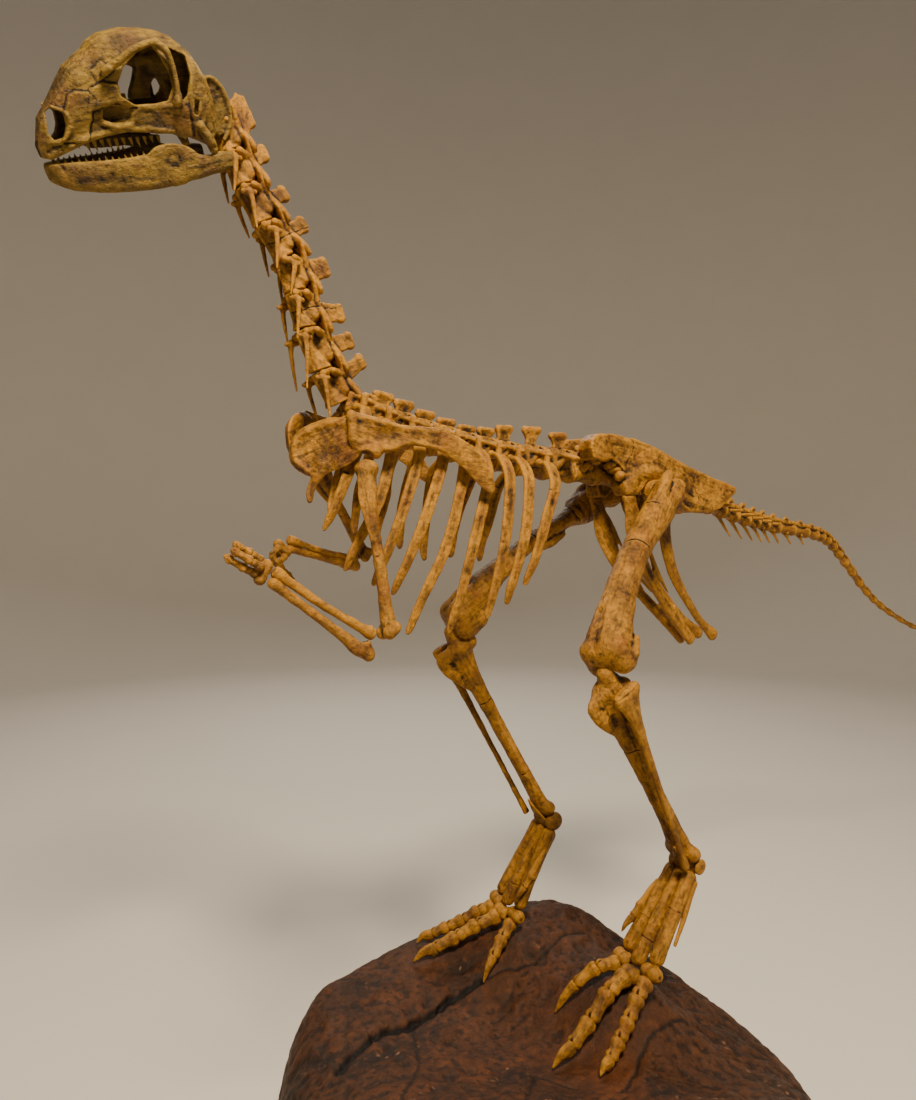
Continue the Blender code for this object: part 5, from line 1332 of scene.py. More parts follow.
def pubis(side, word, looks):
    """The pubis: a deep apron with two slots, running back into a rod with a closed, swollen end."""
    clay = Clay(0.00169)
    rows = (
        (-0.046, side * 0.037, -0.012, 0.0120, 0.0085), (-0.038, side * 0.036, -0.034, 0.0150, 0.0070),
        (-0.026, side * 0.034, -0.064, 0.0230, 0.0052), (0.006, side * 0.028, -0.116, 0.0190, 0.0044),
        (0.066, side * 0.018, -0.182, 0.0115, 0.0042), (0.112, side * 0.012, -0.226, 0.0085, 0.0044),
        (0.140, side * 0.010, -0.250, 0.0095, 0.0064),
    )
    clay.path(rows, flat=(0, 1, 0), blend=0.003, count=30)
    clay.path([(x - 0.35 * r, y, z - 0.75 * r, 0.0052) for x, y, z, r, _ in rows[1:]], blend=0.004, count=18)
    clay.path([(x + 0.30 * r, y, z + 0.70 * r, 0.0048) for x, y, z, r, _ in rows[2:6]], blend=0.004,
        count=14)
    y = side * 0.026
    clay.slab(((-0.004, -0.084), (0.005, -0.084), (0.026, -0.126), (0.020, -0.132), (0.004, -0.110)),
        y - 0.03, y + 0.03, 0.001, 0.003, True)
    clay.slab(((0.040, -0.146), (0.048, -0.148), (0.088, -0.186), (0.084, -0.192), (0.050, -0.164)),
        y - 0.03, y + 0.03, 0.001, 0.003, True)
    clay.ball((-0.046, side * 0.037, -0.010), (0.0125, 0.0090, 0.0080), 0.003)
    settle(clay.skin(f"Pubis {word}"), f"pubis_{word}", "bone", looks.weathering, 0.010, seed=210 + side)


def ischium(side, word, looks):
    """The ischium: a flat root under the socket, a slim rod and a swollen closed end."""
    clay = Clay(0.00169)
    rows = (
        (0.041, side * 0.037, -0.040, 0.0115, 0.0085), (0.042, side * 0.035, -0.060, 0.0125, 0.0060),
        (0.050, side * 0.033, -0.092, 0.0135, 0.0048), (0.078, side * 0.028, -0.142, 0.0108, 0.0046),
        (0.140, side * 0.020, -0.207, 0.0076, 0.0048), (0.172, side * 0.017, -0.232, 0.0082, 0.0060),
        (0.192, side * 0.016, -0.246, 0.0118, 0.0078),
    )
    clay.path(rows, flat=(0, 1, 0), blend=0.003, count=30)
    clay.stroke((0.062, side * 0.031, -0.128), (0.086, side * 0.027, -0.160), 0.0070, 0.0040, (0, 1, 0),
        2.2, 0.004)
    clay.stroke((0.060, side * 0.0365, -0.080), (0.120, side * 0.0250, -0.182), 0.0015, blend=0.002,
        carve=True)
    settle(clay.skin(f"Ischium {word}"), f"ischium_{word}", "bone", looks.weathering, 0.010, seed=220 + side)


# The legs ---------------------------------------------------------------------------------------


def limb_axes(top, low, side):
    """Length and axes (out, forward, down) of a limb bone."""
    down = unit(np.asarray(low) - np.asarray(top))
    out = unit(np.array((0.0, side, 0.0)) - down * down[1] * side)
    return np.linalg.norm(np.asarray(low) - np.asarray(top)), np.array((out, np.cross(out, down) * side,
        down))


def femur(side, word, looks):
    """The thigh bone: ball, neck, two hip processes, a bowed shaft and two knuckles at the knee."""
    hip, knee = np.array(HIP_JOINT[side]), np.array(KNEE[side])
    long, axes = limb_axes(hip, knee, side)
    out = np.array((0.0, side, 0.0))
    clay = Clay(0.00181, hip, axes)
    down = axes[2]
    forward = unit(np.cross(out, down) * side)
    top, low = hip + out * 0.026 + down * 0.004, knee - down * 0.015
    slim = 1.0 if side == LEFT else 0.60
    rows = []
    for share, wide, deep, bow in (
        (0.03, 0.0205, 0.0245, 0.001), (0.10, 0.0215, 0.0280, 0.003), (0.22, 0.0212, 0.0260 * slim, 0.009),
        (0.36, 0.0206, 0.0230 * slim, 0.017), (0.50, 0.0208, 0.0224 * slim, 0.021),
        (0.68, 0.0222, 0.0235 * (slim + 1) / 2, 0.019), (0.80, 0.0262, 0.0250, 0.015),
        (0.90, 0.0318, 0.0285, 0.009), (0.96, 0.0330, 0.0290, 0.005),
    ):
        rows.append((*clay.local(top + (low - top) * share + forward * bow), deep, wide))
    clay.path(rows, flat=(1, 0, 0), blend=0.006, count=30)
    ball = clay.local(hip + out * 0.004)
    clay.ball(ball - (0.006, 0, 0.002), (0.0205, 0.0198, 0.0198), 0.003)
    clay.stroke(ball + (0.002, 0, 0.0), ball + (0.026, -0.002, 0.010), 0.0170, 0.0190, blend=0.008)
    clay.stroke((0.030, -0.012, -0.012), (0.033, -0.004, 0.024), 0.0140, 0.0155, blend=0.008)
    clay.path(((0.036, 0.024, -0.002, 0.0072), (0.037, 0.026, 0.016, 0.0092),
        (0.031, 0.022, 0.056, 0.0080)), blend=0.006)
    clay.stroke((0.046, 0.0125, -0.018), (0.040, 0.0140, 0.022), 0.0026, 0.0018, blend=0.002, carve=True)
    behind = 0.0 if side == LEFT else 0.011
    clay.path(((0.008, behind - 0.014, long * 0.30, 0.006), (0.004, behind - 0.010, long * 0.38, 0.009),
        (0.006, behind - 0.004, long * 0.46, 0.006)), blend=0.006)
    # Knuckles: short and squared off below, with a channel in front and behind.
    for across, back, size in ((-0.0180, -0.0135, 0.0180), (0.0180, -0.0120, 0.0172)):
        clay.stroke((across, back, long - 0.044), (across, back + 0.002, long - 0.019), size * 0.90, size,
            blend=0.006)
        clay.stroke((across, back + 0.002, long - 0.020), (across * 0.95, 0.012, long - 0.021), size,
            size * 0.95, blend=0.006)
    clay.stroke((0.0330, -0.008, long - 0.050), (0.0335, -0.010, long - 0.028), 0.0050, 0.0070, blend=0.005)
    clay.path(((0.000, 0.046, long - 0.066, 0.010), (0.001, 0.0395, long - 0.030, 0.0085),
        (0.001, 0.030, long + 0.006, 0.009)), blend=0.006, carve=True)
    clay.path(((0.001, -0.042, long - 0.066, 0.011), (0.001, -0.034, long - 0.030, 0.0095),
        (0.001, -0.020, long + 0.008, 0.010)), blend=0.006, carve=True)
    rings = ((long * 0.19, 20, 290, 0.0010), (long * 0.435, 10, 330, 0.0013),
        (long * 0.60, 200, 340, 0.0010))
    cuts_and_shade = ring_cracks(hip + axes[0] * 0.012 + axes[1] * 0.014, axes, rings)
    settle(clay.skin(f"Femur {word}"), f"femur_{word}", "bone", looks.weathering * 3.4, 0.016, cuts_and_shade, 0.0014,
           230 + side)


def tibia(side, word, looks):
    """The shin bone: flared top with a crest in front, round shaft, wide flat lower end."""
    knee, place = np.array(KNEE[side]), np.array(ANKLE[side])
    long, axes = limb_axes(knee, place, side)
    clay = Clay(0.00181, knee, axes)
    start, end = 0.028, long - 0.0165
    slim = 1.0 if side == LEFT else 0.86
    rows = [
        (inward, ahead, start + (end - start) * share, wide * slim, deep * slim)
        for share, wide, deep, ahead, inward in (
            (0.03, 0.0190, 0.0265, 0.004, -0.006), (0.08, 0.0168, 0.0240, 0.006, -0.006),
            (0.20, 0.0138, 0.0172, 0.006, -0.005), (0.45, 0.0124, 0.0134, 0.004, -0.003),
            (0.70, 0.0130, 0.0126, 0.001, -0.001), (0.86, 0.0175, 0.0124, 0.0, 0.0),
            (0.97, 0.0245, 0.0130, 0.0, 0.0),
        )
    ]
    clay.path(rows, flat=(0, 1, 0), blend=0.005, count=28)
    clay.stroke((-0.014, -0.014, start + 0.008), (-0.012, 0.004, start + 0.010), 0.0125, 0.0125, blend=0.005)
    clay.stroke((0.006, -0.016, start + 0.011), (0.006, -0.004, start + 0.012), 0.0105, 0.0110, blend=0.005)
    clay.stroke((-0.002, 0.000, start - 0.018), (-0.002, 0.002, start + 0.006), 0.0120, 0.0150, blend=0.006)
    crest = ((-0.006, 0.026, start + 0.010, 0.0110, 0.0085), (-0.003, 0.039, start + 0.012, 0.0110, 0.0062),
             (-0.002, 0.033, start + 0.036, 0.0120, 0.0058), (-0.003, 0.018, start + 0.070, 0.0080, 0.0060))
    clay.path(crest, flat=(1, 0, 0), blend=0.006)
    clay.path(((0.010, 0.004, start + 0.060, 0.0050), (0.011, 0.003, start + 0.100, 0.0060),
        (0.008, 0.003, start + 0.135, 0.0040)), blend=0.005)
    clay.path(((0.013, 0.024, start - 0.002, 0.0070), (0.013, 0.022, start + 0.045, 0.0055)), blend=0.005,
        carve=True)
    clay.stroke((0.001, -0.032, start - 0.002), (-0.002, -0.024, start + 0.040), 0.0060, 0.0040,
        blend=0.004, carve=True)
    clay.stroke((-0.018, -0.002, end - 0.010), (0.021, -0.002, end - 0.010), 0.0106, 0.0098, blend=0.006)
    rings = ((long * 0.36, 10, 200, 0.0009), (long * 0.74, 120, 340, 0.0008))
    settle(clay.skin(f"Tibia {word}"), f"tibia_{word}", "bone", looks.weathering * 2.6, 0.014,
           ring_cracks(knee, axes, rings), 0.0009, 240 + side)


def fibula(side, word, looks):
    """The splint bone outside the shin: a flat head drawn out into a thin rod."""
    knee, place = np.array(KNEE[side]), np.array(ANKLE[side])
    _, axes = limb_axes(knee, place, side)
    out, forward, down = axes
    (top_out, top_ahead), (low_out, low_ahead) = FIBULA_PLACE[side]
    top = knee + down * 0.032 + out * top_out + forward * top_ahead
    low = place - down * 0.022 + out * low_out + forward * low_ahead
    flare = 1.0 if side == LEFT else 0.62
    rows = []
    for share, wide, deep in (
        (0.00, 0.0080, 0.0225), (0.025, 0.0086, 0.0235), (0.08, 0.0066, 0.0165), (0.16, 0.0056, 0.0105),
        (0.30, 0.0050, 0.0072), (0.60, 0.0042, 0.0050), (0.90, 0.0046, 0.0052), (1.00, 0.0058, 0.0068),
    ):
        deep = 0.0045 + (deep - 0.0045) * flare
        rows.append((*(top + (low - top) * share), wide * (0.6 + 0.4 * flare), deep))
    bumps = ((0.20, 90, 0.0020, 0.05, 40), (0.05, 200, -0.0020, 0.05, 50), (0.03, 20, -0.0022, 0.04, 40))
    obj = ring_mesh(f"Fibula {word}", shaft_points(rows, 220, 30, out, bumps, (0.5, 0.6), 2.2))
    cuts_and_shade = ring_cracks(top, axes, ((0.19, 0, 359, 0.0006),))
    settle(obj, f"fibula_{word}", "bone", looks.weathering * 2.0, 0.012, cuts_and_shade, 0.0005, 250 + side)


def ankle(side, word, looks):
    """The ankle: a waisted roller with a flame of bone up the shin, and a disc outside it."""
    knee, place = np.array(KNEE[side]), np.array(ANKLE[side])
    _, axes = limb_axes(knee, place, side)
    clay = Clay(0.00136, place, axes)
    clay.stroke((-0.016, 0, 0), (0.012, 0, 0), 0.0118, 0.0112, blend=0.004)
    clay.ball((-0.0165, 0.001, 0.000), (0.0095, 0.0158, 0.0148), 0.004)
    clay.ball((0.0115, 0.000, 0.000), (0.0085, 0.0142, 0.0135), 0.004)
    clay.path(((0.000, 0.0115, -0.008, 0.0135, 0.0040), (0.003, 0.0135, -0.026, 0.0090, 0.0028),
        (0.005, 0.0140, -0.048, 0.0030, 0.0020)), flat=(0, 1, 0), blend=0.003)
    settle(clay.skin(f"Astragalus {word}"), f"ankle_{word}", "bone", looks.weathering, 0.010,
           seed=260 + side)
    disc = Clay(0.00136, place, axes)
    disc.ball((0.0245, -0.001, -0.002), (0.0048, 0.0118, 0.0118), 0.002)
    disc.ball((0.0300, -0.001, -0.002), (0.0026, 0.0065, 0.0065), 0.002, True)
    settle(disc.skin(f"Calcaneum {word}"), f"ankle_{word}", "bone", looks.weathering * 0.6, 0.008,
           seed=262 + side)


def foot_axes(side):
    """Ankle, lower end of the instep and axes (out, forward, down) of the instep."""
    _, axes = limb_axes(ANKLE[side], INSTEP_END[side], side)
    return np.array(ANKLE[side]), np.array(INSTEP_END[side]), axes


def instep_end(side, digit):
    """Centre of a main instep bone's lower joint."""
    _, end, (out, forward, down) = foot_axes(side)
    back = {2: 0.012, 3: 0.0, 4: 0.018 if side == LEFT else 0.006}[digit]
    return end + out * INSTEP_SPREAD[digit] - down * back - forward * (0.0 if digit == 3 else 0.004)


def instep(side, word, looks):
    """The instep: three long bones pressed together at the top, each with a pulley, and a splint."""
    place, end, axes = foot_axes(side)
    out, forward, down = axes
    top = place + down * 0.017
    for digit in (2, 3, 4):
        start, finish = top + out * INSTEP_SPREAD[digit] * 0.60, instep_end(side, digit)
        long, own = limb_axes(start, finish, side)
        clay = Clay(0.00147, start, own)
        thin = 0.82 if digit == 3 else 1.0
        rows = ((0, 0, 0.004, 0.0132, 0.0106 * thin), (0, 0, long * 0.10, 0.0128, 0.0100 * thin),
                (0, 0.001, long * 0.25, 0.0114, 0.0098 * thin), (0, 0.002, long * 0.60, 0.0104, 0.0106),
                (0, 0.001, long * 0.85, 0.0106, 0.0112))
        clay.path(rows, flat=(1, 0, 0), blend=0.003, count=20)
        clay.stroke((-0.0058, 0, long), (0.0058, 0, long), 0.0112, 0.0112, blend=0.003)
        clay.stroke((-0.0072, -0.002, long - 0.001), (-0.0070, 0.003, long), 0.0088, 0.0088, blend=0.002)
        clay.stroke((0.0072, -0.002, long - 0.001), (0.0070, 0.003, long), 0.0088, 0.0088, blend=0.002)
        clay.path(((0, 0.0165, long - 0.010, 0.0026), (0, 0.0145, long + 0.006, 0.0028),
            (0, 0.004, long + 0.0150, 0.0028), (0, -0.010, long + 0.0105, 0.0028),
            (0, -0.0155, long - 0.004, 0.0028)), blend=0.0025, carve=True)
        clay.ball((0.0178, 0.001, long - 0.001), (0.0030, 0.0044, 0.0044), 0.0025, True, pair=0)
        clay.ball((0, 0.013, long - 0.018), (0.0050, 0.0035, 0.0060), 0.003, True)
        name = f"Metatarsal {digit} {word}"
        cuts_and_shade = ring_cracks(start, own, ((long * (0.30 + 0.12 * digit % 0.4), 0, 359, 0.0007),))
        settle(clay.skin(name), f"instep_{word}", "bone", looks.weathering, 0.010, cuts_and_shade, 0.0006,
               270 + digit + side)
    splint_top = top + out * 0.0215 - forward * 0.005 + down * 0.004
    splint_end = splint_top + (end - place) * 0.50 + out * 0.010 - forward * 0.012
    rows = [
        (*(splint_top + (splint_end - splint_top) * s - forward * b), w, d)
        for s, w, d, b in (
            (0, 0.0062, 0.0078, 0), (0.2, 0.0046, 0.0060, 0.001), (0.6, 0.0034, 0.0044, 0.002),
            (1, 0.0022, 0.0026, -0.001),
        )
    ]
    obj = ring_mesh(f"Metatarsal 5 {word}", shaft_points(rows, 70, 20, out, (), (0.6, 1.0)))
    settle(obj, f"instep_{word}", "bone", looks.weathering * 0.6, 0.008, seed=280 + side)


def toe_bone(name, node, start, end, size, up, looks, seed):
    """A finger or toe bone: cupped root, waist, two-wheeled pulley with a groove round it."""
    way = unit(np.asarray(end) - np.asarray(start))
    up = unit(up - way * (way @ up))
    long = np.linalg.norm(np.asarray(end) - np.asarray(start))
    clay = Clay(min(0.00125, size * 0.125), start, (way, np.cross(up, way), up))
    s, soft = size, size * 0.30
    rows = ((s * 0.40, 0, 0.02 * s, 0.98 * s), (long * 0.22, 0, 0.02 * s, 0.90 * s),
            (long * 0.50, 0, 0, 0.78 * s),
            (long * 0.76, 0, 0, 0.80 * s), (long - s * 0.68, 0, 0, 0.82 * s))
    clay.path(rows, blend=soft, count=10)
    clay.stroke((s * 0.40, 0.26 * s, -0.20 * s), (s * 0.44, 0.26 * s, 0.20 * s), 0.72 * s, 0.68 * s,
        blend=soft, pair=1)
    clay.stroke((s * 0.34, 0, 0.64 * s), (s * 0.9, 0, 0.50 * s), 0.36 * s, 0.30 * s, blend=soft)
    clay.ball((-s * 0.66, 0, 0), (0.80 * s, 0.80 * s, 0.85 * s), soft * 0.6, True)
    clay.stroke((long - 0.62 * s, 0.28 * s, -0.08 * s), (long - 0.50 * s, 0.30 * s, 0.10 * s), 0.60 * s,
        0.58 * s, blend=soft, pair=1)
    pulley = ((long - 0.5 * s, 0, 0.84 * s, 0.12 * s), (long + 0.16 * s, 0, 0.10 * s, 0.16 * s),
        (long - 0.2 * s, 0, -0.70 * s, 0.12 * s))
    clay.path(pulley, blend=soft, carve=True)
    settle(clay.skin(name), node, "bone", looks.weathering * 0.9, 0.007, seed=seed)


def claw(name, node, places, size, up, looks, seed):
    """A claw: flattened cone through three places, a deep root, a groove along each side."""
    root, middle, tip = (np.asarray(p, float) for p in places)
    way = unit(tip - root)
    up = unit(up - way * (way @ up))
    clay = Clay(min(0.00115, size * 0.115), root, (way, np.cross(up, way), up))
    mid, end = clay.local(middle), clay.local(tip)
    s = size
    late = ((mid[0] + end[0]) / 2, (mid[2] * 1.2 + end[2]) / 2)
    rows = ((0.10 * s, 0, 0.0, 1.04 * s, 0.80 * s), (0.8 * s, 0, mid[2] * 0.6, 0.96 * s, 0.72 * s),
            (mid[0], 0, mid[2] + 0.10 * s, 0.70 * s, 0.52 * s), (late[0], 0, late[1], 0.44 * s, 0.34 * s),
            (end[0] - 0.3 * s, 0, end[2] + 0.02 * s, 0.15 * s, 0.14 * s))
    clay.path(rows, flat=(0, 1, 0), blend=s * 0.15, count=20)
    clay.ball((0.55 * s, 0, -0.74 * s), (0.55 * s, 0.44 * s, 0.34 * s), s * 0.25)
    clay.ball((-s * 0.55, 0, 0), (0.62 * s, 0.72 * s, 0.90 * s), s * 0.12, True)
    groove = ((0.9 * s, 0.84 * s, mid[2] * 0.5 - 0.05 * s, 0.11 * s), (mid[0], 0.60 * s, mid[2] + 0.06 * s,
        0.11 * s), (late[0], 0.40 * s, late[1] + 0.04 * s, 0.08 * s))
    clay.path(groove, blend=s * 0.08, carve=True, pair=1)
    settle(clay.skin(name), node, "bone", looks.weathering * 0.6, 0.006, seed=seed)


def first_toe(side, word, looks):
    """The small inner toe: a splint of instep, one bone and a claw, hung beside the instep."""
    place, _, (out, forward, down) = foot_axes(side)
    top = place + down * 0.046 - out * 0.0280 + forward * 0.004
    low = top + down * 0.092 - out * 0.006 + forward * 0.012
    spots = [top + (low - top) * s for s in (0, 0.44, 0.45, 0.70, 0.71, 0.86, 1.0)]
    rows = [
        (*(top + (spots[1] - top) * s), w, d)
        for s, w, d in ((0, 0.0024, 0.0036), (0.4, 0.0042, 0.0058), (0.75, 0.0044, 0.0056), (1, 0.0058, 0.0064))
    ]
    obj = ring_mesh(f"Metatarsal 1 {word}", shaft_points(rows, 60, 20, out, (), (1.2, 0.7)))
    node = f"toe_1_{word}"
    settle(obj, node, "bone", looks.weathering * 0.9, 0.008, seed=290)
    toe_bone(f"Toe 1 bone 1 {word}", node, spots[2], spots[3], 0.0064, forward, looks, 291)
    claw(f"Toe 1 claw {word}", node, (spots[4], spots[5] + forward * 0.002, spots[6]), 0.0060, forward,
         looks, 292)


def rock_height(x, y):
    """Height of the rock's top over its underside: crown * sqrt(1 - share^5)."""
    u, v = rock_axes(x, y)
    return rock_crown(u, v) * np.sqrt(np.maximum(0.0, 1 - rock_share(u, v) ** ROCK_EDGE_POWER))


ROCK_TURN = math.radians(-34)
ROCK_REACH = ((0.412, 0.400), (0.380, 0.335))
ROCK_POWER, ROCK_EDGE_POWER = 2.4, 5
ROCK_CROWN = (0.162, -0.079, -0.133, 0.252, 1.430, -0.335)
ROCK_LOBES = ((0.085, 0.028, 0.231, 0.141), (0.093, 0.108, 0.042, 0.095), (0.078, -0.405, 0.083, 0.092))
TOE_GAP = 0.0013


def rock_axes(x, y):
    """A place along the rock's own two axes."""
    dx, dy = x + HIP[0], y + HIP[1]
    cos, sin = math.cos(ROCK_TURN), math.sin(ROCK_TURN)
    return dx * cos + dy * sin, -dx * sin + dy * cos


def rock_crown(u, v):
    """The rock's crown: a second-order slope with three lobes."""
    a, b, c, d, e, f = ROCK_CROWN
    crown = a + b * u + c * v + d * u * u + e * v * v + f * u * v
    for height, at_u, at_v, reach in ROCK_LOBES:
        crown = crown + height * np.exp(-((u - at_u) ** 2 + (v - at_v) ** 2) / reach**2)
    return crown


def rock_share(u, v):
    """How far out a place lies: 0 at the middle of the plan, 1 on its edge."""
    reach_u = np.where(u < 0, *ROCK_REACH[0])
    reach_v = np.where(v < 0, *ROCK_REACH[1])
    return (np.abs(u / reach_u) ** ROCK_POWER + np.abs(v / reach_v) ** ROCK_POWER) ** (1 / ROCK_POWER)


def toe_places(side, digit):
    """Joints of a toe and its thickness there; every place keeps clear of the rock below it."""
    start = instep_end(side, digit)
    _, _, (_, forward, down) = foot_axes(side)
    start = start + down * 0.0145 + forward * 0.002
    tip = np.array(TOE_TIP[side][digit])
    count = 2 * {2: 2, 3: 3, 4: 4}[digit] + 2
    rows = []
    for k in range(count + 1):
        share = k / count
        x, y = start[:2] + (tip - start[:2]) * share
        size = TOE_RADIUS[digit] * (1.06 if k % 2 == 0 else 0.86) * (1 - 0.22 * share)
        if k >= count - 1:
            size = TOE_RADIUS[digit] * (0.52 if k == count - 1 else 0.16)
        reach = np.array((-size, 0, size))
        floor = rock_height(x + reach[:, None], y + reach[None]).max() - HIP[2] + size
        hang = start[2] + (floor - start[2]) * min(1.0, share * 3.2)
        arch = 0.005 * math.sin(math.pi * min(1.0, share * 1.2))
        rows.append((x, y, max(hang, floor) + arch + TOE_GAP, size))
    return np.array(rows)


def toe(side, digit, word, looks):
    """A toe: its bones end to end and a claw whose point rests on the rock."""
    rows = toe_places(side, digit)
    node = f"toe_{digit}_{word}"
    up = np.array((0.0, 0.0, 1.0))
    bones = len(rows) // 2 - 1
    for k in range(bones):
        a, b = rows[2 * k, :3], rows[2 * k + 2, :3]
        gap = 0.02 * (b - a)
        size = (rows[2 * k, 3] + rows[2 * k + 2, 3]) / 2 if k < bones - 1 else rows[2 * k, 3] * 0.97
        toe_bone(f"Toe {digit} bone {k + 1} {word}", node, a + gap, b - gap, size, up, looks,
            300 + 10 * digit + k)
    size = TOE_RADIUS[digit] * 0.80
    places = [rows[2 * bones, :3] + (0, 0, -0.001), rows[2 * bones + 1, :3] + (0, 0, size * 0.55),
        rows[2 * bones + 2, :3]]
    claw(f"Toe {digit} claw {word}", node, places, size, up, looks, 340 + digit)


# The arms ---------------------------------------------------------------------------------------


def girdle(side, rows):
    """Shoulder-girdle stations: x, y, z, half height and half thickness, moved to their side."""
    shift = np.array(GIRDLE_SHIFT[side])
    return [(*(np.array((x, side * y, z)) + shift), deep, wide) for x, y, z, wide, deep in rows]


def scapula(side, word, looks):
    """The shoulder blade: a long thin strap that widens to its end, with a lip over the socket."""
    clay = Clay(0.00158)
    rows = ((-0.5440, 0.0860, 0.038, 0.0070, 0.0190), (-0.5150, 0.0905, 0.037, 0.0052, 0.0150),
            (-0.4840, 0.0925, 0.044, 0.0042, 0.0112), (-0.4450, 0.0935, 0.043, 0.0040, 0.0128),
            (-0.4000, 0.0935, 0.024, 0.0036, 0.0162), (-0.3720, 0.0920, -0.002, 0.0030, 0.0128),
            (-0.3620, 0.0915, -0.014, 0.0026, 0.0070))
    clay.path(girdle(side, rows), flat=(0, 1, 0), blend=0.004, count=34)
    crest = ((-0.554, 0.0850, 0.058, 0.0046, 0.0088), (-0.522, 0.0900, 0.053, 0.0046, 0.0078),
        (-0.500, 0.0915, 0.049, 0.0044, 0.0050))
    clay.path(girdle(side, crest), flat=(0, 1, 0), blend=0.005)
    for rim in (((-0.560, 0.0880, 0.062), (-0.530, 0.0925, 0.058), (-0.494, 0.0950, 0.052),
            (-0.448, 0.0960, 0.052)), ((-0.540, 0.0905, 0.027), (-0.512, 0.0930, 0.027),
            (-0.484, 0.0950, 0.036), (-0.440, 0.0955, 0.031))):
        clay.path(girdle(side, [(*place, 0.0026, 0.0026) for place in rim]), blend=0.005)
    for low, end in (((-0.528, 0.088, 0.020, 0.0070, 0.0070), (-0.545, 0.087, 0.022, 0.0078, 0.0078)),
            ((-0.560, 0.0860, 0.064, 0.0050, 0.0050), (-0.556, 0.0880, 0.036, 0.0046, 0.0046))):
        clay.path(girdle(side, (low, end)), blend=0.004)
    dish = girdle(side, ((-0.527, 0.0985, 0.041, 0, 0),))[0][:3]
    clay.ball(dish, (0.030, 0.0082, 0.0110), 0.006, True)
    socket = np.array(SHOULDER[side]) + (0, -side * 0.001, 0.004)
    clay.ball(socket, (0.0125, 0.0120, 0.0125), 0.002, True)
    settle(clay.skin(f"Scapula {word}"), f"scapula_{word}", "bone", looks.weathering * 2.2, 0.014,
           seed=350 + side)


def coracoid(side, word, looks):
    """The coracoid: a thin curved plate before the chest, rimmed, with a hook."""
    clay = Clay(0.00136)
    facing = (0.73, -side * 0.68, 0.0)
    rows = ((-0.5560, 0.0800, 0.030, 0.0050, 0.0150), (-0.5660, 0.0700, 0.028, 0.0042, 0.0250),
            (-0.5800, 0.0550, 0.025, 0.0034, 0.0275), (-0.5930, 0.0415, 0.022, 0.0032, 0.0235))
    clay.path(girdle(side, rows), flat=facing, blend=0.004, count=22)
    rim = ((-0.555, 0.082, 0.052, 0.0036, 0.0036), (-0.571, 0.067, 0.056, 0.0034, 0.0034),
           (-0.589, 0.049, 0.050, 0.0034, 0.0034), (-0.606, 0.034, 0.036, 0.0034, 0.0034),
           (-0.607, 0.033, 0.014, 0.0032, 0.0032), (-0.596, 0.044, 0.000, 0.0036, 0.0036))
    clay.path(girdle(side, rim), blend=0.012, count=22)
    hook = ((-0.584, 0.054, 0.006, 0.0046, 0.0095), (-0.588, 0.050, -0.012, 0.0034, 0.0050))
    clay.path(girdle(side, hook), flat=facing, blend=0.006)
    settle(clay.skin(f"Coracoid {word}"), f"coracoid_{word}", "bone", looks.weathering * 3.0, 0.010,
           seed=352 + side)


def humerus(side, word, looks):
    """The upper arm: a rounded head, a low thin crest down the front and two knuckles at the elbow."""
    top, low = np.array(SHOULDER[side]), np.array(ELBOW[side])
    long, axes = limb_axes(top, low, side)
    clay = Clay(0.00147, top, axes)
    rows = ((0, 0, 0.008, 0.0125, 0.0092), (0, 0.001, long * 0.12, 0.0112, 0.0084),
            (0, 0.001, long * 0.30, 0.0074, 0.0068), (0, 0, long * 0.55, 0.0068, 0.0066),
            (0, 0, long * 0.80, 0.0080, 0.0074), (0, 0, long * 0.93, 0.0104, 0.0088))
    clay.path(rows, flat=(1, 0, 0), blend=0.003, count=20)
    clay.ball((0, -0.001, 0.005), (0.0105, 0.0135, 0.0080), 0.006)
    clay.path(((0.004, 0.008, 0.018, 0.0070, 0.0034), (0.005, 0.011, long * 0.20, 0.0070, 0.0030),
        (0.005, 0.009, long * 0.30, 0.0060, 0.0030), (0.003, 0.005, long * 0.42, 0.0045, 0.0034)),
        flat=(1, 0, 0), blend=0.004)
    clay.stroke((-0.010, -0.006, 0.012), (-0.006, -0.004, 0.040), 0.0056, 0.0040, blend=0.004)
    for across in (-0.0088, 0.0088):
        clay.stroke((across, -0.003, long - 0.014), (across * 0.9, 0.004, long - 0.009), 0.0082, 0.0080,
            blend=0.003)
    clay.stroke((0, 0.016, long - 0.026), (0, 0.010, long + 0.004), 0.0045, blend=0.003, carve=True)
    clay.stroke((0, -0.015, long - 0.026), (0, -0.012, long - 0.004), 0.0045, blend=0.003, carve=True)
    cuts_and_shade = ring_cracks(top, axes, ((long * 0.52, 0, 200, 0.0007),))
    settle(clay.skin(f"Humerus {word}"), f"humerus_{word}", "bone", looks.weathering * 2.4, 0.012, cuts_and_shade,
           0.0006, 360 + side)


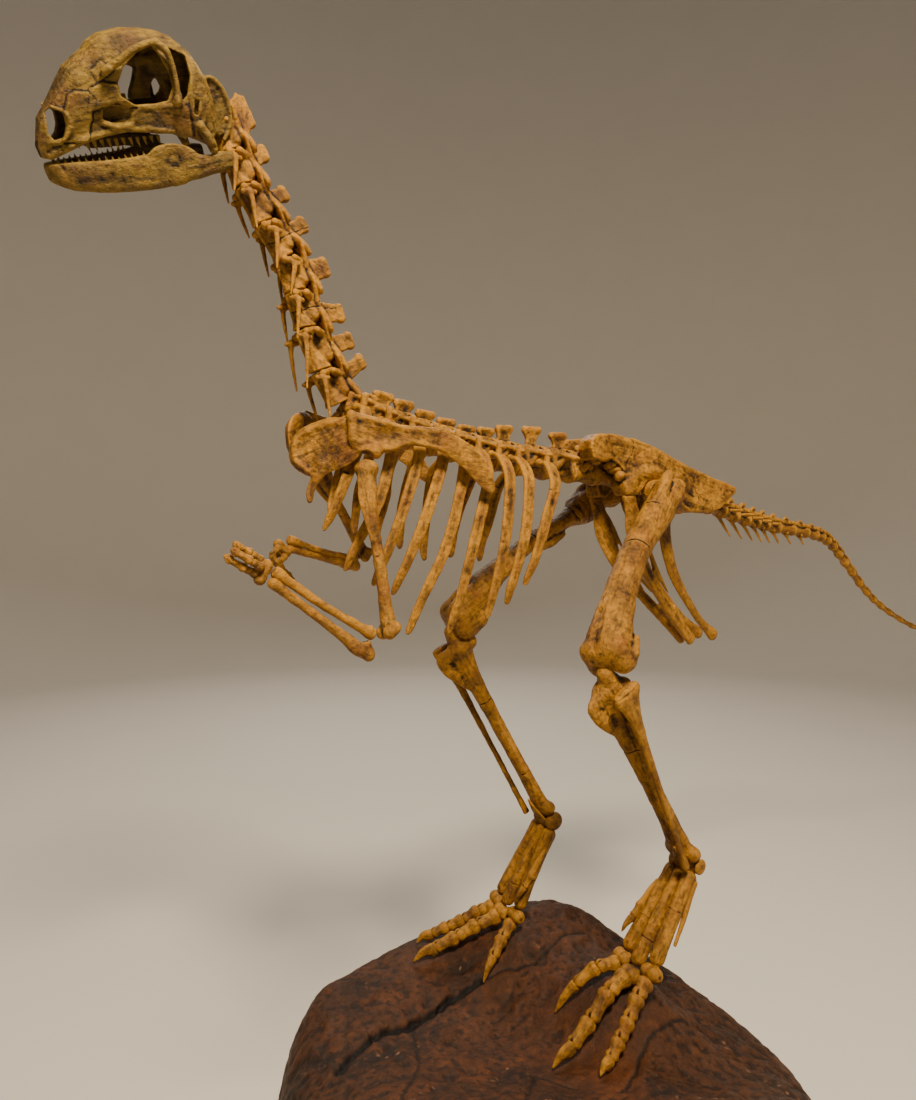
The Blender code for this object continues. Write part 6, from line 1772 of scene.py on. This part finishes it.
def forearm(side, word, looks):
    """The forearm: the ulna with its elbow process, and the slimmer radius close beside it."""
    elbow, wrist = np.array(ELBOW[side]), np.array(WRIST[side])
    along = unit(wrist - elbow)
    upper = np.array(SHOULDER[side]) - elbow
    upper = unit(upper - along * (upper @ along))
    axes = np.array((along, np.cross(upper, along), upper))
    drop = 0.027 if side == LEFT else 0.015
    clay = Clay(0.00136, elbow + along * 0.020 - upper * drop, axes)
    end = clay.local(wrist - along * 0.004 - upper * 0.0045)
    rows = ((0.000, 0, 0.001, 0.0080, 0.0070), (0.016, 0, 0.002, 0.0092, 0.0076),
            (end[0] * 0.25, 0, end[2] * 0.24, 0.0066, 0.0056),
            (end[0] * 0.55, 0, end[2] * 0.55, 0.0052, 0.0048),
            (end[0] * 0.85, 0, end[2] * 0.86, 0.0054, 0.0050), (end[0] - 0.004, 0, end[2], 0.0068, 0.0058))
    clay.path(rows, flat=(0, 1, 0), blend=0.003, count=22)
    clay.stroke((-0.002, 0, -0.001), (0.008, 0, 0.008), 0.0066, 0.0078, blend=0.003)
    clay.ball((0.016, 0, 0.0165), (0.0105, 0.011, 0.0085), 0.002, True)
    settle(clay.skin(f"Ulna {word}"), f"ulna_{word}", "bone", looks.weathering * 2.2, 0.010, None,
           seed=370 + side)
    start, finish = elbow + along * 0.024 - upper * 0.004, wrist - along * 0.004 + upper * 0.0075
    rows = [(*(start + (finish - start) * s - upper * 0.003 * math.sin(math.pi * s)), w, d) for s, w, d in (
        (0.00, 0.0068, 0.0074), (0.05, 0.0070, 0.0076), (0.14, 0.0054, 0.0060), (0.50, 0.0045, 0.0052),
        (0.82, 0.0048, 0.0055), (0.96, 0.0062, 0.0072), (1.00, 0.0060, 0.0068))]
    bumps = ((0.14, 270, 0.0012, 0.03, 60), (0.5, 90, -0.0010, 0.3, 40))
    obj = ring_mesh(f"Radius {word}", shaft_points(rows, 120, 24, ACROSS, bumps, (0.5, 0.5)))
    settle(obj, f"radius_{word}", "bone", looks.weathering * 2.2, 0.010, None, seed=374 + side)


def hand(side, word, looks):
    """The hand, held closed: two wrist blocks and three fingers with long bones and claws."""
    wrist, knuckle, tip = (np.array(place[side]) for place in (WRIST, KNUCKLE, FINGERTIP))
    along = unit(knuckle - wrist)
    across = unit(np.cross(along, (0.0, 1.0, 0.0)))
    out = np.array((0.0, side, 0.0))
    start = wrist + along * (0.0045 if side == LEFT else 0.0065)
    block = Clay(0.00113, start, (along, np.cross(across, along), across))
    block.stroke((0.003, 0, -0.009), (0.003, 0, 0.007), 0.0070, 0.0066, blend=0.003)
    block.ball((0.003, 0.0045, 0.004), (0.0055, 0.0055, 0.0060), 0.003)
    block.ball((-0.003, 0, 0.000), (0.0030, 0.006, 0.0016), 0.001, True)
    node = f"hand_{word}"
    settle(block.skin(f"Wrist block {word}"), node, "bone", 0.0004, 0.006, seed=380)
    lifted = -0.0045 if side == LEFT else 0.0
    for number, (lift, shift, short) in enumerate(((-0.0095, -0.0060, 0.80), (0.0085, 0.0, 1.0),
            (-0.0005, 0.0070, 0.94)), 1):
        offset = across * (lift + lifted) + out * shift
        root, joint = start + along * 0.009 + offset * 0.85, knuckle + offset
        end = knuckle + (tip - knuckle) * short + offset * 0.9
        curl = along * 0.010 - across * 0.002 if side == LEFT else along * 0.006 + across * 0.004
        middle = (joint + end) / 2 + curl * 0.35
        toe_bone(f"Finger {number} palm bone {word}", node, root, joint, 0.0052, across, looks, 381)
        bend = unit(np.cross(np.cross(end - joint, curl), end - joint)) if side == LEFT else unit(curl)
        toe_bone(f"Finger {number} bone {word}", node, joint + (middle - joint) * 0.03, middle, 0.0048,
            bend, looks, 382)
        places = (middle + (end - middle) * 0.03, (middle + end) / 2 + bend * 0.0015, end)
        claw(f"Finger {number} claw {word}", node, places, 0.0044, bend, looks, 383)


# The rock and the studio ------------------------------------------------------------------------


# The lines of the cracks on the rock, as x and y in the hip frame; the first one is the wide one.
ROCK_CRACKS = (
    ((-0.522, 0.035), (-0.489, 0.057), (-0.455, 0.069), (-0.422, 0.077), (-0.388, 0.073), (-0.348, 0.081),
     (-0.304, 0.088), (-0.251, 0.087)),
    ((-0.251, 0.087), (-0.178, 0.052), (-0.072, 0.036)),
    ((-0.388, 0.073), (-0.423, -0.013), (-0.507, -0.108)),
    ((-0.251, -0.213), (-0.151, -0.173), (-0.019, -0.153)),
    ((-0.393, -0.190), (-0.306, -0.113), (-0.284, -0.167)),
)


def rock_base(looks):
    """The rock: rings at growing shares of its plan, z = crown * sqrt(1 - share^5), then roughened.

    Three sizes of noise and a few seams are pressed into it; near the toes they fade away.
    """
    around = 410
    low = np.linspace(0.02, 0.80, 120)
    turn = np.linspace(math.asin(0.80**2.5), math.pi / 2, 92)[1:]
    shares = np.concatenate([low, np.sin(turn) ** 0.4])
    angle = 2 * np.pi * np.arange(around) / around
    cos, sin = np.cos(angle), np.sin(angle)
    # A hair smaller, so that it stays inside the solid's flat facets.
    scale = 0.9965 * shares[:, None] / rock_share(cos, sin)[None]
    u, v = scale * cos, scale * sin
    top = rock_crown(u, v) * np.sqrt(np.maximum(0.0, 1 - (shares**ROCK_EDGE_POWER)[:, None]))
    foot = np.array([1.0, 0.93, 0.5])
    u = np.vstack([u, u[-1:] * foot[1:, None]])
    v = np.vstack([v, v[-1:] * foot[1:, None]])
    z = np.vstack([top, np.zeros((2, around))])
    turn_cos, turn_sin = math.cos(ROCK_TURN), math.sin(ROCK_TURN)
    x, y = u * turn_cos - v * turn_sin - HIP[0], u * turn_sin + v * turn_cos - HIP[1]
    points = np.stack([x, y, z - HIP[2]], -1)
    rows = len(points)
    faces = [wrap_faces(rows, around)]
    ends = np.array([points[0].mean(0), points[-1].mean(0)])
    j = np.arange(around)
    k = (j + 1) % around
    first, last = np.full(around, rows * around), np.full(around, rows * around + 1)
    faces.append(np.stack([first, k, j], 1))
    faces.append(np.stack([last, j + (rows - 1) * around, k + (rows - 1) * around], 1))
    obj = turn_outward(make_mesh("Rock base", np.vstack([points.reshape(-1, 3), ends]), faces))
    points, normals = vertices_of(obj), normals_of(obj)
    free = np.ones(len(points))
    for side, _ in SIDES:
        for digit in (2, 3, 4):
            line = toe_places(side, digit)[:, :3]
            flat = np.column_stack([points[:, :2], np.zeros(len(points))])
            free *= np.clip((near_line(flat, line * (1, 1, 0)) - 0.012) / 0.030, 0, 1)
    high = points[:, 2] + HIP[2]
    free *= np.clip(high / 0.02, 0, 1)
    slow = grain(points, 0.090, 3, 401)
    lumps = 1 - np.abs(grain(points, 0.034, 4, 402)) * 2
    fine = grain(points, 0.009, 3, 403)
    relief = looks.rock_relief * (0.55 * slow + 0.45 * lumps - 0.55) + 0.0011 * fine
    relief = np.minimum(relief * free + (0.0006 * fine - 0.0006) * (1 - free), 0.0035)

    def cuts_and_shade(points):
        spot = points + 0.006 * np.stack([grain(points, 0.03, 3, 404 + k) for k in range(3)], 1)
        spot[:, 2] = 0
        wide = near_line(spot, [(*place, 0.0) for place in ROCK_CRACKS[0]])
        away = np.min([near_line(spot, [(*place, 0.0) for place in line]) for line in ROCK_CRACKS[1:]],
            axis=0)
        return np.maximum(1.3 * np.exp(-((wide / 0.0055) ** 2)), 0.35 * np.exp(-((away / 0.0035) ** 2)))

    most = np.interp(high, (0.12, 0.20), (-0.0002, 0.0035))
    move_vertices(obj, points + normals * np.minimum(relief, most)[:, None])
    settle(obj, "rock_base", "rock", 0.0, 0.01, cuts_and_shade, 0.007, 400)


EYE = np.array((-0.932, -0.860, -0.094))
VIEW_RIGHT, VIEW_AHEAD = np.array((0.829, -0.559, 0.0)), np.array((0.559, 0.829, 0.0))
FLOOR_FLAT, FLOOR_SWEEP, WALL_TOP = 4.6, 1.8, 11.0
FOCAL_MM, SENSOR_MM = 24.0, 36.0
NEAREST, FARTHEST = 0.02, 60.0


def placed(obj, right, up, back, place):
    """Puts a lamp or a camera in the scene: it looks against `back`."""
    matrix = np.eye(4)
    matrix[:3, :3] = np.array((right, up, back)).T
    matrix[:3, 3] = place
    obj.matrix_world = Matrix(matrix.tolist())
    bpy.context.scene.collection.objects.link(obj)


def stage(looks):
    """A round pale floor that sweeps up into a wall, soft lights, a pale sky and the camera."""
    turn = np.linspace(0, np.pi / 2, 24)
    wall = FLOOR_FLAT + FLOOR_SWEEP
    sweep = FLOOR_FLAT + FLOOR_SWEEP * np.sin(turn[1:])
    radius = np.concatenate([[0.05], np.linspace(0.5, FLOOR_FLAT, 20), sweep, [wall, wall]])
    rise = FLOOR_SWEEP - FLOOR_SWEEP * np.cos(turn[1:])
    height = np.concatenate([[0.0], np.zeros(20), rise, [6.0, WALL_TOP]])
    angle = 2 * np.pi * np.arange(128) / 128
    ring = radius[:, None]
    points = np.stack([ring * np.cos(angle), ring * np.sin(angle), height[:, None] + 0 * angle], -1)
    centre = np.arange(128)[::-1][None]
    quads = wrap_faces(len(points), 128)[:, ::-1]
    floor = make_mesh("Studio floor", points.reshape(-1, 3), [quads, centre[:, ::-1]])
    floor.data.shade_smooth()
    floor.data.materials.append(bpy.data.materials["Matt studio paper"])
    for name, place, aim, size, power, colour in (
        ("Key light", (-0.65, -1.30, 2.65), (-0.1, 0.0, 1.0), 0.5, looks.key_power, "FFEACC"),
        ("Fill light", (0.9, -3.6, 1.9), (0.0, 0.0, 0.9), 2.6, looks.key_power * 0.08, "F3F6FF"),
        ("Back light", (1.4, 3.0, 3.4), (0.0, 0.0, 0.9), 2.2, looks.key_power * 0.70, "FFF6EA"),
    ):
        lamp = bpy.data.lights.new(name, "AREA")
        lamp.shape, lamp.size, lamp.energy = "DISK", size, power
        lamp.color = linear(colour)[:3]
        obj = bpy.data.objects.new(name, lamp)
        ahead = unit(np.array(aim) - np.array(place))
        right = unit(np.cross(ahead, UP))
        obj.visible_camera = False
        placed(obj, right, np.cross(right, ahead), -ahead, place)
    world = bpy.data.worlds.new("Pale sky")
    world.use_nodes = True
    sky = world.node_tree.nodes["Background"]
    sky.inputs["Color"].default_value = linear("F4F2EE")
    sky.inputs["Strength"].default_value = looks.sky_strength
    bpy.context.scene.world = world
    lens = bpy.data.cameras.new("Camera")
    lens.lens, lens.sensor_width, lens.sensor_fit = FOCAL_MM, SENSOR_MM, "AUTO"
    lens.clip_start, lens.clip_end = NEAREST, FARTHEST
    camera = bpy.data.objects.new("Camera", lens)
    placed(camera, VIEW_RIGHT, UP, -VIEW_AHEAD, EYE + HIP)
    bpy.context.scene.camera = camera


# The add-on -------------------------------------------------------------------------------------


class SkeletonLooks(bpy.types.PropertyGroup):
    """Sizes and colours a user would change."""

    weathering: bpy.props.FloatProperty(
        name="Weathering", description="How far the bones' surface is roughened", default=0.00040, min=0.0,
        max=0.003, unit="LENGTH", precision=5)
    tooth_length: bpy.props.FloatProperty(
        name="Tooth length", description="How far the longest teeth stand out", default=0.0105, min=0.002,
        max=0.02, unit="LENGTH")
    rock_relief: bpy.props.FloatProperty(
        name="Rock relief", description="Depth of the rock's lumps", default=0.010, min=0.0, max=0.03,
        unit="LENGTH")
    bone_colour: bpy.props.FloatVectorProperty(
        name="Bone", description="Paint on the bones' open surfaces", subtype="COLOR", size=4,
        default=linear("B27E26"))
    skull_colour: bpy.props.FloatVectorProperty(
        name="Skull", description="Paint on the skull and the jaw", subtype="COLOR", size=4,
        default=linear("927429"))
    # Colour of the painted shade in hollows, inside the skull and on the jaw's inner faces, and of real cracks
    # and blotches.
    shade_and_stain_colour: bpy.props.FloatVectorProperty(
        name="Stain", description="Wash left in the hollows", subtype="COLOR", size=4,
        default=linear("170E05"))
    rock_colour: bpy.props.FloatVectorProperty(
        name="Rock", description="Paint on the rock base", subtype="COLOR", size=4, default=linear("42250F"))
    paper_colour: bpy.props.FloatVectorProperty(
        name="Paper", description="The studio's floor and wall", subtype="COLOR", size=4,
        default=linear("DAD4CA"))
    key_power: bpy.props.FloatProperty(
        name="Key light", description="Power of the main soft light", default=120.0, min=0.0, unit="POWER")
    sky_strength: bpy.props.FloatProperty(
        name="Sky", description="Strength of the pale sky", default=0.235, min=0.0)


class SKELETON_OT_finishes(bpy.types.Operator):
    """Mix the paints for bone, skull, rock and studio"""

    bl_idname, bl_label = "skeleton.finishes", "Finishes"

    def execute(self, context):
        looks = context.scene.skeleton_looks
        resin_bone(COATS["bone"], looks.bone_colour, linear("76501A"), linear("34240D"),
            looks.shade_and_stain_colour, linear("A2602A"))
        resin_bone(COATS["skull_bone"], looks.skull_colour, linear("685024"), linear("2C210E"),
            looks.shade_and_stain_colour, linear("8A5026"))
        cast_rock(COATS["rock"], looks.rock_colour, linear("1A0F07"), linear("6E3C16"))
        studio_paper("Matt studio paper", looks.paper_colour)
        return {"FINISHED"}


class SKELETON_OT_skull(bpy.types.Operator):
    """Build the skull's thin shell with its windows, bars and brow rods"""

    bl_idname, bl_label = "skeleton.skull", "Skull"

    def execute(self, context):
        skull(context.scene.skeleton_looks)
        return {"FINISHED"}


class SKELETON_OT_teeth(bpy.types.Operator):
    """Build the rows of upper and lower teeth"""

    bl_idname, bl_label = "skeleton.teeth", "Teeth"

    def execute(self, context):
        teeth(context.scene.skeleton_looks)
        return {"FINISHED"}


class SKELETON_OT_lower_jaw(bpy.types.Operator):
    """Build the lower jaw"""

    bl_idname, bl_label = "skeleton.lower_jaw", "Lower jaw"

    def execute(self, context):
        lower_jaw(context.scene.skeleton_looks)
        return {"FINISHED"}


class SKELETON_OT_neck(bpy.types.Operator):
    """Build the neck's vertebrae and their hanging ribs"""

    bl_idname, bl_label = "skeleton.neck", "Neck"

    def execute(self, context):
        looks = context.scene.skeleton_looks
        for number in range(len(NECK_NODES)):
            neck_bone(number, looks)
        return {"FINISHED"}


class SKELETON_OT_back(bpy.types.Operator):
    """Build the vertebrae of the back"""

    bl_idname, bl_label = "skeleton.back", "Back vertebrae"

    def execute(self, context):
        looks = context.scene.skeleton_looks
        for number in range(len(TRUNK_X)):
            back_bone(number, looks)
        return {"FINISHED"}


class SKELETON_OT_ribs(bpy.types.Operator):
    """Build the ribs of both sides"""

    bl_idname, bl_label = "skeleton.ribs", "Ribs"

    def execute(self, context):
        looks = context.scene.skeleton_looks
        for side, word in SIDES:
            for number in range(len(RIB_SPREAD)):
                rib(number, side, word, looks)
        return {"FINISHED"}


class SKELETON_OT_hips(bpy.types.Operator):
    """Build the hip blades, the pubes, the ischia and the vertebrae between them"""

    bl_idname, bl_label = "skeleton.hips", "Hips"

    def execute(self, context):
        looks = context.scene.skeleton_looks
        for number in range(5):
            hip_vertebra(number, looks)
        for side, word in SIDES:
            ilium(side, word, looks)
            pubis(side, word, looks)
            ischium(side, word, looks)
        return {"FINISHED"}


class SKELETON_OT_tail(bpy.types.Operator):
    """Build the tail's vertebrae and chevrons"""

    bl_idname, bl_label = "skeleton.tail", "Tail"

    def execute(self, context):
        looks = context.scene.skeleton_looks
        for number in range(TAIL_COUNT):
            tail_bone(number, looks)
        return {"FINISHED"}


class SKELETON_OT_legs(bpy.types.Operator):
    """Build the thigh, shin and ankle bones"""

    bl_idname, bl_label = "skeleton.legs", "Legs"

    def execute(self, context):
        looks = context.scene.skeleton_looks
        for side, word in SIDES:
            femur(side, word, looks)
            tibia(side, word, looks)
            fibula(side, word, looks)
            ankle(side, word, looks)
        return {"FINISHED"}


class SKELETON_OT_feet(bpy.types.Operator):
    """Build the insteps, toes and toe claws"""

    bl_idname, bl_label = "skeleton.feet", "Feet"

    def execute(self, context):
        looks = context.scene.skeleton_looks
        for side, word in SIDES:
            instep(side, word, looks)
            first_toe(side, word, looks)
            for digit in (2, 3, 4):
                toe(side, digit, word, looks)
        return {"FINISHED"}


class SKELETON_OT_shoulders(bpy.types.Operator):
    """Build the shoulder blades and the coracoids"""

    bl_idname, bl_label = "skeleton.shoulders", "Shoulders"

    def execute(self, context):
        looks = context.scene.skeleton_looks
        for side, word in SIDES:
            scapula(side, word, looks)
            coracoid(side, word, looks)
        return {"FINISHED"}


class SKELETON_OT_arms(bpy.types.Operator):
    """Build the arms and hands"""

    bl_idname, bl_label = "skeleton.arms", "Arms"

    def execute(self, context):
        looks = context.scene.skeleton_looks
        for side, word in SIDES:
            humerus(side, word, looks)
            forearm(side, word, looks)
            hand(side, word, looks)
        return {"FINISHED"}


class SKELETON_OT_rock(bpy.types.Operator):
    """Build the rock base"""

    bl_idname, bl_label = "skeleton.rock", "Rock base"

    def execute(self, context):
        rock_base(context.scene.skeleton_looks)
        return {"FINISHED"}


class SKELETON_OT_stage(bpy.types.Operator):
    """Build the studio floor, lights and camera"""

    bl_idname, bl_label = "skeleton.stage", "Stage"

    def execute(self, context):
        stage(context.scene.skeleton_looks)
        return {"FINISHED"}


OPERATORS = (
    SKELETON_OT_finishes, SKELETON_OT_skull, SKELETON_OT_teeth, SKELETON_OT_lower_jaw,
    SKELETON_OT_neck, SKELETON_OT_back, SKELETON_OT_ribs, SKELETON_OT_hips, SKELETON_OT_tail,
    SKELETON_OT_legs, SKELETON_OT_feet, SKELETON_OT_shoulders, SKELETON_OT_arms, SKELETON_OT_rock,
    SKELETON_OT_stage,
)


class SKELETON_PT_panel(bpy.types.Panel):
    """Sizes, colours and a button for each group of pieces"""

    bl_idname, bl_label = "SKELETON_PT_panel", "Mounted skeleton"
    bl_space_type, bl_region_type, bl_category = "VIEW_3D", "UI", "Skeleton"

    def draw(self, context):
        looks = context.scene.skeleton_looks
        for name in SkeletonLooks.__annotations__:
            self.layout.prop(looks, name)
        for operator in OPERATORS:
            self.layout.operator(operator.bl_idname)


CLASSES = (SkeletonLooks, *OPERATORS, SKELETON_PT_panel)


def register():
    """Adds the classes and the scene's settings to Blender."""
    for cls in CLASSES:
        bpy.utils.register_class(cls)
    bpy.types.Scene.skeleton_looks = bpy.props.PointerProperty(type=SkeletonLooks)


def unregister():
    """Takes them out again."""
    del bpy.types.Scene.skeleton_looks
    for cls in reversed(CLASSES):
        bpy.utils.unregister_class(cls)


def main():
    """Builds everything in order."""
    register()
    for operator in OPERATORS:
        group, name = operator.bl_idname.split(".")
        getattr(getattr(bpy.ops, group), name)()


if __name__ == "__main__":
    main()
